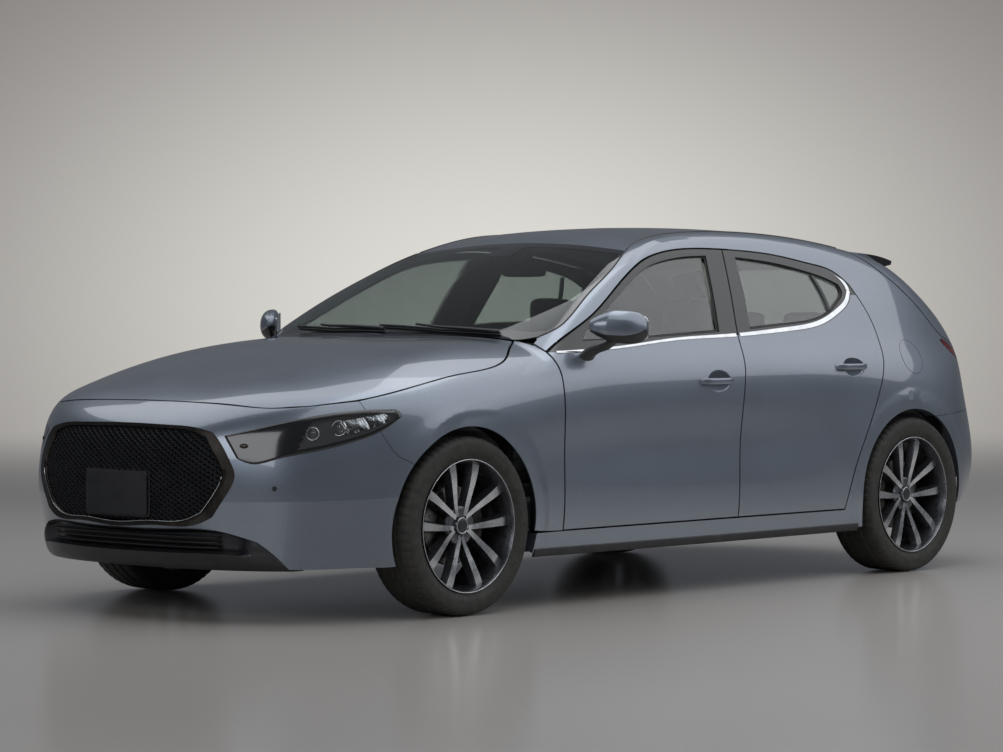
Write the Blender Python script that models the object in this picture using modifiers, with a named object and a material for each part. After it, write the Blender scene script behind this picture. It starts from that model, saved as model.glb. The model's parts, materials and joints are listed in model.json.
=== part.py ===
"""Five-door hatchback, built as separate panels, glass, cabin and running gear.

Metres, +Z up. The front faces -Y and +X is the car's left side. The origin is on the ground, under the
middle of the car. Every outside panel is laid on one body surface: a side, a bonnet, a roof, a front and
a rear surface, each a spline net, blended where they meet.
"""

import math

import bmesh
import bpy
import numpy as np
from mathutils import Matrix, Vector

# Overall sizes
BODY_WIDTH = 1.795
BODY_HEIGHT = 1.440
FRONT_AXLE_Y = -1.317
WHEELBASE = 2.725
TRACK = 1.575
FLOOR_Z = 0.175

# Wheels
TYRE_RADIUS = 0.325
TYRE_WIDTH = 0.215
RIM_RADIUS = 0.2425
RIM_WIDTH = 0.200
SPOKE_PAIRS = 5
WHEEL_STEPS = 28
DISC_RADIUS = 0.145
HUB_RADIUS = 0.075

# Panels and gaps
SHUT_GAP = 0.0065
SEAM_GAP = 0.0008
SEAT_GAP = 0.0004
SKIN = 0.005
BUMPER_WALL = 0.012
BONNET_DEPTH = 0.018
BONNET_EDGE = 0.005
ROOF_DEPTH = 0.022
SIDE_DEPTH = 0.045
GATE_DEPTH = 0.030
SPOILER_HALF = 0.575
SPOILER_REACH = 0.365
SPOILER_FALL = 0.034
SPOILER_EDGE = 0.016
SPOILER_ROOT_Z = 1.310
DOOR_DEPTH = 0.090
FRAME_DEPTH = 0.028
LIP_DEPTH = 0.007
LEADING_LIP = 0.082
TRAILING_LIP = 0.024
LIP_STEP = 0.006
HANDLE_LENGTH = 0.200
HANDLE_HEIGHT = 0.024
HANDLE_REACH = 0.036
HANDLE_BAR = 0.016
HANDLE_POST = 0.030
GLASS = 0.005
ARCH_RADIUS = 0.360
LINER_RADIUS = 0.372
LINER_WALL = 0.003
LINER_OUTER_X = 0.800
REAR_LINER_X = 0.560
SILL_INNER_X = 0.745
HINGE_PILLAR_X = 0.772
HINGE_HEIGHTS = (0.42, 0.80)
BONNET_HINGE_Z = 0.940
BONNET_ARM_X = 0.642
GATE_PIN_X = 0.200
GATE_PIN_RADIUS = 0.0036
RAIL_X = (0.380, 0.465)

# Joint axes
DOOR_HINGE_X = 0.845
DOOR_HINGE_SETBACK = 0.065
HINGE_HALF = 0.008
KINGPIN_X = 0.735
STEERING_RAKE = math.radians(24)
STEERING_WHEEL_RADIUS = 0.185
DRIVER_X = -0.370

REAR_AXLE_Y = FRONT_AXLE_Y + WHEELBASE
HALF_WIDTH = BODY_WIDTH / 2
F = FRONT_AXLE_Y
R = REAR_AXLE_Y
BONNET_HINGE_Y = F + 0.570

# Side surface: how far it lies inside the half width, a row for each height, along the stations SIDE_Y
SIDE_Y = [F - 0.74, F - 0.39, F, F + 0.53, F + 1.21, R - 0.865, R - 0.315, R, R + 0.385, R + 0.735]
SIDE_Z = [0.17, 0.28, 0.42, 0.58, 0.72, 0.82, 0.90, 0.97, 1.10, 1.25, 1.40]
SIDE_INSET = [
    [.1175, .0625, .0475, .0455, .0425, .0405, .0375, .0425, .0775, .1975],
    [.0975, .0355, .0175, .0255, .0255, .0225, .0145, .0125, .0475, .1675],
    [.0975, .0295, .0055, .0155, .0175, .0155, .0045, .0005, .0355, .1475],
    [.1125, .0315, .0005, .0175, .0235, .0205, .0055, .0005, .0355, .1475],
    [.1325, .0425, .0045, .0135, .0195, .0175, .0095, .0075, .0455, .1525],
    [.1575, .0675, .0255, .0215, .0215, .0195, .0155, .0195, .0655, .1725],
    [.1975, .1075, .0625, .0455, .0395, .0355, .0355, .0455, .0975, .2025],
    [.2475, .1575, .1075, .0855, .0755, .0715, .0715, .0825, .1355, .2425],
    [.3175, .2275, .1775, .1495, .1375, .1325, .1315, .1425, .1925, .2975],
    [.3975, .3075, .2575, .2325, .2175, .2075, .2055, .2155, .2655, .3675],
    [.4975, .3975, .3475, .3225, .3025, .2895, .2855, .2955, .3455, .4475],
]
# Bonnet and roof surfaces: heights, and drops below the top of the car
TOP_X = [0.0, 0.25, 0.50, 0.70, 0.88]
BONNET_Y = [F - 0.89, F - 0.74, F - 0.49, F - 0.14, F + 0.21, F + 0.51]
BONNET_Z = [
    [0.690, 0.788, 0.872, 0.947, 0.995, 1.018],
    [0.685, 0.783, 0.869, 0.945, 0.992, 1.012],
    [0.650, 0.756, 0.851, 0.934, 0.982, 1.000],
    [0.560, 0.682, 0.800, 0.895, 0.945, 0.965],
    [0.440, 0.580, 0.715, 0.810, 0.860, 0.885],
]
ROOF_Y = [F + 0.36, F + 0.71, F + 1.06, F + 1.36, F + 1.71, R - 0.615, R - 0.215, R + 0.135, R + 0.385]
ROOF_DROP = [
    [.465, .290, .138, .043, .001, .003, .038, .095, .145],
    [.478, .300, .146, .049, .006, .008, .043, .100, .150],
    [.508, .324, .166, .064, .021, .023, .058, .116, .168],
    [.555, .355, .194, .090, .048, .052, .088, .148, .200],
    [.635, .425, .260, .147, .104, .110, .148, .210, .262],
]
# Nose and tail surfaces: how far they reach ahead of the front axle and behind the rear one
NOSE_X = [0.0, 0.30, 0.55, 0.72, 0.85]
NOSE_Z = [0.17, 0.25, 0.35, 0.48, 0.62, 0.74, 0.90]
NOSE_REACH = [
    [.830, .895, .905, .915, .905, .870, .770],
    [.812, .877, .886, .895, .883, .845, .740],
    [.725, .790, .795, .800, .783, .740, .630],
    [.580, .640, .640, .635, .605, .555, .450],
    [.390, .440, .435, .415, .380, .325, .220],
]
TAIL_X = [0.0, 0.30, 0.55, 0.72, 0.85]
TAIL_Z = [0.20, 0.33, 0.50, 0.62, 0.78, 0.92, 1.00, 1.10, 1.22, 1.34]
TAIL_REACH = [
    [.675, .780, .813, .785, .740, .720, .685, .585, .415, .225],
    [.663, .767, .800, .773, .727, .707, .671, .570, .400, .210],
    [.615, .715, .747, .720, .675, .650, .613, .510, .340, .150],
    [.530, .625, .660, .630, .583, .555, .515, .410, .240, .050],
    [.395, .485, .520, .490, .445, .415, .375, .275, .100, -.090],
]
# Blends between the surfaces
NOSE_BLEND = 0.16
TAIL_BLEND = 0.14
TOP_BLEND = 0.09
SCREEN_BLEND = 0.02
FLOOR_BLEND = 0.05


def spline_weights(knots, t):
    """Weights of the natural cubic spline through the knots, carried on straight past its ends."""
    knots = np.asarray(knots, float)
    t = np.asarray(t, float)
    n = len(knots)
    step = np.diff(knots)
    bend = np.zeros((n, n))
    bend[0, 0] = bend[-1, -1] = 1.0
    pull = np.zeros((n, n))
    for i in range(1, n - 1):
        bend[i, i - 1:i + 2] = step[i - 1], 2 * (step[i - 1] + step[i]), step[i]
        pull[i, i - 1] += 6 / step[i - 1]
        pull[i, i] -= 6 / step[i - 1] + 6 / step[i]
        pull[i, i + 1] += 6 / step[i]
    second = np.linalg.solve(bend, pull)
    inside = np.clip(t, knots[0], knots[-1])
    k = np.clip(np.searchsorted(knots, inside) - 1, 0, n - 2)
    h = step[k]
    b = (inside - knots[k]) / h
    a = 1 - b
    eye = np.eye(n)
    weights = a[:, None] * eye[k] + b[:, None] * eye[k + 1]
    weights += ((a ** 3 - a)[:, None] * second[k] + (b ** 3 - b)[:, None] * second[k + 1]) * (h ** 2)[:, None] / 6
    first_slope = (eye[1] - eye[0]) / step[0] - step[0] * second[1] / 6
    last_slope = (eye[-1] - eye[-2]) / step[-1] + step[-1] * second[-2] / 6
    weights += np.minimum(t - knots[0], 0)[:, None] * first_slope
    weights += np.maximum(t - knots[-1], 0)[:, None] * last_slope
    return weights


def net(us, vs, values, u, v):
    """Spline surface whose value at (us[i], vs[j]) is values[i][j]."""
    return np.einsum("pi,ij,pj->p", spline_weights(us, u), np.asarray(values, float), spline_weights(vs, v))


def blend_max(a, b, radius):
    """The larger of two distances, rounded where they are within the radius of each other."""
    h = np.maximum(radius - np.abs(a - b), 0.0) / radius
    return np.maximum(a, b) + h ** 3 * radius / 6


def body(points):
    """Signed distance-like value of the body surface: below zero inside the car."""
    flat = np.asarray(points, float).reshape(-1, 3)
    x = np.sqrt(flat[:, 0] ** 2 + 1e-6)
    y = flat[:, 1]
    z = flat[:, 2]
    side = x - HALF_WIDTH + net(SIDE_Y, SIDE_Z, np.array(SIDE_INSET).T, y, z)
    bonnet = net(TOP_X, BONNET_Y, BONNET_Z, x, y)
    roof = BODY_HEIGHT - net(TOP_X, ROOF_Y, ROOF_DROP, x, y)
    top = z - blend_max(bonnet, roof, SCREEN_BLEND)
    nose = F - net(NOSE_X, NOSE_Z, NOSE_REACH, x, z) - y
    tail = y - R - net(TAIL_X, TAIL_Z, TAIL_REACH, x, z)
    value = blend_max(side, nose, NOSE_BLEND)
    value = blend_max(value, tail, TAIL_BLEND)
    value = blend_max(value, top, TOP_BLEND)
    value = blend_max(value, FLOOR_Z - z, FLOOR_BLEND)
    return value.reshape(np.shape(points)[:-1])


def slope(points):
    """Gradient of the body value, by central differences."""
    points = np.asarray(points, float)
    step = 0.0005
    parts = []
    for axis in np.eye(3) * step:
        parts.append((body(points + axis) - body(points - axis)) / (2 * step))
    return np.stack(parts, axis=-1)


def normals(points):
    """Outward unit normals of the body surface."""
    g = slope(points)
    return g / np.linalg.norm(g, axis=-1, keepdims=True)


def snap(points):
    """Moves points that lie near the body surface onto it, along its slope."""
    points = np.array(points, float)
    for _ in range(8):
        g = slope(points)
        points -= g * (body(points) / np.sum(g * g, axis=-1))[..., None]
    return points


def cast(origins, direction):
    """Where rays from inside the car leave the body surface, by halving."""
    origins = np.asarray(origins, float)
    direction = np.asarray(direction, float)
    near = np.zeros(origins.shape[:-1])
    far = np.full(origins.shape[:-1], 2.6)
    for _ in range(32):
        middle = (near + far) / 2
        inside = body(origins + direction * middle[..., None]) < 0
        near = np.where(inside, middle, near)
        far = np.where(inside, far, middle)
    return origins + direction * near[..., None]


def on_side(yz):
    """Points of the left side at given (y, z)."""
    yz = np.asarray(yz, float)
    start = np.concatenate([np.full(yz.shape[:-1] + (1,), 0.30), yz], axis=-1)
    return cast(start, (1, 0, 0))


def on_top(xy):
    """Points of the bonnet, screen or roof at given (x, y)."""
    xy = np.asarray(xy, float)
    start = np.concatenate([xy, np.full(xy.shape[:-1] + (1,), 0.50)], axis=-1)
    return cast(start, (0, 0, 1))


def on_nose(xz):
    """Points of the front at given (x, z)."""
    xz = np.asarray(xz, float)
    start = np.stack([xz[..., 0], np.full(xz.shape[:-1], F), xz[..., 1]], axis=-1)
    return cast(start, (0, -1, 0))


def on_tail(xz):
    """Points of the rear at given (x, z)."""
    xz = np.asarray(xz, float)
    start = np.stack([xz[..., 0], np.full(xz.shape[:-1], R - 0.6), xz[..., 1]], axis=-1)
    return cast(start, (0, 1, 0))


def resample(points, count):
    """Evenly spaced points on the smooth curve through the given ones."""
    points = np.asarray(points, float)
    chord = np.concatenate([[0], np.cumsum(np.linalg.norm(np.diff(points, axis=0), axis=1))])
    fine = spline_weights(chord, np.linspace(0, chord[-1], 16 * count)) @ points
    length = np.concatenate([[0], np.cumsum(np.linalg.norm(np.diff(fine, axis=0), axis=1))])
    even = np.linspace(0, length[-1], count)
    return np.stack([np.interp(even, length, fine[:, k]) for k in range(points.shape[1])], axis=-1)


def coons(bottom, right, top, left):
    """Fills four edges: bottom and top run left to right, left and right run upwards."""
    n = len(bottom)
    m = len(left)
    u = np.linspace(0, 1, n)[:, None, None]
    v = np.linspace(0, 1, m)[None, :, None]
    ruled_u = (1 - u) * left[None] + u * right[None]
    ruled_v = (1 - v) * bottom[:, None] + v * top[:, None]
    corners = (1 - u) * (1 - v) * bottom[0] + u * (1 - v) * bottom[-1] + (1 - u) * v * top[0] + u * v * top[-1]
    return ruled_u + ruled_v - corners


def loop_of(bottom, right, top, left):
    """Closed loop round the four edges of a patch, each corner once."""
    return np.concatenate([bottom[:-1], right[:-1], top[::-1][:-1], left[::-1][:-1]])


def shrink(loop, gap):
    """Moves every point of a closed flat loop inwards by the gap; a negative gap moves it outwards."""
    before = loop - np.roll(loop, 1, axis=0)
    after = np.roll(loop, -1, axis=0) - loop
    before /= np.linalg.norm(before, axis=1, keepdims=True)
    after /= np.linalg.norm(after, axis=1, keepdims=True)
    turn_before = np.stack([-before[:, 1], before[:, 0]], axis=-1)
    turn_after = np.stack([-after[:, 1], after[:, 0]], axis=-1)
    mitre = (turn_before + turn_after) / (1 + np.sum(turn_before * turn_after, axis=1))[:, None]
    area = np.sum(loop[:, 0] * np.roll(loop[:, 1], -1) - loop[:, 1] * np.roll(loop[:, 0], -1))
    return loop + mitre * gap * math.copysign(1, area)


def shrink_sides(sides, gap):
    """The four edges of a flat patch, moved inwards by the gap."""
    bottom, right, top, left = sides
    loop = shrink(loop_of(*sides), gap)
    n = len(bottom) - 1
    m = len(left) - 1
    turned = np.concatenate([loop, loop[:1]])
    return (turned[:n + 1], turned[n:n + m + 1], turned[n + m:2 * n + m + 1][::-1], turned[2 * n + m:][::-1])


def edges(bottom, right, top, left, n, m):
    """Four edges resampled to n points across and m points up."""
    return resample(bottom, n), resample(right, m), resample(top, n), resample(left, m)


CAR = bpy.data.collections.new("hatchback")
TOOLS = bpy.data.collections.new("cutters")


def clear_scene():
    for obj in list(bpy.data.objects):
        bpy.data.objects.remove(obj)
    bpy.context.scene.collection.children.link(CAR)
    bpy.context.scene.collection.children.link(TOOLS)


def finish(name, colour, roughness, metallic, alpha=1.0):
    material = bpy.data.materials.new(name)
    material.use_nodes = True
    shader = material.node_tree.nodes["Principled BSDF"]
    shader.inputs["Base Color"].default_value = (*colour, 1.0)
    shader.inputs["Roughness"].default_value = roughness
    shader.inputs["Metallic"].default_value = metallic
    shader.inputs["Alpha"].default_value = alpha
    return material


FINISHES = {
    "paint": ((0.115, 0.150, 0.200), 0.25, 0.60),
    "black_trim": ((0.012, 0.012, 0.013), 0.35, 0.0),
    "black_plastic": ((0.020, 0.020, 0.021), 0.60, 0.0),
    "gunmetal": ((0.060, 0.062, 0.066), 0.30, 0.90),
    "glass": ((0.060, 0.070, 0.070), 0.05, 0.0),
    "lamp": ((0.250, 0.260, 0.270), 0.10, 0.0),
    "tail_lamp": ((0.400, 0.010, 0.012), 0.15, 0.0),
    "rubber": ((0.015, 0.015, 0.015), 0.80, 0.0),
    "alloy": ((0.350, 0.355, 0.360), 0.25, 1.0),
    "steel": ((0.300, 0.300, 0.300), 0.40, 1.0),
    "cast_iron": ((0.090, 0.088, 0.085), 0.60, 0.80),
    "carpet": ((0.018, 0.018, 0.019), 0.95, 0.0),
    "leather": ((0.022, 0.021, 0.021), 0.50, 0.0),
    "vinyl": ((0.020, 0.020, 0.022), 0.65, 0.0),
}


def place(obj, finish_name, owner=None):
    """Puts an object in the car with its own material."""
    for held in list(obj.users_collection):
        held.objects.unlink(obj)
    (owner or CAR).objects.link(obj)
    obj.data.materials.clear()
    obj.data.materials.append(finish(obj.name, *FINISHES[finish_name]))
    obj.data.shade_smooth()
    obj.data.set_sharp_from_angle(angle=math.radians(32))
    return obj


def closed_mesh(name, vertices, faces):
    """Mesh from vertices and faces, turned so that its faces point outwards."""
    mesh = bpy.data.meshes.new(name)
    mesh.from_pydata([tuple(v) for v in vertices], [], [tuple(int(i) for i in f) for f in faces])
    work = bmesh.new()
    work.from_mesh(mesh)
    bmesh.ops.triangulate(work, faces=[f for f in work.faces if len(f.verts) == 4], quad_method="SHORT_EDGE")
    bmesh.ops.recalc_face_normals(work, faces=work.faces)
    if work.calc_volume(signed=True) < 0:
        bmesh.ops.reverse_faces(work, faces=work.faces)
    work.to_mesh(mesh)
    work.free()
    return bpy.data.objects.new(name, mesh)


def grid_solid(name, outer, inner):
    """Closed solid between two grids with the same number of points."""
    n, m = outer.shape[:2]
    number = np.arange(n * m).reshape(n, m)
    quads = np.stack([number[:-1, :-1], number[1:, :-1], number[1:, 1:], number[:-1, 1:]], axis=-1).reshape(-1, 4)
    rim = np.concatenate([number[:-1, 0], number[-1, :-1], number[1:, -1][::-1], number[0, 1:][::-1]])
    after = np.roll(rim, -1)
    walls = np.stack([rim, after, after + n * m, rim + n * m], axis=-1)
    faces = list(quads) + list(quads[:, ::-1] + n * m) + list(walls[:, ::-1])
    return closed_mesh(name, np.concatenate([outer.reshape(-1, 3), inner.reshape(-1, 3)]), faces)


def prism(name, loop, near, far):
    """Cutter: a flat loop, given as points in the plane square to the line from near to far."""
    n = len(loop)
    faces = [list(range(n)), list(range(2 * n - 1, n - 1, -1))]
    for i in range(n):
        j = (i + 1) % n
        faces.append([i, j, n + j, n + i])
    cutter = closed_mesh(name, np.concatenate([loop + near, loop + far]), faces)
    TOOLS.objects.link(cutter)
    cutter.hide_render = True
    cutter.display_type = "WIRE"
    return cutter


def side_prism(name, yz, side=1, near=0.30, far=1.20):
    """Cutter through one side of the car."""
    loop = np.concatenate([np.zeros((len(yz), 1)), yz], axis=1)
    return prism(name, loop, np.array([side * near, 0, 0]), np.array([side * far, 0, 0]))


def nose_prism(name, xz, near, far):
    """Cutter along the car, from y near to y far."""
    loop = np.stack([xz[:, 0], np.zeros(len(xz)), xz[:, 1]], axis=-1)
    return prism(name, loop, np.array([0, near, 0]), np.array([0, far, 0]))


def combine(obj, other, operation="DIFFERENCE"):
    """Cuts or joins another solid, for good."""
    if not obj.users_collection:
        TOOLS.objects.link(obj)
    modifier = obj.modifiers.new(operation.lower(), "BOOLEAN")
    modifier.operation = operation
    modifier.solver = "EXACT"
    modifier.object = other
    mesh = bpy.data.meshes.new_from_object(obj.evaluated_get(bpy.context.evaluated_depsgraph_get()))
    obj.modifiers.clear()
    mesh.name = obj.name
    obj.data = mesh
    bpy.data.objects.remove(other)
    mesh.shade_smooth()
    mesh.set_sharp_from_angle(angle=math.radians(32))
    return obj


def box(name, low, high, bevel=0.0):
    """Box between two corners, with rounded edges."""
    low = Vector(low)
    high = Vector(high)
    bpy.ops.mesh.primitive_cube_add(size=1, location=(low + high) / 2)
    obj = bpy.context.active_object
    obj.name = name
    obj.scale = high - low
    bpy.ops.object.transform_apply(location=True, rotation=False, scale=True)
    if bevel:
        rounding = obj.modifiers.new("edges", "BEVEL")
        rounding.width = bevel
        rounding.segments = 2
    return obj


def cylinder(name, start, end, radius, sides=24, end_radius=None):
    """Cylinder or cone between two points."""
    start = Vector(start)
    end = Vector(end)
    bpy.ops.mesh.primitive_cone_add(
        vertices=sides, radius1=radius, radius2=radius if end_radius is None else end_radius,
        depth=(end - start).length, end_fill_type="NGON")
    obj = bpy.context.active_object
    obj.name = name
    turn = (end - start).to_track_quat("Z", "Y").to_matrix().to_4x4()
    obj.data.transform(Matrix.Translation((start + end) / 2) @ turn)
    return obj


def turned(name, profile, centre, steps):
    """Ring turned about the X axis through a centre; the profile holds (x, radius) pairs of a closed outline."""
    profile = np.asarray(profile, float)
    n = len(profile)
    angle = np.linspace(0, 2 * math.pi, steps, endpoint=False)[:, None]
    x = np.broadcast_to(profile[:, 0], (steps, n))
    rings = np.stack([x, profile[:, 1] * np.cos(angle), profile[:, 1] * np.sin(angle)], axis=-1) + centre
    number = np.arange(steps * n).reshape(steps, n)
    over = np.roll(number, -1, axis=0)
    faces = np.stack([number, np.roll(number, -1, 1), np.roll(over, -1, 1), over], axis=-1).reshape(-1, 4)
    return closed_mesh(name, rings.reshape(-1, 3), faces)


def arc(centre, radius, start, end, count):
    """Points of a circle in a plane, between two angles in degrees."""
    angle = np.radians(np.linspace(start, end, count))
    return np.stack([centre[0] + radius * np.cos(angle), centre[1] + radius * np.sin(angle)], axis=-1)


# Outlines in the side view, as (y, z); the stations hang on the two axles
DOOR_FOOT_Z = 0.283
SHUT_A = [(F + 0.525, DOOR_FOOT_Z), (F + 0.525, 0.945)]
SHUT_B = [(R - 1.160, DOOR_FOOT_Z), (R - 1.157, 0.450), (R - 1.145, 0.620), (R - 1.123, 0.800),
          (R - 1.103, 0.910), (R - 1.083, 0.998), (R - 1.022, 1.196), (R - 0.972, 1.345)]
SHUT_C = [(R - 0.470, DOOR_FOOT_Z), (R - 0.407, 0.459), (R - 0.315, 0.620), (R - 0.230, 0.780),
          (R - 0.170, 0.920), (R - 0.153, 1.020), (R - 0.170, 1.100), (R - 0.200, 1.165), (R - 0.222, 1.205)]
FRAME_TOP_FRONT = [(F + 0.525, 0.945), (F + 0.566, 0.968), (F + 0.818, 1.083), (F + 0.977, 1.167),
                   (F + 1.123, 1.243), (F + 1.264, 1.302), (F + 1.411, 1.334), (F + 1.571, 1.346), (R - 0.972, 1.345)]
FRAME_TOP_REAR = [(R - 0.972, 1.345), (R - 0.644, 1.324), (R - 0.412, 1.288), (R - 0.285, 1.254), (R - 0.222, 1.205)]
DOOR_FOOT_FRONT = [SHUT_A[0], SHUT_B[0]]
DOOR_FOOT_REAR = [SHUT_B[0], SHUT_C[0]]
GLASS_FRONT = ([(F + 0.710, 0.985), (F + 1.224, 1.000), (R - 1.190, 1.014)],
               [(R - 1.190, 1.014), (R - 1.142, 1.165), (R - 1.090, 1.318)],
               [(F + 0.750, 1.022), (F + 0.964, 1.135), (F + 1.120, 1.215), (F + 1.250, 1.270),
                (F + 1.387, 1.300), (F + 1.500, 1.313), (R - 1.090, 1.318)],
               [(F + 0.710, 0.985), (F + 0.750, 1.022)])
GLASS_REAR = ([(R - 0.990, 1.024), (R - 0.754, 1.040), (R - 0.515, 1.066), (R - 0.395, 1.105), (R - 0.315, 1.150)],
              [(R - 0.315, 1.150), (R - 0.290, 1.178), (R - 0.297, 1.207)],
              [(R - 0.910, 1.314), (R - 0.667, 1.292), (R - 0.465, 1.256), (R - 0.345, 1.225), (R - 0.297, 1.207)],
              [(R - 0.990, 1.024), (R - 0.950, 1.165), (R - 0.910, 1.314)])
SILL_Z = 0.205
FRONT_HANDLE = (R - 1.302, 0.823)
REAR_HANDLE = (R - 0.420, 0.868)

# Seams seen from above, as (x, y)
BONNET_FRONT = [(0.0, F - 0.760), (0.22, F - 0.757), (0.42, F - 0.742), (0.56, F - 0.697), (0.67, F - 0.590)]
BONNET_SIDE = [(0.67, F - 0.590), (0.748, F - 0.461), (0.795, F - 0.330), (0.814, F - 0.172), (0.815, F + 0.008),
               (0.783, F + 0.304), (0.713, F + 0.404), (0.645, F + 0.500)]
BONNET_REAR = [(0.0, F + 0.405), (0.30, F + 0.422), (0.548, F + 0.478), (0.645, F + 0.500)]
SCREEN_BASE = [(0.0, F + 0.416), (0.30, F + 0.433), (0.55, F + 0.488), (0.66, F + 0.520), (0.716, F + 0.570)]
SCREEN_SIDE = [(0.716, F + 0.570), (0.738, F + 0.640), (0.732, F + 0.720), (0.694, F + 0.860), (0.636, F + 1.078),
               (0.569, F + 1.233)]
SCREEN_TOP = [(0.0, F + 1.262), (0.30, F + 1.252), (0.569, F + 1.233)]
ROOF_SIDE = [(0.569, F + 1.240), (0.530, F + 1.340), (0.519, F + 1.570), (0.532, R - 0.955), (0.548, R - 0.500),
             (0.585, R - 0.165)]
GATE_TOP_Y = R - 0.120
# Seams given in space, laid on the body surface afterwards
WING_FRONT = [(0.875, F - 0.250, 0.450), (0.875, F - 0.281, 0.560), (0.861, F - 0.329, 0.583), (0.846, F - 0.358, 0.617),
              (0.824, F - 0.389, 0.673), (0.783, F - 0.426, 0.753), (0.762, F - 0.434, 0.782)]
QUARTER_REAR = [(0.740, R + 0.490, 0.210), (0.740, R + 0.575, 0.450), (0.720, R + 0.590, 0.692), (0.712, R + 0.560, 0.850),
                (0.715, R + 0.520, 0.920), (0.752, R + 0.390, 0.985), (0.737, R + 0.300, 1.063), (0.691, R + 0.125, 1.214),
                (0.655, R + 0.005, 1.290), (0.600, R - 0.120, 1.360)]


def mirrored(half):
    """Left and right halves of a line that starts on the middle plane."""
    half = np.asarray(half, float)
    flip = np.ones(half.shape[1])
    flip[0] = -1
    return np.concatenate([half[::-1][:-1] * flip, half])


def door_sides(bottom, right, top, left, gap=SHUT_GAP / 2):
    return shrink_sides(edges(bottom, right, top, left, 10, 8), gap)


def front_door_sides(gap=SHUT_GAP / 2):
    return door_sides(DOOR_FOOT_FRONT, SHUT_B, FRAME_TOP_FRONT, SHUT_A, gap)


def rear_door_sides(gap=SHUT_GAP / 2):
    return door_sides(DOOR_FOOT_REAR, SHUT_C, FRAME_TOP_REAR, SHUT_B, gap)


def glass_sides(sides, gap=0.0):
    return shrink_sides(edges(*sides, 7, 5), gap)


def ease(value, low, high):
    """0 below low, 1 above high, smooth between."""
    t = np.clip((value - low) / (high - low), 0, 1)
    return t * t * (3 - 2 * t)


def door_grid(flat, columns=7):
    """Columns of a door at both ends of each thin lip, and evenly between the lips."""
    rows = []
    for j in range(flat.shape[1]):
        line = flat[:, j]
        start = line[0, 0]
        end = line[-1, 0]
        middle = np.linspace(start + LEADING_LIP + LIP_STEP, end - TRAILING_LIP - LIP_STEP, columns)
        at = np.concatenate([[start, start + LEADING_LIP], middle, [end - TRAILING_LIP, end]])
        rows.append(np.stack([at, np.interp(at, line[:, 0], line[:, 1])], axis=-1))
    return np.stack(rows, axis=1)


def add_handle(leaf, side, middle):
    """Pull handle on the outside of a door: a bar on two posts, with room for fingers behind it."""
    y, z = middle
    skin_x = on_side([middle])[0][0]
    half = HANDLE_HEIGHT / 2
    ends = (y - HANDLE_LENGTH / 2, y + HANDLE_LENGTH / 2)
    bar = sided_box("bar", side, (skin_x + HANDLE_REACH - HANDLE_BAR, ends[0], z - half),
                    (skin_x + HANDLE_REACH, ends[1], z + half), HANDLE_BAR * 0.4)
    for start in (ends[0] + HANDLE_POST * 0.2, ends[1] - HANDLE_POST * 1.2):
        combine(bar, sided_box("post", side, (skin_x - LIP_DEPTH, start, z - half * 0.7),
                               (skin_x + HANDLE_REACH - HANDLE_BAR / 2, start + HANDLE_POST, z + half * 0.7)), "UNION")
    combine(leaf, bar, "UNION")


def door(name, sides, hole, side, handle):
    """Door with its window frame: thick below the belt, thin in the frame and in the lips that swing inwards."""
    flat = door_grid(coons(*sides))
    outer = on_side(flat)
    depth = DOOR_DEPTH + (FRAME_DEPTH - DOOR_DEPTH) * ease(flat[..., 1], 0.90, 1.02)
    for column in (0, 1, -2, -1):
        depth[column] = LIP_DEPTH
    inner = outer - np.stack([depth, 0 * depth, 0 * depth], axis=-1)
    flip = np.array([side, 1, 1])
    leaf = place(grid_solid(name, outer * flip, inner * flip), "paint")
    combine(leaf, side_prism(name + "_window", loop_of(*hole), side))
    add_handle(leaf, side, handle)
    hinge_y = sides[0][0][0] + DOOR_HINGE_SETBACK
    for z in HINGE_HEIGHTS:
        combine(leaf, sided_box("hinge_leaf", side, (DOOR_HINGE_X - 0.010, hinge_y - HINGE_HALF, z - 0.020),
                                (DOOR_HINGE_X + 0.008, hinge_y + 0.060, z)), "UNION")
    return leaf


def window(name, sides, side):
    """Door glass: a thin sheet that follows the body, set in from the outside."""
    outer = on_side(coons(*sides)) - np.array([0.012, 0, 0])
    inner = outer - np.array([GLASS, 0, 0])
    flip = np.array([side, 1, 1])
    return place(grid_solid(name, outer * flip, inner * flip), "glass")


def hinge_at(obj, point):
    """Moves an object's origin to a point and leaves its shape where it is."""
    obj.data.transform(Matrix.Translation(-Vector(point)))
    obj.location = point


def build_doors(label, side):
    for place_name, sides, hole, handle in (("front", front_door_sides(), GLASS_FRONT, FRONT_HANDLE),
                                            ("rear", rear_door_sides(), GLASS_REAR, REAR_HANDLE)):
        leaf = door(f"{place_name}_door_{label}", sides, glass_sides(hole), side, handle)
        pane = window(f"{place_name}_window_{label}", glass_sides(hole, SEAT_GAP), side)
        hinge_y = sides[0][0][0] + DOOR_HINGE_SETBACK
        for obj in (leaf, pane):
            hinge_at(obj, (side * DOOR_HINGE_X, hinge_y, 0.6))


def arch_cutter(name, axle_y, side):
    cutter = cylinder(name, (side * 0.40, axle_y, TYRE_RADIUS), (side * 1.20, axle_y, TYRE_RADIUS), ARCH_RADIUS, 36)
    cutter.hide_render = True
    cutter.display_type = "WIRE"
    return cutter


def screen_edge():
    """Left edge of the windscreen, from its foot to the roof."""
    return on_top(resample(SCREEN_SIDE, 7))


def rail_edge():
    """Seam between the roof panel and the left rail, from the windscreen back."""
    return on_top(resample([SCREEN_SIDE[-1]] + ROOF_SIDE[1:] + [(0.600, GATE_TOP_Y)], 9))


def gate_edge():
    """Left seam of the tailgate, from the bumper up to the roof."""
    edge = snap(resample(QUARTER_REAR[2:], 11))
    edge[-1] = rail_edge()[-1]
    return edge


def wing_edge():
    """Left seam between the bumper and the wing, from the arch up to the bonnet."""
    return snap(resample(WING_FRONT, 8))


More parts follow.
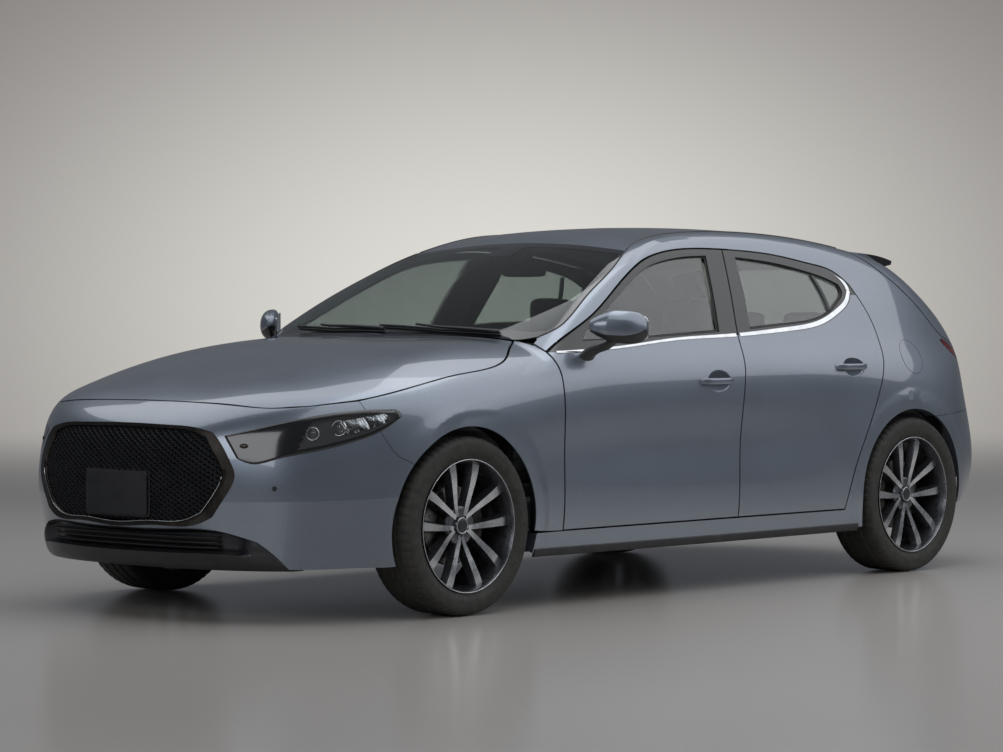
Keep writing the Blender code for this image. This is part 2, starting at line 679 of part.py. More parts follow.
def build_body_side(label, side):
    """Screen pillar, roof rail, sill and quarter as one pressing, with the door apertures and the arch cut."""
    top = np.concatenate([on_top([(0.722, F + 0.530)]), screen_edge(), rail_edge()[1:]])
    count = len(top)
    bottom = on_side(resample([(F + 0.362, SILL_Z), (0.0, SILL_Z), (R, SILL_Z), (R + 0.49, SILL_Z)], count))
    rear = np.concatenate([bottom[-1:], snap([QUARTER_REAR[1]]), gate_edge()])
    rear[-1] = top[-1]
    front = np.concatenate([on_side(resample([(F + 0.362, SILL_Z), (F + 0.45, 0.94)], len(rear) - 1)), top[:1]])
    outer = snap(inset_grid(snap(coons(bottom, rear, top, front)), SEAM_GAP / 2))
    inner = outer - normals(outer) * SIDE_DEPTH
    flip = np.array([side, 1, 1])
    name = f"body_side_{label}"
    panel = place(grid_solid(name, outer * flip, inner * flip), "paint")
    front_sides = front_door_sides(-SHUT_GAP / 2)
    rear_sides = rear_door_sides(-SHUT_GAP / 2)
    combine(panel, side_prism("front_aperture", loop_of(*front_sides), side, 0.40))
    combine(panel, side_prism("rear_aperture", loop_of(*rear_sides), side, 0.40))
    ahead = np.array([(F + 0.20, DOOR_FOOT_Z - SHUT_GAP / 2), (F + 0.527, DOOR_FOOT_Z - SHUT_GAP / 2),
                      (F + 0.527, 1.10), (F + 0.20, 1.10)])
    combine(panel, side_prism("pillar_foot", ahead, side, 0.40))
    combine(panel, arch_cutter("rear_arch", REAR_AXLE_Y, side))
    seam = bumper_top()[-10:, 1:] + (0, SEAT_GAP)
    below = np.concatenate([seam, [(R + 0.05, seam[-1, 1]), (R + 0.05, 0.10), (R + 0.80, 0.10), (R + 0.80, seam[0, 1])]])
    combine(panel, side_prism("bumper_seat", below[::-1], side, 0.40))
    combine(panel, lamp_cutter(side, tail_lamp_sides(), TAIL_LAMP_AXIS))
    return add_pillars(panel, side)


def bumper_top():
    """Top edge of the rear bumper, from right to left."""
    half = [(0.0, R + 0.765, 0.692), (0.30, R + 0.752, 0.692), (0.52, R + 0.700, 0.688), (0.720, R + 0.590, 0.682),
            (0.860, R + 0.370, 0.662), (0.885, R + 0.150, 0.650)]
    return snap(resample(mirrored(half), 25))


def sided_box(name, side, low, high, bevel=0.0):
    """Box on one side of the car, given by its left-hand corners."""
    xs = sorted((side * low[0], side * high[0]))
    return temporary(box(name, (xs[0], low[1], low[2]), (xs[1], high[1], high[2]), bevel))


def add_pillars(panel, side):
    """Inner sill, hinge pillar with its lugs, and centre pillar, behind the doors."""
    combine(panel, sided_box("inner_sill", side, (SILL_INNER_X, F + 0.372, 0.212), (0.845, R - 0.380, 0.272)), "UNION")
    pillar_y = F + 0.533
    combine(panel, sided_box("hinge_pillar", side, (0.700, pillar_y, 0.2254), (HINGE_PILLAR_X, F + 0.590, 0.800)), "UNION")
    combine(panel, sided_box("pillar_head", side, (0.700, pillar_y, 0.790), (0.742, F + 0.590, 0.945)), "UNION")
    combine(panel, sided_box("bonnet_lug", side, (BONNET_ARM_X + SEAT_GAP, BONNET_HINGE_Y - 0.012, BONNET_HINGE_Z - 0.012),
                             (0.720, BONNET_HINGE_Y + 0.012, BONNET_HINGE_Z + 0.012)), "UNION")
    combine(panel, sided_box("wing_arm", side, (0.740, F + 0.490, 0.600), (HINGE_PILLAR_X, F + 0.540, 0.640)), "UNION")
    wing_inside = on_side([(F + 0.500, 0.620)])[0][0] - SKIN - 0.0009
    combine(panel, sided_box("wing_bracket", side, (0.760, F + 0.490, 0.605), (wing_inside, F + 0.510, 0.635)), "UNION")
    shut = resample(SHUT_B, 7)
    heights = np.linspace(0.235, 1.362, 8)
    middle = np.interp(heights, shut[:, 1], shut[:, 0]) + 0.030
    depth = DOOR_DEPTH + 0.012 + (FRAME_DEPTH - DOOR_DEPTH) * ease(heights, 0.90, 1.02)
    low = np.stack([middle - 0.045, np.minimum(heights, 1.33)], axis=-1)
    outer = on_side(np.stack([low, low + (0.090, 0)]))
    outer[..., 0] -= depth
    outer[..., 2] = heights
    inner = outer - (0.045, 0, 0)
    flip = np.array([side, 1, 1])
    combine(panel, temporary(grid_solid("centre_pillar", outer * flip, inner * flip)), "UNION")
    for hinge_y, root in ((F + 0.525 + SHUT_GAP / 2 + DOOR_HINGE_SETBACK, 0.730),
                          (R - 1.160 + SHUT_GAP / 2 + DOOR_HINGE_SETBACK, 0.740)):
        for z in HINGE_HEIGHTS:
            combine(panel, sided_box("hinge_leaf", side, (root, hinge_y - HINGE_HALF, z + SEAT_GAP),
                                     (DOOR_HINGE_X + 0.008, hinge_y + HINGE_HALF, z + 0.020)), "UNION")
    return panel


def build_top():
    """Bonnet on its curved hinge arms, windscreen, and roof panel with the pins of the tailgate hinge."""
    front = on_top(resample(mirrored(BONNET_FRONT), 11))
    rear = on_top(resample(mirrored(BONNET_REAR), 11))
    left = on_top(resample(BONNET_SIDE, 9))
    right = left * (-1, 1, 1)
    inset = coons(front, left, rear, right)
    depth = np.full(inset.shape[:2], BONNET_DEPTH)
    depth[:, -1] = BONNET_EDGE
    bonnet = panel_from(inset, SHUT_GAP - SEAM_GAP / 2, "bonnet", depth, "paint")
    arm = [(0.012, -0.011), (0.012, 0.011), (-0.010, 0.011), (-0.046, -0.027), (-0.082, -0.032), (-0.102, -0.010),
           (-0.104, 0.0365), (-0.140, 0.034), (-0.128, -0.020), (-0.096, -0.054), (-0.045, -0.050), (-0.006, -0.012)]
    outline = [(BONNET_HINGE_Y + y, BONNET_HINGE_Z + z) for y, z in arm]
    for side in (1, -1):
        xs = sorted((side * BONNET_ARM_X, side * (BONNET_ARM_X - 0.012)))
        combine(bonnet, temporary(profile_solid("bonnet_arm", outline, *xs)), "UNION")
    hinge_at(bonnet, (0, BONNET_HINGE_Y, BONNET_HINGE_Z))
    base = on_top(resample(mirrored(SCREEN_BASE), 11))
    head = on_top(resample(mirrored(SCREEN_TOP), 11))
    pillar = screen_edge()
    base[-1] = pillar[0]
    base[0] = pillar[0] * (-1, 1, 1)
    head[-1] = pillar[-1]
    head[0] = pillar[-1] * (-1, 1, 1)
    panel_from(coons(base, pillar, head, pillar * (-1, 1, 1)), SEAM_GAP / 2, "windscreen", GLASS, "glass")
    rail = rail_edge()[:-1]
    corner = rail[-1]
    roof_rear = on_top(resample([(-corner[0], GATE_TOP_Y - 0.010), (0.0, GATE_TOP_Y - 0.010), (corner[0], GATE_TOP_Y - 0.010)], 11))
    rail = np.concatenate([rail[:-1], roof_rear[-1:]])
    roof = panel_from(coons(head, rail, roof_rear, rail * (-1, 1, 1)), SEAM_GAP / 2, "roof_panel", ROOF_DEPTH, "paint")
    pivot = gate_pivot()
    for x in (-GATE_PIN_X, GATE_PIN_X):
        web = box("web", (x - 0.04, pivot[1] - 0.020, pivot[2] - 0.006), (x + 0.04, pivot[1] - 0.001, pivot[2] + 0.0015))
        combine(roof, temporary(web), "UNION")
        pin = cylinder("pin", (x - 0.05, pivot[1], pivot[2]), (x + 0.05, pivot[1], pivot[2]), GATE_PIN_RADIUS, 8)
        combine(roof, temporary(pin), "UNION")


def gate_pivot():
    """Tailgate hinge axis: level with the skin over the pins, just ahead of the tailgate's edge."""
    skin_z = on_top([[GATE_PIN_X, GATE_TOP_Y]])[0][2]
    return np.array([0.0, GATE_TOP_Y + SHUT_GAP - SEAM_GAP / 2 - GATE_PIN_RADIUS - SEAT_GAP, skin_z])


def inset_grid(grid, gap):
    """Moves the rim points of a grid on the surface inwards by the gap."""
    grid = grid.copy()
    n, m = grid.shape[:2]
    rim = [(i, 0) for i in range(n - 1)] + [(n - 1, j) for j in range(m - 1)]
    rim += [(i, m - 1) for i in range(n - 1, 0, -1)] + [(0, j) for j in range(m - 1, 0, -1)]
    loop = np.array([grid[i, j] for i, j in rim])
    up = normals(loop)
    before = loop - np.roll(loop, 1, axis=0)
    after = np.roll(loop, -1, axis=0) - loop
    before /= np.linalg.norm(before, axis=1, keepdims=True)
    after /= np.linalg.norm(after, axis=1, keepdims=True)
    turn_before = np.cross(up, before)
    turn_after = np.cross(up, after)
    mitre = (turn_before + turn_after) / (1 + np.sum(turn_before * turn_after, axis=1))[:, None]
    middle = grid[n // 2, m // 2]
    inward = np.sign(np.sum(mitre * (middle - loop)))
    loop = loop + mitre * gap * inward
    for (i, j), point in zip(rim, loop):
        grid[i, j] = point
    return grid


def panel_from(grid, gap, name, depth, finish_name):
    """Panel over a grid near the surface, kept back from its seams by the gap; its depth may vary."""
    outer = snap(inset_grid(snap(grid), gap))
    inner = outer - normals(outer) * np.broadcast_to(depth, outer.shape[:2])[..., None]
    return place(grid_solid(name, outer, inner), finish_name)


def build_wing(label, side):
    """Front wing, from the bumper and lamp back to the door, cut round the wheel."""
    bottom = on_side(resample([(F - 0.250, 0.450), (F + 0.10, 0.36), (F + 0.33, 0.295), (F + 0.525, DOOR_FOOT_Z)], 12))
    front = wing_edge()
    bottom[0] = front[0]
    shut = np.array(SHUT_A) - (SHUT_GAP / 2, 0)
    rear = np.concatenate([on_side(resample(shut, 6)), on_top([(0.735, F + 0.519), (0.645, F + 0.503)])])
    top = on_top(resample([front[-1, :2]] + BONNET_SIDE[2:], 12))
    top[0] = front[-1]
    grid = coons(bottom, rear, top, front)
    grid = inset_grid(snap(grid), SEAM_GAP / 2)
    outer = snap(grid)
    inner = outer - normals(outer) * SKIN
    flip = np.array([side, 1, 1])
    wing = place(grid_solid(f"front_wing_{label}", outer * flip, inner * flip), "paint")
    combine(wing, arch_cutter("front_arch", FRONT_AXLE_Y, side))
    combine(wing, lamp_cutter(side, lamp_sides(), LAMP_AXIS))
    return wing


LAMP_TOP = [(0.480, F - 0.820, 0.664), (0.545, F - 0.770, 0.682), (0.642, F - 0.666, 0.713), (0.699, F - 0.585, 0.731),
            (0.761, F - 0.474, 0.747), (0.832, F - 0.325, 0.751)]
LAMP_FOOT = [(0.530, F - 0.805, 0.585), (0.580, F - 0.774, 0.566), (0.631, F - 0.724, 0.580), (0.720, F - 0.606, 0.609),
             (0.780, F - 0.493, 0.638), (0.827, F - 0.375, 0.682), (0.846, F - 0.305, 0.727)]
LAMP_AXIS = np.array([math.sin(math.radians(28)), -math.cos(math.radians(28)), 0.0])
LAMP_DEPTH = 0.035


def lamp_sides():
    top = resample(LAMP_TOP, 9)
    foot = resample(LAMP_FOOT, 9)
    outer_end = resample([LAMP_FOOT[-1], (0.842, F - 0.310, 0.742), LAMP_TOP[-1]], 4)
    inner_end = resample([LAMP_FOOT[0], LAMP_TOP[0]], 4)
    return [snap(s) for s in (foot, outer_end, top, inner_end)]


def lamp_cutter(side, sides, axis):
    """Cutter along a lamp's axis, a seam gap larger than the lamp all round."""
    loop = loop_of(*sides)
    across = np.array([axis[1], -axis[0], 0.0])
    flat = shrink(np.stack([loop @ across, loop[:, 2]], axis=-1), -SEAM_GAP / 2)
    spread = flat[:, :1] * across + flat[:, 1:] * np.array([0, 0, 1.0])
    flip = np.array([side, 1, 1])
    return prism("lamp_opening", spread * flip, axis * 1.2 * flip, axis * 2.6 * flip)


def lamp(name, side, sides, axis, depth, finish_name):
    """Lamp whose lens follows the body and whose housing runs straight back along its axis."""
    outer = snap(coons(*sides))
    flip = np.array([side, 1, 1])
    return place(grid_solid(name, outer * flip, (outer - axis * depth) * flip), finish_name)


TAIL_LAMP_FOOT = [(0.726, R + 0.530, 0.880), (0.748, R + 0.500, 0.882), (0.766, R + 0.466, 0.888)]
TAIL_LAMP_END = [(0.766, R + 0.466, 0.888), (0.781, R + 0.410, 0.925), (0.777, R + 0.355, 0.970)]
TAIL_LAMP_TOP = [(0.764, R + 0.382, 0.978), (0.771, R + 0.368, 0.976), (0.777, R + 0.355, 0.970)]
TAIL_LAMP_SEAM = [(0.726, R + 0.530, 0.880), (0.732, R + 0.500, 0.922), (0.748, R + 0.443, 0.953), (0.764, R + 0.382, 0.978)]
TAIL_LAMP_AXIS = np.array([math.sin(math.radians(50)), math.cos(math.radians(50)), 0.0])
TAIL_LAMP_DEPTH = 0.020
GATE_LAMP = ([(0.400, 0.905), (0.550, 0.893), (0.688, 0.886)],
             [(0.688, 0.886), (0.692, 0.920), (0.686, 0.953)],
             [(0.400, 0.948), (0.550, 0.957), (0.686, 0.953)],
             [(0.400, 0.905), (0.384, 0.926), (0.400, 0.948)])


def tail_lamp_sides():
    ends = (TAIL_LAMP_FOOT, TAIL_LAMP_END, TAIL_LAMP_TOP, TAIL_LAMP_SEAM)
    return [snap(resample(line, count)) for line, count in zip(ends, (4, 5, 4, 5))]


def build_lamps(label, side):
    """Headlamp, and the outer part of the tail lamp; its inner part is on the tailgate."""
    lamp(f"headlamp_{label}", side, lamp_sides(), LAMP_AXIS, LAMP_DEPTH, "lamp")
    lamp(f"tail_lamp_{label}", side, tail_lamp_sides(), TAIL_LAMP_AXIS, TAIL_LAMP_DEPTH, "tail_lamp")
    flat = shrink_sides(edges(*GATE_LAMP, 7, 4), SEAM_GAP / 2)
    lens = on_tail(coons(*flat))
    flip = np.array([side, 1, 1])
    inner = place(grid_solid(f"gate_lamp_{label}", lens * flip, (lens - (0, TAIL_LAMP_DEPTH, 0)) * flip), "tail_lamp")
    hinge_at(inner, gate_pivot())


GRILLE_FRAME = ([(0.0, 0.332), (0.20, 0.343), (0.38, 0.352), (0.440, 0.378)],
                [(0.440, 0.378), (0.498, 0.455), (0.526, 0.530), (0.508, 0.575), (0.484, 0.616), (0.456, 0.652),
                 (0.432, 0.674)],
                [(0.0, 0.700), (0.25, 0.696), (0.36, 0.689), (0.432, 0.674)])
GRILLE_MESH = ([(0.0, 0.350), (0.18, 0.360), (0.340, 0.371), (0.395, 0.395)],
               [(0.395, 0.395), (0.452, 0.468), (0.476, 0.538), (0.442, 0.600), (0.405, 0.655)],
               [(0.0, 0.687), (0.24, 0.683), (0.34, 0.676), (0.405, 0.655)])
LIP = ([(0.0, 0.187), (0.40, 0.187), (0.655, 0.187)],
       [(0.655, 0.187), (0.625, 0.235), (0.575, 0.290)],
       [(0.0, 0.325), (0.30, 0.331), (0.48, 0.322), (0.575, 0.290)])


def nose_sides(half, gap=0.0, n=13, m=6):
    bottom, right, top = half
    left = np.array(right) * (-1, 1)
    return shrink_sides(edges(mirrored(bottom), right, mirrored(top), left, n, m), gap)


def build_front():
    """Bumper skin with the grille, intake and lamp openings cut, and what fills them."""
    half_top = [(0.0, F - 0.760, 0.777), (0.22, F - 0.757, 0.775), (0.42, F - 0.742, 0.765), (0.56, F - 0.697, 0.760),
                (0.67, F - 0.590, 0.765), (0.762, F - 0.434, 0.782)]
    half_bottom = [(0.0, F - 0.880, 0.190), (0.30, F - 0.860, 0.190), (0.55, F - 0.760, 0.190), (0.72, F - 0.600, 0.190),
                   (0.81, F - 0.440, 0.195), (0.850, F - 0.270, 0.205)]
    top = resample(mirrored(half_top), 21)
    bottom = resample(mirrored(half_bottom), 21)
    right = np.concatenate([bottom[-1:], wing_edge()])
    for edge in (top, right):
        edge[-1] = wing_edge()[-1]
    top[0] = top[-1] * (-1, 1, 1)
    grid = coons(bottom, right, top, right * (-1, 1, 1))
    outer = snap(inset_grid(snap(grid), SEAM_GAP / 2))
    inner = outer - normals(outer) * BUMPER_WALL
    bumper = place(grid_solid("front_bumper", outer, inner), "paint")
    combine(bumper, nose_prism("grille_opening", loop_of(*nose_sides(GRILLE_FRAME, -SEAM_GAP / 2)), F - 1.1, F - 0.55))
    combine(bumper, nose_prism("lip_opening", loop_of(*nose_sides(LIP, -SEAM_GAP / 2)), F - 1.1, F - 0.55))
    for side in (1, -1):
        combine(bumper, arch_cutter("front_arch", FRONT_AXLE_Y, side))
        combine(bumper, lamp_cutter(side, lamp_sides(), LAMP_AXIS))
    frame_loop = on_nose(loop_of(*nose_sides(GRILLE_FRAME)))
    mesh_loop = on_nose(loop_of(*nose_sides(GRILLE_MESH)))
    back = np.array([0, 0.045, 0])
    ring = np.stack([frame_loop, mesh_loop + (0, 0.012, 0), mesh_loop + back, frame_loop + back], axis=1)
    place(ring_solid("grille_frame", ring), "gunmetal")
    mesh = on_nose(coons(*nose_sides(GRILLE_MESH, SEAT_GAP))) + (0, 0.030, 0)
    place(grid_solid("grille", mesh, mesh + (0, 0.015, 0)), "black_trim")
    lip = on_nose(coons(*nose_sides(LIP)))
    place(grid_solid("front_lip", lip, lip + (0, 0.060, 0)), "black_plastic")


def ring_solid(name, rings):
    """Closed solid from a closed row of closed sections."""
    n, m = rings.shape[:2]
    number = np.arange(n * m).reshape(n, m)
    over = np.roll(number, -1, axis=0)
    faces = np.stack([number, np.roll(number, -1, 1), np.roll(over, -1, 1), over], axis=-1).reshape(-1, 4)
    return closed_mesh(name, rings.reshape(-1, 3), faces)


REAR_GLASS = ([(0.0, 1.010), (0.35, 1.015), (0.560, 1.030)],
              [(0.560, 1.030), (0.565, 1.080), (0.515, 1.235), (0.490, 1.265)],
              [(0.0, 1.285), (0.30, 1.280), (0.490, 1.265)])


def spoiler():
    """Roof spoiler: it carries the roof line on past the rear window as a thin wedge."""
    x = np.linspace(-SPOILER_HALF, SPOILER_HALF, 11)
    front = on_top(np.stack([x, np.full(11, R - 0.020)], axis=-1))
    front -= normals(front) * GATE_DEPTH * 0.4
    root = on_tail(np.stack([x, SPOILER_ROOT_Z - 0.06 * x ** 2], axis=-1))
    root -= normals(root) * GATE_DEPTH * 0.4
    tip = front + np.stack([0 * x, SPOILER_REACH - 0.22 * x ** 2, np.full(11, -SPOILER_FALL)], axis=-1)
    heel = tip - (0, 0.006, SPOILER_EDGE)
    return temporary(grid_solid("spoiler", np.stack([front, tip], axis=1), np.stack([root, heel], axis=1)))


def build_rear():
    """Tailgate with its glass, and the rear bumper with its lower diffuser."""
    half_foot = [(0.0, R + 0.745, 0.700), (0.30, R + 0.735, 0.700), (0.52, R + 0.690, 0.695), (0.720, R + 0.590, 0.690)]
    foot = resample(mirrored(half_foot), 13)
    head = on_top(resample([(-0.600, GATE_TOP_Y), (0.0, GATE_TOP_Y), (0.600, GATE_TOP_Y)], 13))
    right = gate_edge()
    foot[-1] = right[0]
    foot[0] = right[0] * (-1, 1, 1)
    head[-1] = right[-1]
    head[0] = right[-1] * (-1, 1, 1)
    grid = snap(coons(foot, right, head, right * (-1, 1, 1)))
    outer = snap(inset_grid(grid, SHUT_GAP - SEAM_GAP / 2))
    inner = outer - normals(outer) * GATE_DEPTH
    gate = place(grid_solid("tailgate", outer, inner), "paint")
    loop = loop_of(*nose_sides(REAR_GLASS))
    combine(gate, nose_prism("rear_window", loop, R - 0.20, R + 0.9))
    combine(gate, spoiler(), "UNION")
    for side in (1, -1):
        opening = loop_of(*edges(*GATE_LAMP, 7, 4)) * (side, 1)
        combine(gate, nose_prism("lamp_opening", opening, R + 0.2, R + 0.9))
    pane = on_tail(coons(*nose_sides(REAR_GLASS, SEAT_GAP))) - (0, 0.008, 0)
    glass = place(grid_solid("rear_window_glass", pane, pane - (0, GLASS * 1.6, 0)), "glass")
    for obj in (gate, glass):
        hinge_at(obj, gate_pivot())
    half_low = [(0.0, R + 0.795, 0.400), (0.30, R + 0.782, 0.395), (0.56, R + 0.725, 0.370), (0.76, R + 0.580, 0.330),
                (0.850, R + 0.420, 0.285), (0.870, R + 0.200, 0.250)]
    top = bumper_top()
    low = resample(mirrored(half_low), 25)
    right = resample([half_low[-1], (0.893, R + 0.150, 0.450), top[-1]], 6)
    grid = snap(coons(low, right, top, right * (-1, 1, 1)))
    outer = snap(inset_grid(grid, SEAM_GAP / 2))
    bumper = place(grid_solid("rear_bumper", outer, outer - normals(outer) * BUMPER_WALL), "paint")
    for side in (1, -1):
        combine(bumper, arch_cutter("rear_arch", REAR_AXLE_Y, side))
    return gate


def build_wheel(label, centre, side):
    """Tyre and alloy rim, turned round the axle, with the spokes, hub and brake disc in one piece."""
    half = TYRE_WIDTH / 2
    bead = RIM_RADIUS
    profile = [(half - 0.012, bead), (half, bead + 0.035), (half - 0.012, TYRE_RADIUS - 0.012), (half - 0.040, TYRE_RADIUS),
               (-half + 0.040, TYRE_RADIUS), (-half + 0.012, TYRE_RADIUS - 0.012), (-half, bead + 0.035), (-half + 0.012, bead)]
    centre = np.array(centre)
    tyre = place(turned(f"tyre_{label}", np.array(profile) * (side, 1), centre, WHEEL_STEPS), "rubber")
    rim_half = RIM_WIDTH / 2
    outer = RIM_RADIUS - SEAT_GAP
    barrel = [(rim_half, outer), (-rim_half, outer), (-rim_half, outer - 0.012), (-rim_half + 0.020, outer - 0.020),
              (rim_half - 0.050, outer - 0.026), (rim_half - 0.012, outer - 0.014), (rim_half, outer - 0.010)]
    rim = place(turned(f"wheel_{label}", np.array(barrel) * (side, 1), centre, WHEEL_STEPS), "alloy")
    face = rim_half - 0.022
    hub = cylinder("hub", centre + (side * (face - 0.045), 0, 0), centre + (side * (face - 0.004), 0, 0), HUB_RADIUS, 16)
    for k in range(SPOKE_PAIRS):
        for twin in (-1, 1):
            combine(hub, spoke(centre, side, face, 2 * math.pi * k / SPOKE_PAIRS, twin), "UNION")
    disc = cylinder("disc", centre + (side * 0.0, 0, 0), centre + (side * (face - 0.040), 0, 0), 0.068, 16)
    plate = cylinder("plate", centre - (side * 0.012, 0, 0), centre + (side * 0.012, 0, 0), DISC_RADIUS, 20)
    combine(disc, plate, "UNION")
    combine(hub, disc, "UNION")
    combine(rim, hub, "UNION")
    for obj in (tyre, rim):
        hinge_at(obj, centre)
    return tyre, rim


def spoke(centre, side, face, angle, twin):
    """One spoke of a pair: narrow at the hub, and set well apart at the rim."""
    inner = 0.050
    outer = RIM_RADIUS - 0.016
    root = twin * math.radians(9)
    tip = twin * math.radians(12.5)
    rows = []
    for radius, turn, half, front, back in ((inner, root * 1.5, 0.010, face - 0.010, face - 0.040),
                                            (0.120, root * 1.1, 0.0105, face - 0.012, face - 0.038),
                                            (outer, tip, 0.0125, face + 0.000, face - 0.024)):
        out = np.array([0, math.sin(angle + turn), math.cos(angle + turn)])
        across = np.array([0, math.cos(angle + turn), -math.sin(angle + turn)])
        middle = centre + out * radius
        rows.append([middle + across * half * 1.35 + (side * back, 0, 0), middle + across * half + (side * front, 0, 0),
                     middle - across * half + (side * front, 0, 0), middle - across * half * 1.35 + (side * back, 0, 0)])
    rows = np.array(rows)
    faces = [[0, 1, 2, 3], [11, 10, 9, 8]]
    for k in range(2):
        for j in range(4):
            a = 4 * k + j
            b = 4 * k + (j + 1) % 4
            faces.append([a, b, b + 4, a + 4])
    return temporary(closed_mesh("spoke", rows.reshape(-1, 3), faces))


def temporary(obj):
    TOOLS.objects.link(obj)
    obj.hide_render = True
    return obj


def build_shell():
    """Floor, tunnel, bulkhead, front rails, wheelhouses and boot floor: the inner body that carries the rest."""
    half = SILL_INNER_X - SEAT_GAP
    shell = box("body_shell", (-half, F + 0.420, 0.200), (half, R - 0.435, 0.225))
    parts = (("tunnel", (-0.12, F + 0.425, 0.207), (0.12, R - 0.440, 0.330)),
             ("bulkhead", (-0.695, F + 0.415, 0.210), (0.695, F + 0.445, 0.860)),
             ("heelboard", (-0.700, R - 0.460, 0.205), (0.700, R - 0.430, 0.435)),
             ("boot_floor", (-REAR_LINER_X, R - 0.455, 0.420), (REAR_LINER_X, R + 0.610, 0.440)),
             ("rear_panel", (-0.600, R + 0.600, 0.340), (0.600, R + 0.620, 0.675)))
    for name, low, high in parts:
        combine(shell, temporary(box(name, low, high)), "UNION")
    for side in (1, -1):
        combine(shell, sided_box("rail", side, (RAIL_X[0], F - 0.72, 0.42), (RAIL_X[1], F + 0.43, 0.54)), "UNION")
        for axle_y, wall_x in ((F, RAIL_X[1]), (R, REAR_LINER_X)):
            outer = arc((axle_y, TYRE_RADIUS), LINER_RADIUS + LINER_WALL, 0, 180, 15)
            inner = arc((axle_y, TYRE_RADIUS), LINER_RADIUS, 180, 0, 15)
            xs = sorted((side * (wall_x - 0.002), side * LINER_OUTER_X))
            combine(shell, temporary(profile_solid("wheelhouse", list(outer) + list(inner), *xs)), "UNION")
            plate = arc((axle_y, TYRE_RADIUS), LINER_RADIUS + LINER_WALL * 0.5, 1, 179, 15)
            xs = sorted((side * (wall_x - 0.004), side * (wall_x + 0.004)))
            combine(shell, temporary(profile_solid("wheelhouse_wall", list(plate), *xs)), "UNION")
    return place(shell, "carpet")


def build_cabin():
    wheel_centre = Vector((DRIVER_X, F + 0.98, 0.83))
    column = Vector((0, -math.cos(STEERING_RAKE), -math.sin(STEERING_RAKE)))
    outline = [(F + 0.50, 0.68), (F + 0.50, 0.8596), (F + 0.63, 0.8596), (F + 0.66, 0.900), (F + 0.80, 0.905),
               (F + 0.87, 0.860), (F + 0.86, 0.700), (F + 0.78, 0.640), (F + 0.56, 0.640)]
    dash = profile_solid("dashboard", outline, -0.700 + SEAT_GAP, 0.700 - SEAT_GAP)
    shroud = cylinder("shroud", wheel_centre + column * (0.100 + SEAT_GAP), wheel_centre + column * 0.24, 0.036, 12)
    combine(dash, temporary(shroud), "UNION")
    place(dash, "vinyl")
    for label, x in (("left", -DRIVER_X), ("right", DRIVER_X)):
        build_seat(f"front_seat_{label}", x, 0.25, F + 1.22)
    build_bench(R - 0.620)
    base = on_top(resample([(-0.61, F + 0.535), (-0.30, F + 0.448), (0.0, F + 0.430), (0.30, F + 0.448), (0.61, F + 0.535)], 11))
    behind = on_top(base[:, :2] + (0, 0.055))
    upper = np.stack([base, behind], axis=1)
    upper = upper - normals(upper) * (GLASS + SEAT_GAP)
    lower = upper.copy()
    lower[..., 2] = 0.860 + SEAT_GAP
    place(grid_solid("cowl", upper, lower), "black_plastic")
    bpy.ops.mesh.primitive_torus_add(major_radius=STEERING_WHEEL_RADIUS, minor_radius=0.015, major_segments=24, minor_segments=6)
    ring = bpy.context.active_object
    ring.name = "steering_wheel"
    combine(ring, temporary(box("pad", (-0.18, -0.035, -0.014), (0.18, 0.035, 0.010))), "UNION")
    combine(ring, temporary(cylinder("column", (0, 0, -0.010), (0, 0, -0.100), 0.025, 12)), "UNION")
    turn = Matrix.Rotation(STEERING_RAKE - math.pi / 2, 4, "X")
    ring.data.transform(Matrix.Translation(wheel_centre) @ turn)
    place(ring, "leather")
    hinge_at(ring, wheel_centre)


def profile_solid(name, outline, left, right, bevel=0.0):
    """Side outline, as (y, z) points, carried straight across from x left to x right."""
    n = len(outline)
    points = [(left, y, z) for y, z in outline] + [(right, y, z) for y, z in outline]
    faces = [list(range(n)), list(range(2 * n - 1, n - 1, -1))]
    faces += [[i, (i + 1) % n, n + (i + 1) % n, n + i] for i in range(n)]
    obj = closed_mesh(name, points, faces)
    if bevel:
        rounding = obj.modifiers.new("edges", "BEVEL")
        rounding.width = bevel
        rounding.segments = 1
        rounding.limit_method = "ANGLE"
    return obj


def build_seat(name, x, half, y):
    """Cushion, leaning back and headrest from one side outline."""
    outline = [(y, 0.34), (y + 0.02, 0.47), (y + 0.12, 0.50), (y + 0.42, 0.46), (y + 0.53, 0.95), (y + 0.57, 1.00),
               (y + 0.66, 0.97), (y + 0.62, 0.80), (y + 0.54, 0.40), (y + 0.48, 0.34)]
    seat = profile_solid(name, outline, x - half, x + half, 0.025)
    head_outline = [(y + 0.56, 0.94), (y + 0.59, 1.14), (y + 0.62, 1.17), (y + 0.70, 1.15), (y + 0.65, 0.94)]
    head = temporary(profile_solid("head", head_outline, x - 0.13, x + 0.13, 0.02))
    combine(seat, head, "UNION")
    for rail_x in (x - 0.17, x + 0.17):
        rail = box("rail", (rail_x - 0.02, y + 0.06, 0.225 + SEAT_GAP), (rail_x + 0.02, y + 0.46, 0.36))
        combine(seat, temporary(rail), "UNION")
    return place(seat, "leather")


def build_bench(y):
    """Rear bench between the wheelhouses, its cushion on the raised floor and its back leaning behind it."""
    floor = 0.440 + SEAT_GAP
    outline = [(y, 0.400), (y + 0.02, 0.540), (y + 0.12, 0.570), (y + 0.44, 0.530), (y + 0.54, 1.000), (y + 0.62, 1.000),
               (y + 0.58, 0.520), (y + 0.55, floor), (y + 0.15, floor), (y + 0.15, 0.400)]
    return place(profile_solid("rear_bench", outline, -0.545, 0.545), "leather")


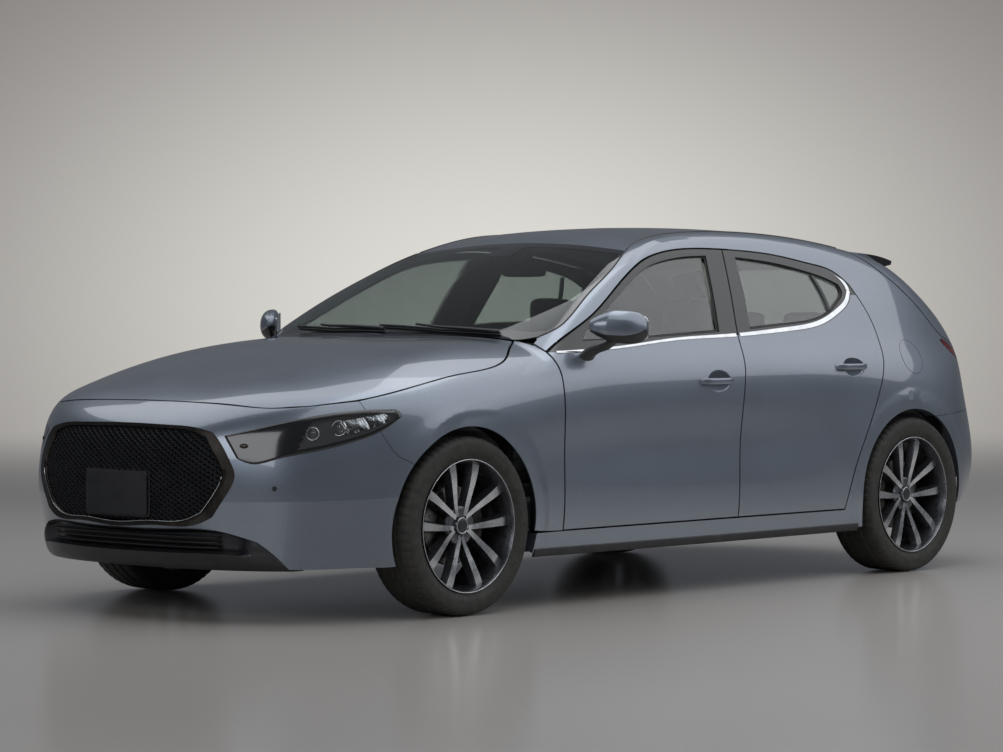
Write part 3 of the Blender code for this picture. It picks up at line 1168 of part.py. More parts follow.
def build_running_gear():
    place(box("engine", (-0.30, F - 0.36, 0.25), (0.30, F + 0.22, 0.78)), "cast_iron")
    subframe = box("front_subframe", (-0.46, F - 0.20, 0.205), (0.46, F + 0.24, 0.235))
    for x in (-0.22, 0.22):
        combine(subframe, temporary(box("engine_mount", (x - 0.04, F - 0.05, 0.23), (x + 0.04, F + 0.05, 0.25 - SEAT_GAP))), "UNION")
    beam_z = 0.285
    axle = cylinder("rear_axle", (-0.62, R - 0.04, beam_z), (0.62, R - 0.04, beam_z), 0.035, 12)
    hub_x = TRACK / 2 - 0.012 - SEAT_GAP
    for label, side in (("left", 1), ("right", -1)):
        combine(subframe, sided_box("rail_post", side, (0.39, F + 0.17, 0.23), (0.45, F + 0.23, 0.42 - SEAT_GAP)), "UNION")
        combine(subframe, sided_box("rail_post", side, (0.39, F - 0.19, 0.23), (0.45, F - 0.13, 0.42 - SEAT_GAP)), "UNION")
        combine(subframe, sided_box("lower_arm", side, (0.45, F - 0.02, 0.208), (KINGPIN_X + 0.015, F + 0.02, 0.232)), "UNION")
        knuckle = box(f"knuckle_{label}", (min(side * 0.705, side * 0.750), F - 0.045, 0.232 + SEAT_GAP),
                      (max(side * 0.705, side * 0.750), F + 0.045, 0.45))
        stub = cylinder("stub", (side * 0.72, F, TYRE_RADIUS), (side * hub_x, F, TYRE_RADIUS), 0.032, 16)
        combine(knuckle, temporary(stub), "UNION")
        place(knuckle, "cast_iron")
        hinge_at(knuckle, (side * KINGPIN_X, F, TYRE_RADIUS))
        strut = cylinder(f"front_strut_{label}", (side * 0.605, F, 0.44), (side * 0.575, F, 0.690), 0.026, 12)
        spring = cylinder("spring", (side * 0.588, F, 0.58), (side * 0.577, F, 0.675), 0.050, 12)
        combine(strut, temporary(spring), "UNION")
        bracket = sided_box("bracket", side, (0.60, F - 0.02, 0.45 + SEAT_GAP), (KINGPIN_X + 0.015, F + 0.02, 0.475))
        combine(strut, bracket, "UNION")
        top = sided_box("top_mount", side, (0.535, F - 0.015, 0.672), (0.615, F + 0.015, TYRE_RADIUS + LINER_RADIUS - 0.0024))
        combine(strut, top, "UNION")
        place(strut, "black_plastic")
        combine(axle, sided_box("trailing_arm", side, (0.60, R - 0.43 + SEAT_GAP, 0.26), (0.66, R + 0.04, 0.31)), "UNION")
        combine(axle, temporary(cylinder("stub", (side * 0.62, R, TYRE_RADIUS), (side * hub_x, R, TYRE_RADIUS), 0.032, 12)), "UNION")
        spring = cylinder("spring", (side * 0.43, R - 0.04, beam_z), (side * 0.43, R - 0.04, 0.42 - SEAT_GAP), 0.045, 12)
        combine(axle, temporary(spring), "UNION")
    place(subframe, "black_plastic")
    place(axle, "black_plastic")


def build_mirror(label, side):
    """Door mirror: a swept cap on a foot that stands on the door below the window."""
    inner = np.array([0.880, F + 0.720, 1.030])
    outer = np.array([1.010, F + 0.800, 1.040])
    rows = []
    for t, scale in ((0.0, 0.55), (0.12, 0.85), (0.40, 1.0), (0.75, 0.92), (0.93, 0.68), (1.0, 0.35)):
        angle = np.linspace(0, 2 * math.pi, 12, endpoint=False)
        flat = np.sign(np.cos(angle)) * np.abs(np.cos(angle)) ** 0.75 * 0.055 * scale
        tall = np.sign(np.sin(angle)) * np.abs(np.sin(angle)) ** 0.75 * 0.062 * scale
        middle = inner + (outer - inner) * t
        rows.append(np.stack([np.full(12, middle[0]) + flat * 0.45, middle[1] + flat, middle[2] + tall], axis=-1))
    rows = np.array(rows) * (side, 1, 1)
    faces = [list(range(12)), [len(rows) * 12 - 1 - i for i in range(12)]]
    for k in range(len(rows) - 1):
        for j in range(12):
            a = 12 * k + j
            b = 12 * k + (j + 1) % 12
            faces.append([a, b, b + 12, a + 12])
    cap = closed_mesh(f"mirror_{label}", rows.reshape(-1, 3), faces)
    seat = on_side([(F + 0.700, 0.930)])[0]
    out = normals(seat[None])[0]
    flip = np.array([side, 1, 1])
    knee = seat + out * 0.040
    post = cylinder("post", (seat - out * 0.0005) * flip, knee * flip, 0.022, 12)
    arm = cylinder("arm", (seat + out * 0.022) * flip, (side * 0.915, F + 0.745, 1.010), 0.019, 12)
    combine(cap, temporary(post), "UNION")
    combine(cap, temporary(arm), "UNION")
    return place(cap, "paint")


clear_scene()
for LABEL, SIDE in (("left", 1), ("right", -1)):
    build_body_side(LABEL, SIDE)
    build_doors(LABEL, SIDE)
    build_wing(LABEL, SIDE)
    build_lamps(LABEL, SIDE)
    build_wheel(f"front_{LABEL}", (SIDE * TRACK / 2, FRONT_AXLE_Y, TYRE_RADIUS), SIDE)
    build_wheel(f"rear_{LABEL}", (SIDE * TRACK / 2, REAR_AXLE_Y, TYRE_RADIUS), SIDE)
    build_mirror(LABEL, SIDE)
build_shell()
build_top()
build_front()
build_rear()
build_cabin()
build_running_gear()
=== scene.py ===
"""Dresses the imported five-door hatchback: paint, glass, lamps, wheels, trim and cabin, in its own frame.

Metres, +Z up. The front faces -Y and +X is the car's left side. The painted panels are laid on one body
surface, worked out from spline nets, and are cut along the shut lines of the model.
"""

import json
import math

import bmesh
import bpy
import numpy as np
from mathutils import Matrix, Vector


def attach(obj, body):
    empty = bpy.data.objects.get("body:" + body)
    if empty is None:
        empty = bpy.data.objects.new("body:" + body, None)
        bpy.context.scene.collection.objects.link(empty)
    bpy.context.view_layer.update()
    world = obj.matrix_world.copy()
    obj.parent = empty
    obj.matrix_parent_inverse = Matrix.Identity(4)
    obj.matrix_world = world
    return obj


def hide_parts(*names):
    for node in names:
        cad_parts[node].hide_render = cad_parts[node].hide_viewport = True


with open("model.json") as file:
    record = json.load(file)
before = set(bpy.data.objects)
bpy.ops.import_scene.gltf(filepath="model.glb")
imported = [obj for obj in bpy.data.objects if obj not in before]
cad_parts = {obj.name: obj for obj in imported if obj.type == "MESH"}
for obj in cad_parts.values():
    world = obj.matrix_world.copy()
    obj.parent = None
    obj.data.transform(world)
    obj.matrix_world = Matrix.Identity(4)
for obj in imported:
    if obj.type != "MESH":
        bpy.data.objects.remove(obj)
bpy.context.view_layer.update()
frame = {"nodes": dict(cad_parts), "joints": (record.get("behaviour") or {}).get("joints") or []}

JOINTS = {joint["name"]: joint for joint in frame["joints"]}
F = JOINTS["front_wheel_left_spin"]["pos_m"][1]
R = JOINTS["rear_wheel_left_spin"]["pos_m"][1]
TRACK_HALF = JOINTS["front_wheel_left_spin"]["pos_m"][0]
AXLE_Z = JOINTS["front_wheel_left_spin"]["pos_m"][2]
HALF_WIDTH = 0.8975
BODY_HEIGHT = 1.440
FLOOR_Z = 0.175
SHUT_GAP = 0.0065
SEAM_GAP = 0.0020
CREASE_DEPTH = 0.020
FLARE_LIFT = 0.005
SEAT_GAP = 0.0004
GATE_PIN_X = 0.200
GATE_PIN_RADIUS = 0.0036
ARCH_RADIUS = 0.360
SPOKE_PAIRS = 5
NUT_CIRCLE = 0.0515
NUT_WELL_RADIUS = 0.0125
CAP_RADIUS = 0.0262
TRACK_SEAT = 0.370

# Side surface: how far it lies inside the half width, a row for each height, along the stations SIDE_Y
SIDE_Y = [F - 0.74, F - 0.39, F, F + 0.53, F + 1.21, R - 0.865, R - 0.315, R, R + 0.385, R + 0.735]
SIDE_Z = [0.17, 0.28, 0.42, 0.58, 0.72, 0.82, 0.90, 0.97, 1.10, 1.25, 1.40]
SIDE_INSET = [
    [.1175, .0625, .0475, .0455, .0425, .0405, .0375, .0425, .0775, .1975],
    [.0975, .0355, .0175, .0255, .0255, .0225, .0145, .0125, .0475, .1675],
    [.0975, .0295, .0055, .0155, .0175, .0155, .0045, .0005, .0355, .1475],
    [.1125, .0315, .0005, .0175, .0235, .0205, .0055, .0005, .0355, .1475],
    [.1325, .0425, .0045, .0135, .0195, .0175, .0095, .0075, .0455, .1525],
    [.1575, .0675, .0255, .0215, .0215, .0195, .0155, .0195, .0655, .1725],
    [.1975, .1075, .0625, .0455, .0395, .0355, .0355, .0455, .0975, .2025],
    [.2475, .1575, .1075, .0855, .0755, .0715, .0715, .0825, .1355, .2425],
    [.3175, .2275, .1775, .1495, .1375, .1325, .1315, .1425, .1925, .2975],
    [.3975, .3075, .2575, .2325, .2175, .2075, .2055, .2155, .2655, .3675],
    [.4975, .3975, .3475, .3225, .3025, .2895, .2855, .2955, .3455, .4475],
]
# Bonnet and roof surfaces: heights, and drops below the top of the car
TOP_X = [0.0, 0.25, 0.50, 0.70, 0.88]
BONNET_Y = [F - 0.89, F - 0.74, F - 0.49, F - 0.14, F + 0.21, F + 0.51]
BONNET_Z = [
    [0.690, 0.788, 0.872, 0.947, 0.995, 1.018],
    [0.685, 0.783, 0.869, 0.945, 0.992, 1.012],
    [0.650, 0.756, 0.851, 0.934, 0.982, 1.000],
    [0.560, 0.682, 0.800, 0.895, 0.945, 0.965],
    [0.440, 0.580, 0.715, 0.810, 0.860, 0.885],
]
ROOF_Y = [F + 0.36, F + 0.71, F + 1.06, F + 1.36, F + 1.71, R - 0.615, R - 0.215, R + 0.135, R + 0.385]
ROOF_DROP = [
    [.465, .290, .138, .043, .001, .003, .038, .095, .145],
    [.478, .300, .146, .049, .006, .008, .043, .100, .150],
    [.508, .324, .166, .064, .021, .023, .058, .116, .168],
    [.555, .355, .194, .090, .048, .052, .088, .148, .200],
    [.635, .425, .260, .147, .104, .110, .148, .210, .262],
]
# Nose and tail surfaces: how far they reach ahead of the front axle and behind the rear one
NOSE_X = [0.0, 0.30, 0.55, 0.72, 0.85]
NOSE_Z = [0.17, 0.25, 0.35, 0.48, 0.62, 0.74, 0.90]
NOSE_REACH = [
    [.830, .895, .905, .915, .905, .870, .770],
    [.812, .877, .886, .895, .883, .845, .740],
    [.725, .790, .795, .800, .783, .740, .630],
    [.580, .640, .640, .635, .605, .555, .450],
    [.390, .440, .435, .415, .380, .325, .220],
]
TAIL_X = [0.0, 0.30, 0.55, 0.72, 0.85]
TAIL_Z = [0.20, 0.33, 0.50, 0.62, 0.78, 0.92, 1.00, 1.10, 1.22, 1.34]
TAIL_REACH = [
    [.675, .780, .813, .785, .740, .720, .685, .585, .415, .225],
    [.663, .767, .800, .773, .727, .707, .671, .570, .400, .210],
    [.615, .715, .747, .720, .675, .650, .613, .510, .340, .150],
    [.530, .625, .660, .630, .583, .555, .515, .410, .240, .050],
    [.395, .485, .520, .490, .445, .415, .375, .275, .100, -.090],
]
# Blends between the surfaces
NOSE_BLEND = 0.16
TAIL_BLEND = 0.14
TOP_BLEND = 0.09
SCREEN_BLEND = 0.02
FLOOR_BLEND = 0.05


def spline_weights(knots, t):
    """Weights of the natural cubic spline through the knots, carried on straight past its ends."""
    knots = np.asarray(knots, float)
    t = np.asarray(t, float)
    n = len(knots)
    step = np.diff(knots)
    bend = np.zeros((n, n))
    bend[0, 0] = bend[-1, -1] = 1.0
    pull = np.zeros((n, n))
    for i in range(1, n - 1):
        bend[i, i - 1:i + 2] = step[i - 1], 2 * (step[i - 1] + step[i]), step[i]
        pull[i, i - 1] += 6 / step[i - 1]
        pull[i, i] -= 6 / step[i - 1] + 6 / step[i]
        pull[i, i + 1] += 6 / step[i]
    second = np.linalg.solve(bend, pull)
    inside = np.clip(t, knots[0], knots[-1])
    k = np.clip(np.searchsorted(knots, inside) - 1, 0, n - 2)
    h = step[k]
    b = (inside - knots[k]) / h
    a = 1 - b
    eye = np.eye(n)
    weights = a[:, None] * eye[k] + b[:, None] * eye[k + 1]
    curve = (a ** 3 - a)[:, None] * second[k] + (b ** 3 - b)[:, None] * second[k + 1]
    weights += curve * (h ** 2)[:, None] / 6
    first_slope = (eye[1] - eye[0]) / step[0] - step[0] * second[1] / 6
    last_slope = (eye[-1] - eye[-2]) / step[-1] + step[-1] * second[-2] / 6
    weights += np.minimum(t - knots[0], 0)[:, None] * first_slope
    weights += np.maximum(t - knots[-1], 0)[:, None] * last_slope
    return weights


def net(us, vs, values, u, v):
    """Spline surface whose value at (us[i], vs[j]) is values[i][j]."""
    return np.einsum("pi,ij,pj->p", spline_weights(us, u), np.asarray(values, float), spline_weights(vs, v))


def blend_max(a, b, radius):
    """The larger of two distances, rounded where they are within the radius of each other."""
    h = np.maximum(radius - np.abs(a - b), 0.0) / radius
    return np.maximum(a, b) + h ** 3 * radius / 6


def flare(y, z, inset):
    """Band round each wheel arch, up to 5 mm proud of the side where the side lies further in."""
    lift = np.zeros_like(y)
    for axle_y in (F, R):
        lift = np.maximum(lift, 1 - ease(np.hypot(y - axle_y, z - AXLE_Z), 0.398, 0.452))
    return np.clip(inset - 0.004, 0, FLARE_LIFT) * lift


def crease(x, z):
    """Hollow of up to 20 mm in the nose, below a line that falls from the grille to the wheel arch."""
    line = np.interp(x, [0.36, 0.45, 0.56, 0.656, 0.720, 0.770, 0.800],
                     [0.345, 0.354, 0.360, 0.349, 0.327, 0.292, 0.225])
    drop = line - z
    start = ease(x, 0.36, 0.60)
    end = 1 - ease(x, 0.64, 0.84)
    return CREASE_DEPTH * ease(drop, -0.030, 0.050) * (1 - ease(drop, 0.05, 0.17)) * start * end


def body(points):
    """Signed distance-like value of the body surface: below zero inside the car."""
    flat = np.asarray(points, float).reshape(-1, 3)
    x = np.sqrt(flat[:, 0] ** 2 + 1e-6)
    y = flat[:, 1]
    z = flat[:, 2]
    inset = net(SIDE_Y, SIDE_Z, np.array(SIDE_INSET).T, y, z)
    side = x - HALF_WIDTH + inset - flare(y, z, inset)
    bonnet = net(TOP_X, BONNET_Y, BONNET_Z, x, y)
    roof = BODY_HEIGHT - net(TOP_X, ROOF_Y, ROOF_DROP, x, y)
    top = z - blend_max(bonnet, roof, SCREEN_BLEND)
    nose = F - net(NOSE_X, NOSE_Z, NOSE_REACH, x, z) - y
    tail = y - R - net(TAIL_X, TAIL_Z, TAIL_REACH, x, z)
    value = blend_max(side, nose, NOSE_BLEND) + crease(x, z) * (y < F)
    value = blend_max(value, tail, TAIL_BLEND)
    value = blend_max(value, top, TOP_BLEND)
    value = blend_max(value, FLOOR_Z - z, FLOOR_BLEND)
    return value.reshape(np.shape(points)[:-1])


def slope(points):
    """Gradient of the body value, by central differences."""
    points = np.asarray(points, float)
    step = 0.0005
    parts = []
    for axis in np.eye(3) * step:
        parts.append((body(points + axis) - body(points - axis)) / (2 * step))
    return np.stack(parts, axis=-1)


def normals(points):
    """Outward unit normals of the body surface."""
    g = slope(points)
    return g / np.linalg.norm(g, axis=-1, keepdims=True)


def snap(points):
    """Moves points that lie near the body surface onto it, along its slope."""
    points = np.array(points, float)
    for _ in range(8):
        g = slope(points)
        points -= g * (body(points) / np.sum(g * g, axis=-1))[..., None]
    return points


def cast(origins, direction):
    """Where rays from inside the car leave the body surface, by halving."""
    origins = np.asarray(origins, float)
    direction = np.asarray(direction, float)
    near = np.zeros(origins.shape[:-1])
    far = np.full(origins.shape[:-1], 2.6)
    for _ in range(32):
        middle = (near + far) / 2
        inside = body(origins + direction * middle[..., None]) < 0
        near = np.where(inside, middle, near)
        far = np.where(inside, far, middle)
    return origins + direction * near[..., None]


def on_side(yz):
    """Points of the left side at given (y, z)."""
    yz = np.asarray(yz, float)
    start = np.concatenate([np.full(yz.shape[:-1] + (1,), 0.30), yz], axis=-1)
    return cast(start, (1, 0, 0))


def on_top(xy):
    """Points of the bonnet, screen or roof at given (x, y)."""
    xy = np.asarray(xy, float)
    start = np.concatenate([xy, np.full(xy.shape[:-1] + (1,), 0.50)], axis=-1)
    return cast(start, (0, 0, 1))


def on_nose(xz):
    """Points of the front at given (x, z)."""
    xz = np.asarray(xz, float)
    start = np.stack([xz[..., 0], np.full(xz.shape[:-1], F), xz[..., 1]], axis=-1)
    return cast(start, (0, -1, 0))


def on_tail(xz):
    """Points of the rear at given (x, z)."""
    xz = np.asarray(xz, float)
    start = np.stack([xz[..., 0], np.full(xz.shape[:-1], R - 0.6), xz[..., 1]], axis=-1)
    return cast(start, (0, 1, 0))


def resample(points, count):
    """Evenly spaced points on the smooth curve through the given ones."""
    points = np.asarray(points, float)
    chord = np.concatenate([[0], np.cumsum(np.linalg.norm(np.diff(points, axis=0), axis=1))])
    fine = spline_weights(chord, np.linspace(0, chord[-1], 16 * count)) @ points
    length = np.concatenate([[0], np.cumsum(np.linalg.norm(np.diff(fine, axis=0), axis=1))])
    even = np.linspace(0, length[-1], count)
    return np.stack([np.interp(even, length, fine[:, k]) for k in range(points.shape[1])], axis=-1)


def coons(bottom, right, top, left):
    """Fills four edges: bottom and top run left to right, left and right run upwards."""
    n = len(bottom)
    m = len(left)
    u = np.linspace(0, 1, n)[:, None, None]
    v = np.linspace(0, 1, m)[None, :, None]
    ruled_u = (1 - u) * left[None] + u * right[None]
    ruled_v = (1 - v) * bottom[:, None] + v * top[:, None]
    corners = (1 - u) * (1 - v) * bottom[0] + u * (1 - v) * bottom[-1]
    corners = corners + (1 - u) * v * top[0] + u * v * top[-1]
    return ruled_u + ruled_v - corners


def loop_of(bottom, right, top, left):
    """Closed loop round the four edges of a patch, each corner once."""
    return np.concatenate([bottom[:-1], right[:-1], top[::-1][:-1], left[::-1][:-1]])


def shrink(loop, gap):
    """Moves every point of a closed flat loop inwards by the gap; a negative gap moves it outwards."""
    before = loop - np.roll(loop, 1, axis=0)
    after = np.roll(loop, -1, axis=0) - loop
    before /= np.linalg.norm(before, axis=1, keepdims=True)
    after /= np.linalg.norm(after, axis=1, keepdims=True)
    turn_before = np.stack([-before[:, 1], before[:, 0]], axis=-1)
    turn_after = np.stack([-after[:, 1], after[:, 0]], axis=-1)
    mitre = (turn_before + turn_after) / (1 + np.sum(turn_before * turn_after, axis=1))[:, None]
    area = np.sum(loop[:, 0] * np.roll(loop[:, 1], -1) - loop[:, 1] * np.roll(loop[:, 0], -1))
    return loop + mitre * gap * math.copysign(1, area)


def shrink_sides(sides, gap):
    """The four edges of a flat patch, moved inwards by the gap."""
    bottom, right, top, left = sides
    loop = shrink(loop_of(*sides), gap)
    n = len(bottom) - 1
    m = len(left) - 1
    turned = np.concatenate([loop, loop[:1]])
    return (turned[:n + 1], turned[n:n + m + 1], turned[n + m:2 * n + m + 1][::-1], turned[2 * n + m:][::-1])


def edges(bottom, right, top, left, n, m):
    """Four edges resampled to n points across and m points up."""
    return resample(bottom, n), resample(right, m), resample(top, n), resample(left, m)


# Outlines in the side view, as (y, z); the stations hang on the two axles
DOOR_FOOT_Z = 0.283
SHUT_A = [(F + 0.525, DOOR_FOOT_Z), (F + 0.525, 0.945)]
SHUT_B = [(R - 1.160, DOOR_FOOT_Z), (R - 1.157, 0.450), (R - 1.145, 0.620), (R - 1.123, 0.800),
          (R - 1.103, 0.910), (R - 1.083, 0.998), (R - 1.022, 1.196), (R - 0.972, 1.345)]
SHUT_C = [(R - 0.470, DOOR_FOOT_Z), (R - 0.407, 0.459), (R - 0.315, 0.620), (R - 0.230, 0.780),
          (R - 0.170, 0.920), (R - 0.153, 1.020), (R - 0.170, 1.100), (R - 0.200, 1.165), (R - 0.222, 1.205)]
FRAME_TOP_FRONT = [(F + 0.525, 0.945), (F + 0.566, 0.968), (F + 0.818, 1.083), (F + 0.977, 1.167),
                   (F + 1.123, 1.243), (F + 1.264, 1.302), (F + 1.411, 1.334), (F + 1.571, 1.346),
                   (R - 0.972, 1.345)]
FRAME_TOP_REAR = [(R - 0.972, 1.345), (R - 0.644, 1.324), (R - 0.412, 1.288), (R - 0.285, 1.254),
                  (R - 0.222, 1.205)]
GLASS_FRONT = ([(F + 0.710, 0.985), (F + 1.224, 1.000), (R - 1.190, 1.014)],
               [(R - 1.190, 1.014), (R - 1.142, 1.165), (R - 1.090, 1.318)],
               [(F + 0.750, 1.022), (F + 0.964, 1.135), (F + 1.120, 1.215), (F + 1.250, 1.270),
                (F + 1.387, 1.300), (F + 1.500, 1.313), (R - 1.090, 1.318)],
               [(F + 0.710, 0.985), (F + 0.750, 1.022)])
GLASS_REAR = ([(R - 0.990, 1.024), (R - 0.754, 1.040), (R - 0.515, 1.066), (R - 0.395, 1.105),
               (R - 0.315, 1.150)],
              [(R - 0.315, 1.150), (R - 0.290, 1.178), (R - 0.297, 1.207)],
              [(R - 0.910, 1.314), (R - 0.667, 1.292), (R - 0.465, 1.256), (R - 0.345, 1.225),
               (R - 0.297, 1.207)],
              [(R - 0.990, 1.024), (R - 0.950, 1.165), (R - 0.910, 1.314)])
SILL_Z = 0.205
FRONT_HANDLE = (R - 1.302, 0.823)
REAR_HANDLE = (R - 0.420, 0.868)

# Seams seen from above, as (x, y)
BONNET_FRONT = [(0.0, F - 0.760), (0.22, F - 0.757), (0.42, F - 0.742), (0.56, F - 0.697), (0.67, F - 0.590)]
BONNET_SIDE = [(0.67, F - 0.590), (0.748, F - 0.461), (0.795, F - 0.330), (0.814, F - 0.172),
               (0.815, F + 0.008), (0.783, F + 0.304), (0.713, F + 0.404), (0.645, F + 0.500)]
BONNET_REAR = [(0.0, F + 0.405), (0.30, F + 0.422), (0.548, F + 0.478), (0.645, F + 0.500)]
SCREEN_BASE = [(0.0, F + 0.416), (0.30, F + 0.433), (0.55, F + 0.488), (0.66, F + 0.520), (0.716, F + 0.570)]
SCREEN_SIDE = [(0.716, F + 0.570), (0.738, F + 0.640), (0.732, F + 0.720), (0.694, F + 0.860),
               (0.636, F + 1.078), (0.569, F + 1.233)]
SCREEN_TOP = [(0.0, F + 1.262), (0.30, F + 1.252), (0.569, F + 1.233)]
ROOF_SIDE = [(0.569, F + 1.240), (0.530, F + 1.340), (0.519, F + 1.570), (0.532, R - 0.955),
             (0.548, R - 0.500), (0.585, R - 0.165)]
GATE_TOP_Y = R - 0.120
# Seams given in space, laid on the body surface afterwards
WING_FRONT = [(0.875, F - 0.250, 0.450), (0.875, F - 0.281, 0.560), (0.861, F - 0.329, 0.583),
              (0.846, F - 0.358, 0.617), (0.824, F - 0.389, 0.673), (0.783, F - 0.426, 0.753),
              (0.762, F - 0.434, 0.782)]
QUARTER_REAR = [(0.740, R + 0.490, 0.210), (0.740, R + 0.575, 0.450), (0.720, R + 0.590, 0.692),
                (0.712, R + 0.560, 0.850), (0.715, R + 0.520, 0.920), (0.752, R + 0.390, 0.985),
                (0.737, R + 0.300, 1.063), (0.691, R + 0.125, 1.214), (0.655, R + 0.005, 1.290),
                (0.600, R - 0.120, 1.360)]

LAMP_TOP = [(0.480, F - 0.820, 0.664), (0.545, F - 0.770, 0.682), (0.642, F - 0.666, 0.713),
            (0.699, F - 0.585, 0.731), (0.761, F - 0.474, 0.747), (0.832, F - 0.325, 0.751)]
LAMP_FOOT = [(0.530, F - 0.805, 0.585), (0.580, F - 0.774, 0.566), (0.631, F - 0.724, 0.580),
             (0.720, F - 0.606, 0.609), (0.780, F - 0.493, 0.638), (0.827, F - 0.375, 0.682),
             (0.846, F - 0.305, 0.727)]
LAMP_AXIS = np.array([math.sin(math.radians(28)), -math.cos(math.radians(28)), 0.0])

TAIL_LAMP_FOOT = [(0.726, R + 0.530, 0.880), (0.748, R + 0.500, 0.882), (0.766, R + 0.466, 0.888)]
TAIL_LAMP_END = [(0.766, R + 0.466, 0.888), (0.781, R + 0.410, 0.925), (0.777, R + 0.355, 0.970)]
TAIL_LAMP_TOP = [(0.764, R + 0.382, 0.978), (0.771, R + 0.368, 0.976), (0.777, R + 0.355, 0.970)]
TAIL_LAMP_SEAM = [(0.726, R + 0.530, 0.880), (0.732, R + 0.500, 0.922), (0.748, R + 0.443, 0.953),
                  (0.764, R + 0.382, 0.978)]
TAIL_LAMP_AXIS = np.array([math.sin(math.radians(50)), math.cos(math.radians(50)), 0.0])
GATE_LAMP = ([(0.400, 0.905), (0.550, 0.893), (0.688, 0.886)],
             [(0.688, 0.886), (0.692, 0.920), (0.686, 0.953)],
             [(0.400, 0.948), (0.550, 0.957), (0.686, 0.953)],
             [(0.400, 0.905), (0.384, 0.926), (0.400, 0.948)])

GRILLE_FRAME = ([(0.0, 0.332), (0.20, 0.343), (0.38, 0.352), (0.440, 0.378)],
                [(0.440, 0.378), (0.498, 0.455), (0.526, 0.530), (0.508, 0.575), (0.484, 0.616),
                 (0.456, 0.652), (0.432, 0.674)],
                [(0.0, 0.700), (0.25, 0.696), (0.36, 0.689), (0.432, 0.674)])
GRILLE_MESH = ([(0.0, 0.350), (0.18, 0.360), (0.340, 0.371), (0.395, 0.395)],
               [(0.395, 0.395), (0.452, 0.468), (0.476, 0.538), (0.442, 0.600), (0.405, 0.655)],
               [(0.0, 0.687), (0.24, 0.683), (0.34, 0.676), (0.405, 0.655)])
LIP = ([(0.0, 0.187), (0.40, 0.187), (0.655, 0.187)],
       [(0.655, 0.187), (0.625, 0.235), (0.575, 0.290)],
       [(0.0, 0.325), (0.30, 0.331), (0.48, 0.322), (0.575, 0.290)])

REAR_GLASS = ([(0.0, 1.010), (0.35, 1.015), (0.560, 1.030)],
              [(0.560, 1.030), (0.565, 1.080), (0.515, 1.235), (0.490, 1.265)],
              [(0.0, 1.285), (0.30, 1.280), (0.490, 1.265)])

def ease(value, low, high):
    """0 below low, 1 above high, smooth between."""
    t = np.clip((value - low) / (high - low), 0, 1)
    return t * t * (3 - 2 * t)


def gate_pivot():
    """Tailgate hinge axis: level with the skin over the pins, just ahead of the tailgate's edge."""
    skin_z = on_top([[GATE_PIN_X, GATE_TOP_Y]])[0][2]
    return np.array([0.0, GATE_TOP_Y + SHUT_GAP - SEAM_GAP / 2 - GATE_PIN_RADIUS - SEAT_GAP, skin_z])


def inset_grid(grid, gap):
    """Moves the rim points of a grid on the surface inwards by the gap."""
    grid = grid.copy()
    n, m = grid.shape[:2]
    rim = [(i, 0) for i in range(n - 1)] + [(n - 1, j) for j in range(m - 1)]
    rim += [(i, m - 1) for i in range(n - 1, 0, -1)] + [(0, j) for j in range(m - 1, 0, -1)]
    loop = np.array([grid[i, j] for i, j in rim])
    up = normals(loop)
    before = loop - np.roll(loop, 1, axis=0)
    after = np.roll(loop, -1, axis=0) - loop
    before /= np.linalg.norm(before, axis=1, keepdims=True)
    after /= np.linalg.norm(after, axis=1, keepdims=True)
    turn_before = np.cross(up, before)
    turn_after = np.cross(up, after)
    mitre = (turn_before + turn_after) / (1 + np.sum(turn_before * turn_after, axis=1))[:, None]
    middle = grid[n // 2, m // 2]
    inward = np.sign(np.sum(mitre * (middle - loop)))
    loop = loop + mitre * gap * inward
    for (i, j), point in zip(rim, loop):
        grid[i, j] = point
    return grid


# Surfaces and outlines of the panels, from the mid-line outwards


def mirrored(half):
    """Left and right halves of a line that starts on the middle plane."""
    half = np.asarray(half, float)
    flip = np.ones(half.shape[1])
    flip[0] = -1
    return np.concatenate([half[::-1][:-1] * flip, half])


def door_sides(bottom, right, top, left, gap, n=44, m=40):
    return shrink_sides(edges(bottom, right, top, left, n, m), gap)


def front_door_sides(gap=SHUT_GAP / 2, n=44, m=40):
    return door_sides([SHUT_A[0], SHUT_B[0]], SHUT_B, FRAME_TOP_FRONT, SHUT_A, gap, n, m)


def rear_door_sides(gap=SHUT_GAP / 2, n=44, m=40):
    return door_sides([SHUT_B[0], SHUT_C[0]], SHUT_C, FRAME_TOP_REAR, SHUT_B, gap, n, m)


def glass_sides(sides, gap=0.0, n=36, m=28):
    return shrink_sides(edges(*sides, n, m), gap)


def screen_edge(count=36):
    """Left edge of the windscreen, from its foot to the roof."""
    return on_top(resample(SCREEN_SIDE, count))


def rail_edge(count=60):
    """Seam between the roof panel and the left rail, from the windscreen back."""
    return on_top(resample([SCREEN_SIDE[-1]] + ROOF_SIDE[1:] + [(0.600, GATE_TOP_Y)], count))


def gate_edge(count=48):
    """Left seam of the tailgate, from the bumper up to the roof."""
    edge = snap(resample(QUARTER_REAR[2:], count))
    edge[-1] = rail_edge()[-1]
    return edge


def wing_edge(count=26):
    """Left seam between the bumper and the wing, from the arch up to the bonnet."""
    return snap(resample(WING_FRONT, count))


def bumper_top(count=81):
    """Top edge of the rear bumper, from right to left."""
    half = [(0.0, R + 0.765, 0.692), (0.30, R + 0.752, 0.692), (0.52, R + 0.700, 0.688),
            (0.720, R + 0.590, 0.682), (0.860, R + 0.370, 0.662), (0.885, R + 0.150, 0.650)]
    return snap(resample(mirrored(half), count))


def nose_sides(half, gap=0.0, n=61, m=24):
    bottom, right, top = half
    left = np.array(right) * (-1, 1)
    return shrink_sides(edges(mirrored(bottom), right, mirrored(top), left, n, m), gap)


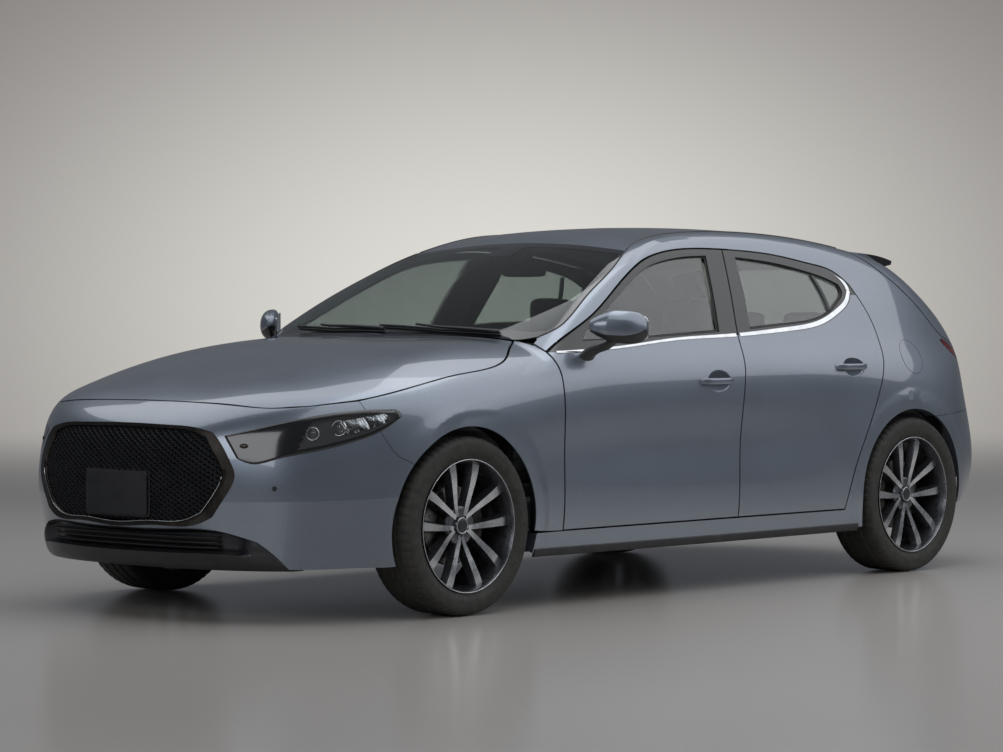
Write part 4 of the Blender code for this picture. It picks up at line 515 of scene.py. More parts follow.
def lamp_sides(n=40, m=12):
    """Four edges of the left headlamp's lens: foot, outer end, top and inner end."""
    foot = resample(LAMP_FOOT, n)
    top = resample(LAMP_TOP, n)
    outer_end = resample([LAMP_FOOT[-1], (0.842, F - 0.310, 0.742), LAMP_TOP[-1]], m)
    inner_end = resample([LAMP_FOOT[0], LAMP_TOP[0]], m)
    return [snap(side) for side in (foot, outer_end, top, inner_end)]


def tail_lamp_sides(n=12, m=16):
    ends = (TAIL_LAMP_FOOT, TAIL_LAMP_END, TAIL_LAMP_TOP, TAIL_LAMP_SEAM)
    return [snap(resample(line, count)) for line, count in zip(ends, (n, m, n, m))]


# Meshes


def mesh_object(name, vertices, faces, smooth=True):
    """Mesh object at the origin from an array of points and a list of faces."""
    mesh = bpy.data.meshes.new(name)
    mesh.from_pydata(np.asarray(vertices, float).tolist(), [], [list(map(int, f)) for f in faces])
    mesh.validate()
    if smooth:
        mesh.shade_smooth()
    obj = bpy.data.objects.new(name, mesh)
    bpy.context.scene.collection.objects.link(obj)
    return obj


def turned_out(obj):
    """Faces of a closed mesh turned outwards."""
    work = bmesh.new()
    work.from_mesh(obj.data)
    bmesh.ops.recalc_face_normals(work, faces=work.faces)
    if work.calc_volume(signed=True) < 0:
        bmesh.ops.reverse_faces(work, faces=work.faces)
    work.to_mesh(obj.data)
    work.free()
    return obj


def grid_faces(n, m, wrap_u=False, wrap_v=False):
    """Quads of an n by m grid of points, joined round in u or v where asked."""
    number = np.arange(n * m).reshape(n, m)
    if wrap_u:
        number = np.concatenate([number, number[:1]])
    if wrap_v:
        number = np.concatenate([number, number[:, :1]], axis=1)
    return np.stack([number[:-1, :-1], number[1:, :-1], number[1:, 1:], number[:-1, 1:]],
                    axis=-1).reshape(-1, 4)


def slab(name, outer, inner):
    """Closed solid between two grids of the same size: both skins and the wall round the rim."""
    n, m = outer.shape[:2]
    number = np.arange(n * m).reshape(n, m)
    quads = grid_faces(n, m)
    rim = np.concatenate([number[:-1, 0], number[-1, :-1], number[1:, -1][::-1], number[0, 1:][::-1]])
    after = np.roll(rim, -1)
    walls = np.stack([rim, after, after + n * m, rim + n * m], axis=-1)
    faces = np.concatenate([quads, quads[:, ::-1] + n * m, walls[:, ::-1]])
    return turned_out(mesh_object(name, np.concatenate([outer.reshape(-1, 3), inner.reshape(-1, 3)]), faces))


def loft(name, rows, closed=True, caps=True):
    """Skin over a row of sections; each section is a closed ring, and the ends are capped."""
    rows = np.asarray(rows, float)
    n, m = rows.shape[:2]
    faces = [list(f) for f in grid_faces(n, m, wrap_v=closed)]
    if caps:
        faces += [list(range(m)), list(range(n * m - 1, n * m - m - 1, -1))]
    return turned_out(mesh_object(name, rows.reshape(-1, 3), faces))


def prism(loop, near, far):
    """Cutter: a flat loop of points carried from near to far."""
    n = len(loop)
    faces = [list(range(n)), list(range(2 * n - 1, n - 1, -1))]
    faces += [[i, (i + 1) % n, n + (i + 1) % n, n + i] for i in range(n)]
    return turned_out(mesh_object("cutter", np.concatenate([loop + near, loop + far]), faces))


def side_prism(yz):
    loop = np.concatenate([np.zeros((len(yz), 1)), yz], axis=1)
    return prism(loop, np.array([0.30, 0, 0]), np.array([1.20, 0, 0]))


def nose_prism(xz, near, far):
    loop = np.stack([xz[:, 0], np.zeros(len(xz)), xz[:, 1]], axis=-1)
    return prism(loop, np.array([0, near, 0]), np.array([0, far, 0]))


def lamp_prism(sides, axis, side=1):
    """Cutter along a lamp's axis, a seam wider than the lamp all round."""
    loop = loop_of(*sides)
    across = np.array([axis[1], -axis[0], 0.0])
    flat = shrink(np.stack([loop @ across, loop[:, 2]], axis=-1), -SEAM_GAP / 2)
    spread = (flat[:, :1] * across + flat[:, 1:] * np.array([0, 0, 1.0])) * (side, 1, 1)
    return prism(spread, axis * 1.2 * (side, 1, 1), axis * 2.6 * (side, 1, 1))


def arch_prism(axle_y, side=1):
    turn = np.linspace(0, 2 * math.pi, 120, endpoint=False)
    loop = np.stack([0 * turn, axle_y + ARCH_RADIUS * np.cos(turn), AXLE_Z + ARCH_RADIUS * np.sin(turn)],
                    axis=-1)
    return prism(loop, np.array([side * 0.40, 0, 0]), np.array([side * 1.20, 0, 0]))


def cut(obj, *cutters):
    """Takes the cutters out of a closed mesh, one after another."""
    for cutter in cutters:
        modifier = obj.modifiers.new("cut", "BOOLEAN")
        modifier.operation = "DIFFERENCE"
        modifier.solver = "EXACT"
        modifier.object = cutter
        mesh = bpy.data.meshes.new_from_object(obj.evaluated_get(bpy.context.evaluated_depsgraph_get()))
        obj.modifiers.clear()
        mesh.name = obj.name
        obj.data = mesh
        bpy.data.objects.remove(cutter)
    return obj


def arrays(mesh):
    """Vertex places, and each face's normal, centre, first corner and corner count."""
    places = np.empty(len(mesh.vertices) * 3)
    mesh.vertices.foreach_get("co", places)
    faces = {}
    for key, width in (("normal", 3), ("center", 3), ("loop_start", 1), ("loop_total", 1)):
        value = np.empty(len(mesh.polygons) * width, float if width == 3 else np.int32)
        mesh.polygons.foreach_get(key, value)
        faces[key] = value.reshape(-1, width) if width == 3 else value
    corners = np.empty(len(mesh.loops), np.int32)
    mesh.loops.foreach_get("vertex_index", corners)
    return places.reshape(-1, 3), faces, corners


def dress_normals(obj):
    """Faces that lie along the body take the body surface's own normals, so that a panel reflects evenly.

    A corner's normal is the surface's slope at that point; on rims and cut walls the face stays flat.
    """
    mesh = obj.data
    places, faces, corners = arrays(mesh)
    up = normals(places)
    face_up = normals(faces["center"])
    on_skin = np.abs(body(faces["center"])) < 0.0012
    facing = np.sum(face_up * faces["normal"], axis=1)
    owner = np.repeat(np.arange(len(mesh.polygons)), faces["loop_total"])
    result = faces["normal"][owner]
    outside = ((facing > 0.72) & on_skin)[owner]
    inside = (facing < -0.72)[owner]
    result[outside] = up[corners[outside]]
    result[inside] = -up[corners[inside]]
    mesh.normals_split_custom_set(result.tolist())
    return obj


def mirror_copy(obj, name):
    """The same piece on the car's right side: its points mirrored in X and its faces turned back."""
    mesh = obj.data.copy()
    mesh.name = name
    mesh.transform(Matrix.Scale(-1, 4, (1, 0, 0)))
    mesh.flip_normals()
    twin = bpy.data.objects.new(name, mesh)
    bpy.context.scene.collection.objects.link(twin)
    return twin


def give(obj, material, rides, replaces=()):
    """Last step of a piece: its finish, the body that carries it and the model solids that it stands for."""
    if not isinstance(material, (list, tuple)):
        material = [material]
    index = np.zeros(len(obj.data.polygons), np.int32)
    obj.data.polygons.foreach_get("material_index", index)
    obj.data.materials.clear()
    for one in material:
        obj.data.materials.append(one)
    if len(material) > 1:
        choose(obj, index)
    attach(obj, rides)
    if replaces:
        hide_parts(*replaces)
    return obj


def choose(obj, index):
    """Sets each face's material by an array of indices."""
    obj.data.polygons.foreach_set("material_index", np.asarray(index, np.int32))
    obj.data.update()


# Materials


def linear(hexed):
    """sRGB hex colour as linear red, green, blue and a full alpha."""
    parts = np.array([int(hexed[i:i + 2], 16) for i in (1, 3, 5)]) / 255
    low = parts / 12.92
    high = ((parts + 0.055) / 1.055) ** 2.4
    return (*np.where(parts <= 0.04045, low, high).tolist(), 1.0)


def node(tree, kind, settings=(), **inputs):
    """Adds a node with its settings; an input takes a value, or an output socket to link from."""
    made = tree.nodes.new(kind)
    for key, value in dict(settings).items():
        setattr(made, key, value)
    for key, value in inputs.items():
        socket = made.inputs[int(key[1:])] if key[1:].isdigit() else made.inputs[key.replace("_", " ")]
        if isinstance(value, bpy.types.NodeSocket):
            tree.links.new(value, socket)
        else:
            socket.default_value = value
    return made


def material(name, **sockets):
    """New material with its shader's constants set; returns it with its tree and shader."""
    made = bpy.data.materials.new(name)
    made.use_nodes = True
    tree = made.node_tree
    shader = tree.nodes["Principled BSDF"]
    for key, value in sockets.items():
        shader.inputs[key.replace("_", " ")].default_value = value
    return made, tree, shader


def spot(tree, scale=(1, 1, 1)):
    """Object coordinates, scaled."""
    place = node(tree, "ShaderNodeTexCoord")
    return node(tree, "ShaderNodeMapping", i0=place.outputs["Object"], Scale=scale).outputs[0]


def noise(tree, millimetres, detail=2.0, roughness=0.5, stretch=(1, 1, 1)):
    """Noise whose blotches are about so many millimetres across."""
    return node(tree, "ShaderNodeTexNoise", Vector=spot(tree, stretch), Scale=1000 / millimetres,
                Detail=detail,
                Roughness=roughness).outputs[0]


def shift(tree, value, low, high):
    """Spreads a value of 0.3 to 0.7, where noise mostly lies, over low to high."""
    return node(tree, "ShaderNodeMapRange", i0=value, i1=0.3, i2=0.7, i3=low, i4=high).outputs[0]


def tint(tree, fac, dark, light):
    """Colour between two hex values."""
    made = node(tree, "ShaderNodeMix", {"data_type": "RGBA"}, i0=fac, i6=linear(dark), i7=linear(light))
    return made.outputs[2]


def bump(tree, shader, height, depth_mm, strength=1.0):
    made = node(tree, "ShaderNodeBump", Strength=strength, Distance=depth_mm / 1000, Height=height)
    tree.links.new(made.outputs[0], shader.inputs["Normal"])


def metallic_paint():
    """Base coat with aluminium flake under sprayed lacquer: a soft metal glow below a sharp reflection,
    a fine sparkle, and a faint orange peel about 8 mm across."""
    made, tree, shader = material("metallic_blue_grey_paint", Metallic=0.75, Coat_Weight=1.0,
                                  Coat_Roughness=0.035,
                                  Coat_IOR=1.5)
    flake = node(tree, "ShaderNodeTexVoronoi", Vector=spot(tree), Scale=1000 / 1.2)
    speck = node(tree, "ShaderNodeSeparateColor", i0=flake.outputs["Color"]).outputs[0]
    tree.links.new(tint(tree, speck, "#6a737f", "#78818c"), shader.inputs["Base Color"])
    tree.links.new(shift(tree, noise(tree, 240), 0.30, 0.36), shader.inputs["Roughness"])
    bump(tree, shader, noise(tree, 8, 1.0), 0.02, 0.25)
    return made


def smooth_plastic(name, dark, light, roughness, grain_mm=1.6, depth_mm=0.05, coat=0.0):
    """Injection-moulded plastic: even colour with a slight drift, and a spark-eroded grain."""
    made, tree, shader = material(name, Coat_Weight=coat, Coat_Roughness=0.05)
    drift = shift(tree, noise(tree, 60, 3), 0, 1)
    tree.links.new(tint(tree, drift, dark, light), shader.inputs["Base Color"])
    tree.links.new(shift(tree, noise(tree, 35), roughness * 0.88, roughness * 1.12),
                   shader.inputs["Roughness"])
    bump(tree, shader, noise(tree, grain_mm, 3), depth_mm, 0.5)
    return made


def worked_metal(name, dark, light, roughness, grain_mm=0.8, metallic=1.0, depth_mm=0.02):
    """Metal surface with a drift of tone and roughness: cast, lacquered, machined or plated by its values."""
    made, tree, shader = material(name, Metallic=metallic)
    drift = shift(tree, noise(tree, 45, 3), 0, 1)
    tree.links.new(tint(tree, drift, dark, light), shader.inputs["Base Color"])
    tree.links.new(shift(tree, noise(tree, 18), roughness * 0.8, roughness * 1.25),
                   shader.inputs["Roughness"])
    bump(tree, shader, noise(tree, grain_mm, 2), depth_mm, 0.4)
    return made


def brake_disc_iron():
    """Cast iron swept by the pads: grey with a drift of tone and a fine scratched grain."""
    made, tree, shader = material("swept_cast_iron", Metallic=1.0)
    drift = noise(tree, 14, 4)
    tree.links.new(tint(tree, shift(tree, drift, 0, 1), "#5c5a57", "#8f8e8c"), shader.inputs["Base Color"])
    tree.links.new(shift(tree, noise(tree, 3), 0.30, 0.48), shader.inputs["Roughness"])
    bump(tree, shader, noise(tree, 1.2, 2), 0.05, 0.4)
    return made


def tyre_rubber():
    """Carbon-black rubber, vulcanised in a mould: dark warm grey, matt, a little dust in the hollows."""
    made, tree, shader = material("moulded_tyre_rubber", Specular_IOR_Level=0.4)
    dust = shift(tree, noise(tree, 30, 5, 0.6), 0, 1)
    tree.links.new(tint(tree, dust, "#232322", "#34332f"), shader.inputs["Base Color"])
    tree.links.new(shift(tree, noise(tree, 12, 3), 0.62, 0.80), shader.inputs["Roughness"])
    bump(tree, shader, noise(tree, 1.5, 3), 0.08, 0.5)
    return made


def see_through(name, hexed, roughness=0.0, ior=1.46):
    """Polished clear pane: it mirrors the room at a slant and lets the lamps through in its own tint."""
    made, tree, shader = material(name, Base_Color=linear(hexed), Roughness=roughness, IOR=ior,
                                  Transmission_Weight=1.0)
    wave = noise(tree, 260, 1.0)
    bump(tree, shader, wave, 0.25, 0.15)
    path = node(tree, "ShaderNodeLightPath")
    clear = node(tree, "ShaderNodeBsdfTransparent", Color=linear(hexed))
    mixed = node(tree, "ShaderNodeMixShader", i0=path.outputs["Is Shadow Ray"], i1=shader.outputs[0],
                 i2=clear.outputs[0])
    tree.links.new(mixed.outputs[0], tree.nodes["Material Output"].inputs["Surface"])
    return made


def woven_carpet():
    """Needle-felt carpet: black-grey fibres 2 mm across, no shine."""
    made, tree, shader = material("needled_felt_carpet", Roughness=0.95, Sheen_Weight=0.3)
    pile = noise(tree, 2.2, 4, 0.7)
    tree.links.new(tint(tree, shift(tree, pile, 0, 1), "#1c1c1e", "#37373a"), shader.inputs["Base Color"])
    bump(tree, shader, pile, 0.9, 0.8)
    return made


def grained_leather(name="grained_black_leather", dark="#1d1c1d", light="#2c2a2a"):
    """Corrected-grain hide: pebbles about 2.5 mm across, with the creases between them painted darker as
    painted shade.
    """
    made, tree, shader = material(name)
    cells = node(tree, "ShaderNodeTexVoronoi", {"feature": "DISTANCE_TO_EDGE"}, Vector=spot(tree),
                 Scale=1000 / 2.6)
    grain = node(tree, "ShaderNodeMapRange", i0=cells.outputs["Distance"], i1=0.0, i2=0.22, i3=0.0,
                 i4=1.0).outputs[0]
    # Colour follows the grain: dark in the creases, which is painted shade, and lighter on the pebbles
    tree.links.new(tint(tree, grain, dark, light), shader.inputs["Base Color"])
    tree.links.new(shift(tree, noise(tree, 40, 2), 0.42, 0.56), shader.inputs["Roughness"])
    bump(tree, shader, grain, 0.25, 0.6)
    return made


# A blue-grey that glows softly in the metal and mirrors the room sharply in the lacquer
PAINT = metallic_paint()
# Nearly black, with a wet reflection
GLOSS_BLACK = smooth_plastic("gloss_black_film", "#0d0d0f", "#131315", 0.12, 90, 0.02, 0.6)
# Dark frames round the panes, with a soft broad sheen
WINDOW_FRAME = smooth_plastic("charcoal_frame_film", "#111213", "#151617", 0.24, 60, 0.0, 0.2)
# Dark grey ribs that catch a dull light on their edges
NET_BLACK = smooth_plastic("satin_grey_net_plastic", "#323336", "#3c3d40", 0.28, 1.2, 0.03)
# Dull black with a spark-eroded grain, for unpainted trim
TRIM_BLACK = smooth_plastic("moulded_black_polypropylene", "#17181a", "#222326", 0.50)
# Black with a soft highlight, for small moulded fittings
SATIN_BLACK = smooth_plastic("satin_black_abs", "#15161a", "#1f2024", 0.34, 1.2, 0.03)
# Flat black lines in the gaps
RUBBER_SEAL = smooth_plastic("extruded_seal_rubber", "#141415", "#1c1c1d", 0.62, 2.0, 0.04)
# A bright clean line that mirrors light and dark alike
CHROME = worked_metal("plated_chrome", "#c9ccce", "#dcdee0", 0.10, 120, 1.0, 0.01)
# A dark warm metal with a satin highlight
GUNMETAL = worked_metal("satin_gunmetal_plating", "#35322f", "#423e3b", 0.34, 60, 1.0, 0.01)
# Mid-grey lacquered alloy, a little dull, for the flanks and wells of the rim: its dark tone is painted shade
# in these deeper, turned-away parts
SHADED_DARK_ALLOY = worked_metal("dark_lacquered_alloy", "#55565a", "#626367", 0.30, 1.0, 0.9)
# Pale faces of the spokes, turned on a lathe and then lacquered; the pale tone is partly that machined metal
# and partly a painted highlight on the outward faces
MACHINED_HIGHLIT_ALLOY = worked_metal("machined_alloy", "#a9abad", "#bcbec0", 0.22, 0.7)
# Plain pale steel with a fine drift of roughness
BRUSHED_STEEL = worked_metal("zinc_plated_steel", "#7d7f80", "#989a9b", 0.38, 1.0)
# Dark rough iron under a thin rust bloom
BARE_CASTING = worked_metal("sand_cast_iron", "#3b3936", "#56524d", 0.60, 3.0, 0.85, 0.4)
# Grey swept iron with a drift of tone and a fine scratched grain
DISC_IRON = brake_disc_iron()
# Matt dark warm grey with dust in the hollows
TYRE = tyre_rubber()
# Grey-green tint that darkens the cabin behind the windscreen
SCREEN_GLASS = see_through("laminated_screen_glass", "#8f9b97")
# Almost clear panes in the side doors
SIDE_GLASS = see_through("toughened_side_glass", "#f2f7f5")
# Smoke-grey pane in the tailgate
PRIVACY_GLASS = see_through("dark_rear_glass", "#6a7472")
# Clear cover with a hard edge of light
LENS = see_through("polycarbonate_lamp_lens", "#eef1f2", 0.0, 1.58)
# Strong red that the bright bowl behind lights up
RED_LENS = see_through("red_acrylic_lens", "#f0303a", 0.05, 1.49)
# An undimmed reflection
MIRROR = worked_metal("silvered_mirror_glass", "#d8dbdd", "#e2e4e6", 0.02, 400, 1.0, 0.001)
# Silver with a slight blur, lighting the lamp from inside
REFLECTOR = worked_metal("aluminised_reflector", "#b3b7bc", "#cdd0d4", 0.18, 5, 1.0, 0.05)
# Dark tufted floor with no highlight
CARPET = woven_carpet()
# Dark fine grain, softly shining on the swell of the pads
LEATHER = grained_leather()
# Dull dark skin with a fine moulded grain
VINYL = smooth_plastic("soft_moulded_vinyl", "#1b1c1f", "#28292c", 0.58, 2.2, 0.12)
# Pale flat cloth over the cabin
HEADLINING = smooth_plastic("knitted_headlining", "#8f8e8a", "#a5a49f", 0.9, 1.8, 0.2)


# Painted panels


def sharpened(obj, angle=35):
    obj.data.shade_smooth()
    obj.data.set_sharp_from_angle(angle=math.radians(angle))
    return obj


def panel(name, grid, gap, depth):
    """Panel whose outside is the grid laid on the body surface, kept back from its seams by the gap.

    The inside is the outside moved along the surface's normal by the depth, one value or one a point.
    """
    outer = snap(inset_grid(snap(grid), gap))
    return slab(name, outer, outer - normals(outer) * np.broadcast_to(depth, outer.shape[:2])[..., None])


def belt_height(y):
    """Height of the bright strip under the side windows."""
    return np.interp(y, [F + 0.556, F + 0.953, F + 1.232, F + 1.637, R - 0.746, R - 0.493, R - 0.354,
                         R - 0.247],
                     [0.944, 0.963, 0.986, 1.001, 1.022, 1.054, 1.102, 1.162])


def both_sides(obj, finish, body_left, replaced=(), inner=None):
    """Finishes the left-hand piece and its mirrored twin; names and bodies change from left to right."""
    if inner is not None:
        choose(obj, inner)
    twin = mirror_copy(obj, obj.name.replace("left", "right"))
    if obj.data.has_custom_normals:
        dress_normals(obj)
        dress_normals(twin)
    give(obj, finish, body_left, replaced)
    give(twin, finish, body_left.replace("left", "right"), [r.replace("left", "right") for r in replaced])
    return obj, twin


def face_centres(obj):
    centres = np.empty(len(obj.data.polygons) * 3)
    obj.data.polygons.foreach_get("center", centres)
    facing = np.empty(len(obj.data.polygons) * 3)
    obj.data.polygons.foreach_get("normal", facing)
    return centres.reshape(-1, 3), facing.reshape(-1, 3)


def deep_copy(node_name, name, depth):
    """The part of a model solid that lies deeper than this under the body surface: pillars and arms."""
    mesh = frame["nodes"][node_name].data.copy()
    work = bmesh.new()
    work.from_mesh(mesh)
    bmesh.ops.remove_doubles(work, verts=work.verts, dist=0.00001)
    work.verts.ensure_lookup_table()
    value = body(np.array([v.co for v in work.verts]))
    shallow = [f for f in work.faces if all(value[v.index] > -depth for v in f.verts)]
    bmesh.ops.delete(work, geom=shallow, context="FACES")
    mesh = bpy.data.meshes.new(name)
    work.to_mesh(mesh)
    work.free()
    obj = bpy.data.objects.new(name, mesh)
    bpy.context.scene.collection.objects.link(obj)
    return sharpened(obj, 30)


def body_side():
    """Screen pillar, roof rail, sill and rear quarter in one pressing, 45 mm deep, with its openings cut."""
    top = np.concatenate([on_top([(0.722, F + 0.530)]), screen_edge(), rail_edge()[1:]])
    n = len(top)
    bottom = on_side(resample([(F + 0.362, SILL_Z), (0.0, SILL_Z), (R, SILL_Z), (R + 0.49, SILL_Z)], n))
    gate = gate_edge()
    foot = snap(resample([bottom[-1], QUARTER_REAR[1], gate[0]], 14))
    rear = np.concatenate([foot[:-1], gate])
    rear[-1] = top[-1]
    front = np.concatenate([on_side(resample([(F + 0.362, SILL_Z), (F + 0.45, 0.94)], len(rear) - 1)),
                            top[:1]])
    obj = panel("body_side_skin_left", coons(bottom, rear, top, front), SEAM_GAP / 2, 0.045)
    ahead = np.array([(F + 0.20, 0.283 - SHUT_GAP / 2), (F + 0.527, 0.283 - SHUT_GAP / 2), (F + 0.527, 1.10),
                      (F + 0.20, 1.10)])
    seam = bumper_top()[-27:, 1:] + (0, SEAM_GAP / 2)
    below = np.concatenate([seam, [(R + 0.05, seam[-1, 1]), (R + 0.05, 0.10), (R + 0.80, 0.10),
                                   (R + 0.80, seam[0, 1])]])
    cut(obj, side_prism(loop_of(*front_door_sides(-SHUT_GAP / 2))),
        side_prism(loop_of(*rear_door_sides(-SHUT_GAP / 2))),
        side_prism(ahead), arch_prism(R), side_prism(below[::-1]),
        lamp_prism(tail_lamp_sides(), TAIL_LAMP_AXIS))
    dress_normals(obj)
    both_sides(obj, PAINT, "car", ["body_side_left"])
    pillars = deep_copy("body_side_left", "pillars_left", 0.0465)
    both_sides(pillars, PAINT, "car")


def door_leaf(name, sides, hole, rider):
    """Door: 90 mm deep below the belt, 28 mm in the window frame and 7 mm in the lips at its two ends.

    It is made twice and parted along the belt, so that the frame can be black above the painted leaf.
    """
    flat = coons(*sides)
    outer = on_side(flat)
    y = flat[..., 0]
    depth = 0.090 - 0.062 * ease(flat[..., 1], 0.90, 1.02)
    lip = np.maximum(1 - ease(y - y[:1], 0.082, 0.090), 1 - ease(y[-1:] - y, 0.024, 0.032))
    depth = depth + (0.007 - depth) * lip
    handle = FRONT_HANDLE if "front" in name else REAR_HANDLE
    span = np.linspace(y.min() - 0.05, y.max() + 0.05, 80)
    belt = np.stack([span, belt_height(span)], axis=-1)
    above = np.concatenate([belt, [(span[-1], 1.6), (span[0], 1.6)]])
    below = np.concatenate([belt, [(span[-1], 0.1), (span[0], 0.1)]])
    leaf = slab(name, outer, outer - np.stack([depth, 0 * depth, 0 * depth], axis=-1))
    cut(leaf, side_prism(above), cup_cutter(handle), side_prism(loop_of(*hole)))
    upper = slab(name.replace("leaf", "window_frame"), outer,
                 outer - np.stack([depth, 0 * depth, 0 * depth], axis=-1))
    cut(upper, side_prism(below), side_prism(loop_of(*hole)))
    centres, facing = face_centres(leaf)
    choose(leaf, (body(centres) < -0.004) & (facing[:, 0] < -0.5))
    dress_normals(leaf)
    dress_normals(upper)
    both_sides(leaf, [PAINT, VINYL], rider, [name.replace("_leaf", "")])
    both_sides(upper, WINDOW_FRAME, rider)


def cup_cutter(middle):
    """Hollow behind a pull handle: half an ellipsoid, 144 by 92 mm and 20 mm deep, set towards the rear."""
    y, z = middle
    y += 0.022
    skin_x = on_side([middle])[0][0]
    u = np.linspace(0, 2 * math.pi, 48, endpoint=False)
    v = np.linspace(0.02, math.pi - 0.02, 20)
    ring = np.sin(v)[:, None]
    rows = np.stack([skin_x + 0.020 * ring * np.cos(u), y + 0.072 * np.cos(v)[:, None] + 0 * u,
                     z + 0.046 * ring * np.sin(u)], axis=-1)
    return loft("cutter", rows)


def pull_handle(name, middle, rider):
    """Strap handle: a rounded bar that bows out over the cup and runs down into a post at each end.

    Along the bar t runs from -1 to 1; its reach is the skin plus 30 mm times (1 - t^6), its section a
    superellipse 24 mm tall and 12 mm thick.
    """
    y, z = middle
    t = np.linspace(-1, 1, 40)
    turn = np.linspace(0, 2 * math.pi, 20, endpoint=False)
    path_y = y + 0.099 * t
    skin = on_side(np.stack([path_y, np.full(40, z)], axis=-1))[:, 0]
    reach = skin - 0.004 + 0.033 * (1 - np.abs(t) ** 5)
    tall = 0.0120 * (1 - 0.25 * np.abs(t) ** 8)
    across = np.sign(np.cos(turn)) * np.abs(np.cos(turn)) ** 0.7
    rise = np.sign(np.sin(turn)) * np.abs(np.sin(turn)) ** 0.7
    rows = np.stack([reach[:, None] + 0.0058 * across, path_y[:, None] + 0 * turn, z + tall[:, None] * rise],
                    axis=-1)
    obj = sharpened(loft(name, rows), 50)
    both_sides(obj, PAINT, rider, ())


def side_pane(name, sides, rider, replaced, glass):
    """Door glass: a bent sheet 5 mm thick, 12 mm inside the skin."""
    outer = on_side(coons(*sides)) - (0.012, 0, 0)
    both_sides(slab(name, outer, outer - (0.005, 0, 0)), glass, rider, replaced)


def front_wing():
    bottom = on_side(resample([(F - 0.250, 0.450), (F + 0.10, 0.36), (F + 0.33, 0.295), (F + 0.525, 0.283)],
                              56))
    front = wing_edge(34)
    bottom[0] = front[0]
    shut = np.array(SHUT_A) - (SHUT_GAP / 2, 0)
    rear = np.concatenate([on_side(resample(shut, 30)),
                           on_top(resample([(0.735, F + 0.519), (0.645, F + 0.503)], 4))])
    top = on_top(resample([front[-1, :2]] + BONNET_SIDE[2:], 56))
    top[0] = front[-1]
    obj = panel("front_wing_skin_left", coons(bottom, rear, top, front), SEAM_GAP / 2, 0.005)
    cut(obj, arch_prism(F), lamp_prism(lamp_sides(), LAMP_AXIS))
    dress_normals(obj)
    both_sides(obj, PAINT, "car", ["front_wing_left"])


def bonnet():
    """Bonnet: 18 mm deep, thinned to 5 mm along its rear edge, with the model's own hinge arms."""
    front = on_top(resample(mirrored(BONNET_FRONT), 73))
    rear = on_top(resample(mirrored(BONNET_REAR), 73))
    left = on_top(resample(BONNET_SIDE, 48))
    grid = coons(front, left, rear, left * (-1, 1, 1))
    depth = np.full(grid.shape[:2], 0.018)
    depth[:, -5:] = np.linspace(0.018, 0.005, 5)
    obj = panel("bonnet_skin", grid, SHUT_GAP - 0.0004, depth)
    dress_normals(obj)
    give(obj, PAINT, "bonnet", ["bonnet"])
    give(deep_copy("bonnet", "bonnet_arms", 0.021), PAINT, "bonnet")


def top_of_body():
    """Windscreen with its black fired border, and the roof."""
    base = on_top(resample(mirrored(SCREEN_BASE), 73))
    head = on_top(resample(mirrored(SCREEN_TOP), 73))
    pillar = screen_edge()
    for edge, corner in ((base, pillar[0]), (head, pillar[-1])):
        edge[-1] = corner
        edge[0] = corner * (-1, 1, 1)
    screen = panel("windscreen_glass", coons(base, pillar, head, pillar * (-1, 1, 1)), 0.0006, 0.005)
    n, m = 73, len(pillar)
    i, j = np.meshgrid(np.arange(n - 1), np.arange(m - 1), indexing="ij")
    border = (i < 1) | (i > n - 3) | (j < 3) | (j > m - 4)
    pod = (np.abs(i - 35.5) < 4) & (j > m - 9)
    rim = 2 * (n - 1) + 2 * (m - 1)
    cells = (border | pod).reshape(-1)
    choose(screen, np.concatenate([cells, cells, np.ones(rim)]))
    dress_normals(screen)
    give(screen, [SCREEN_GLASS, GLOSS_BLACK], "car", ["windscreen"])
    rail = rail_edge()[:-1]
    corner = rail[-1]
    rear = on_top(resample([(-corner[0], GATE_TOP_Y - 0.010), (0.0, GATE_TOP_Y - 0.010),
                            (corner[0], GATE_TOP_Y - 0.010)], 73))
    rail = np.concatenate([rail[:-1], rear[-1:]])
    roof = panel("roof_skin", coons(head, rail, rear, rail * (-1, 1, 1)), SEAM_GAP / 2, 0.022)
    dress_normals(roof)
    choose(roof, (face_centres(roof)[1][:, 2] < -0.5))
    give(roof, [PAINT, HEADLINING], "car", ["roof_panel"])


def front_bumper():
    half_top = [(0.0, F - 0.760, 0.777), (0.22, F - 0.757, 0.775), (0.42, F - 0.742, 0.765),
                (0.56, F - 0.697, 0.760), (0.67, F - 0.590, 0.765), (0.762, F - 0.434, 0.782)]
    half_bottom = [(0.0, F - 0.880, 0.190), (0.30, F - 0.860, 0.190), (0.55, F - 0.760, 0.190),
                   (0.72, F - 0.600, 0.190), (0.81, F - 0.440, 0.195), (0.850, F - 0.270, 0.205)]
    top = resample(mirrored(half_top), 121)
    bottom = resample(mirrored(half_bottom), 121)
    right = np.concatenate([bottom[-1:], wing_edge(47)])
    top[-1] = right[-1]
    top[0] = top[-1] * (-1, 1, 1)
    obj = panel("front_bumper_skin", coons(bottom, right, top, right * (-1, 1, 1)), SEAM_GAP / 2, 0.012)
    cut(obj, nose_prism(loop_of(*nose_sides(GRILLE_FRAME, -SEAM_GAP / 2)), F - 1.1, F - 0.55),
        nose_prism(loop_of(*nose_sides(LIP, -SEAM_GAP / 2)), F - 1.1, F - 0.55), arch_prism(F),
        arch_prism(F, -1),
        lamp_prism(lamp_sides(), LAMP_AXIS), lamp_prism(lamp_sides(), LAMP_AXIS, -1))
    dress_normals(obj)
    give(obj, PAINT, "car", ["front_bumper"])


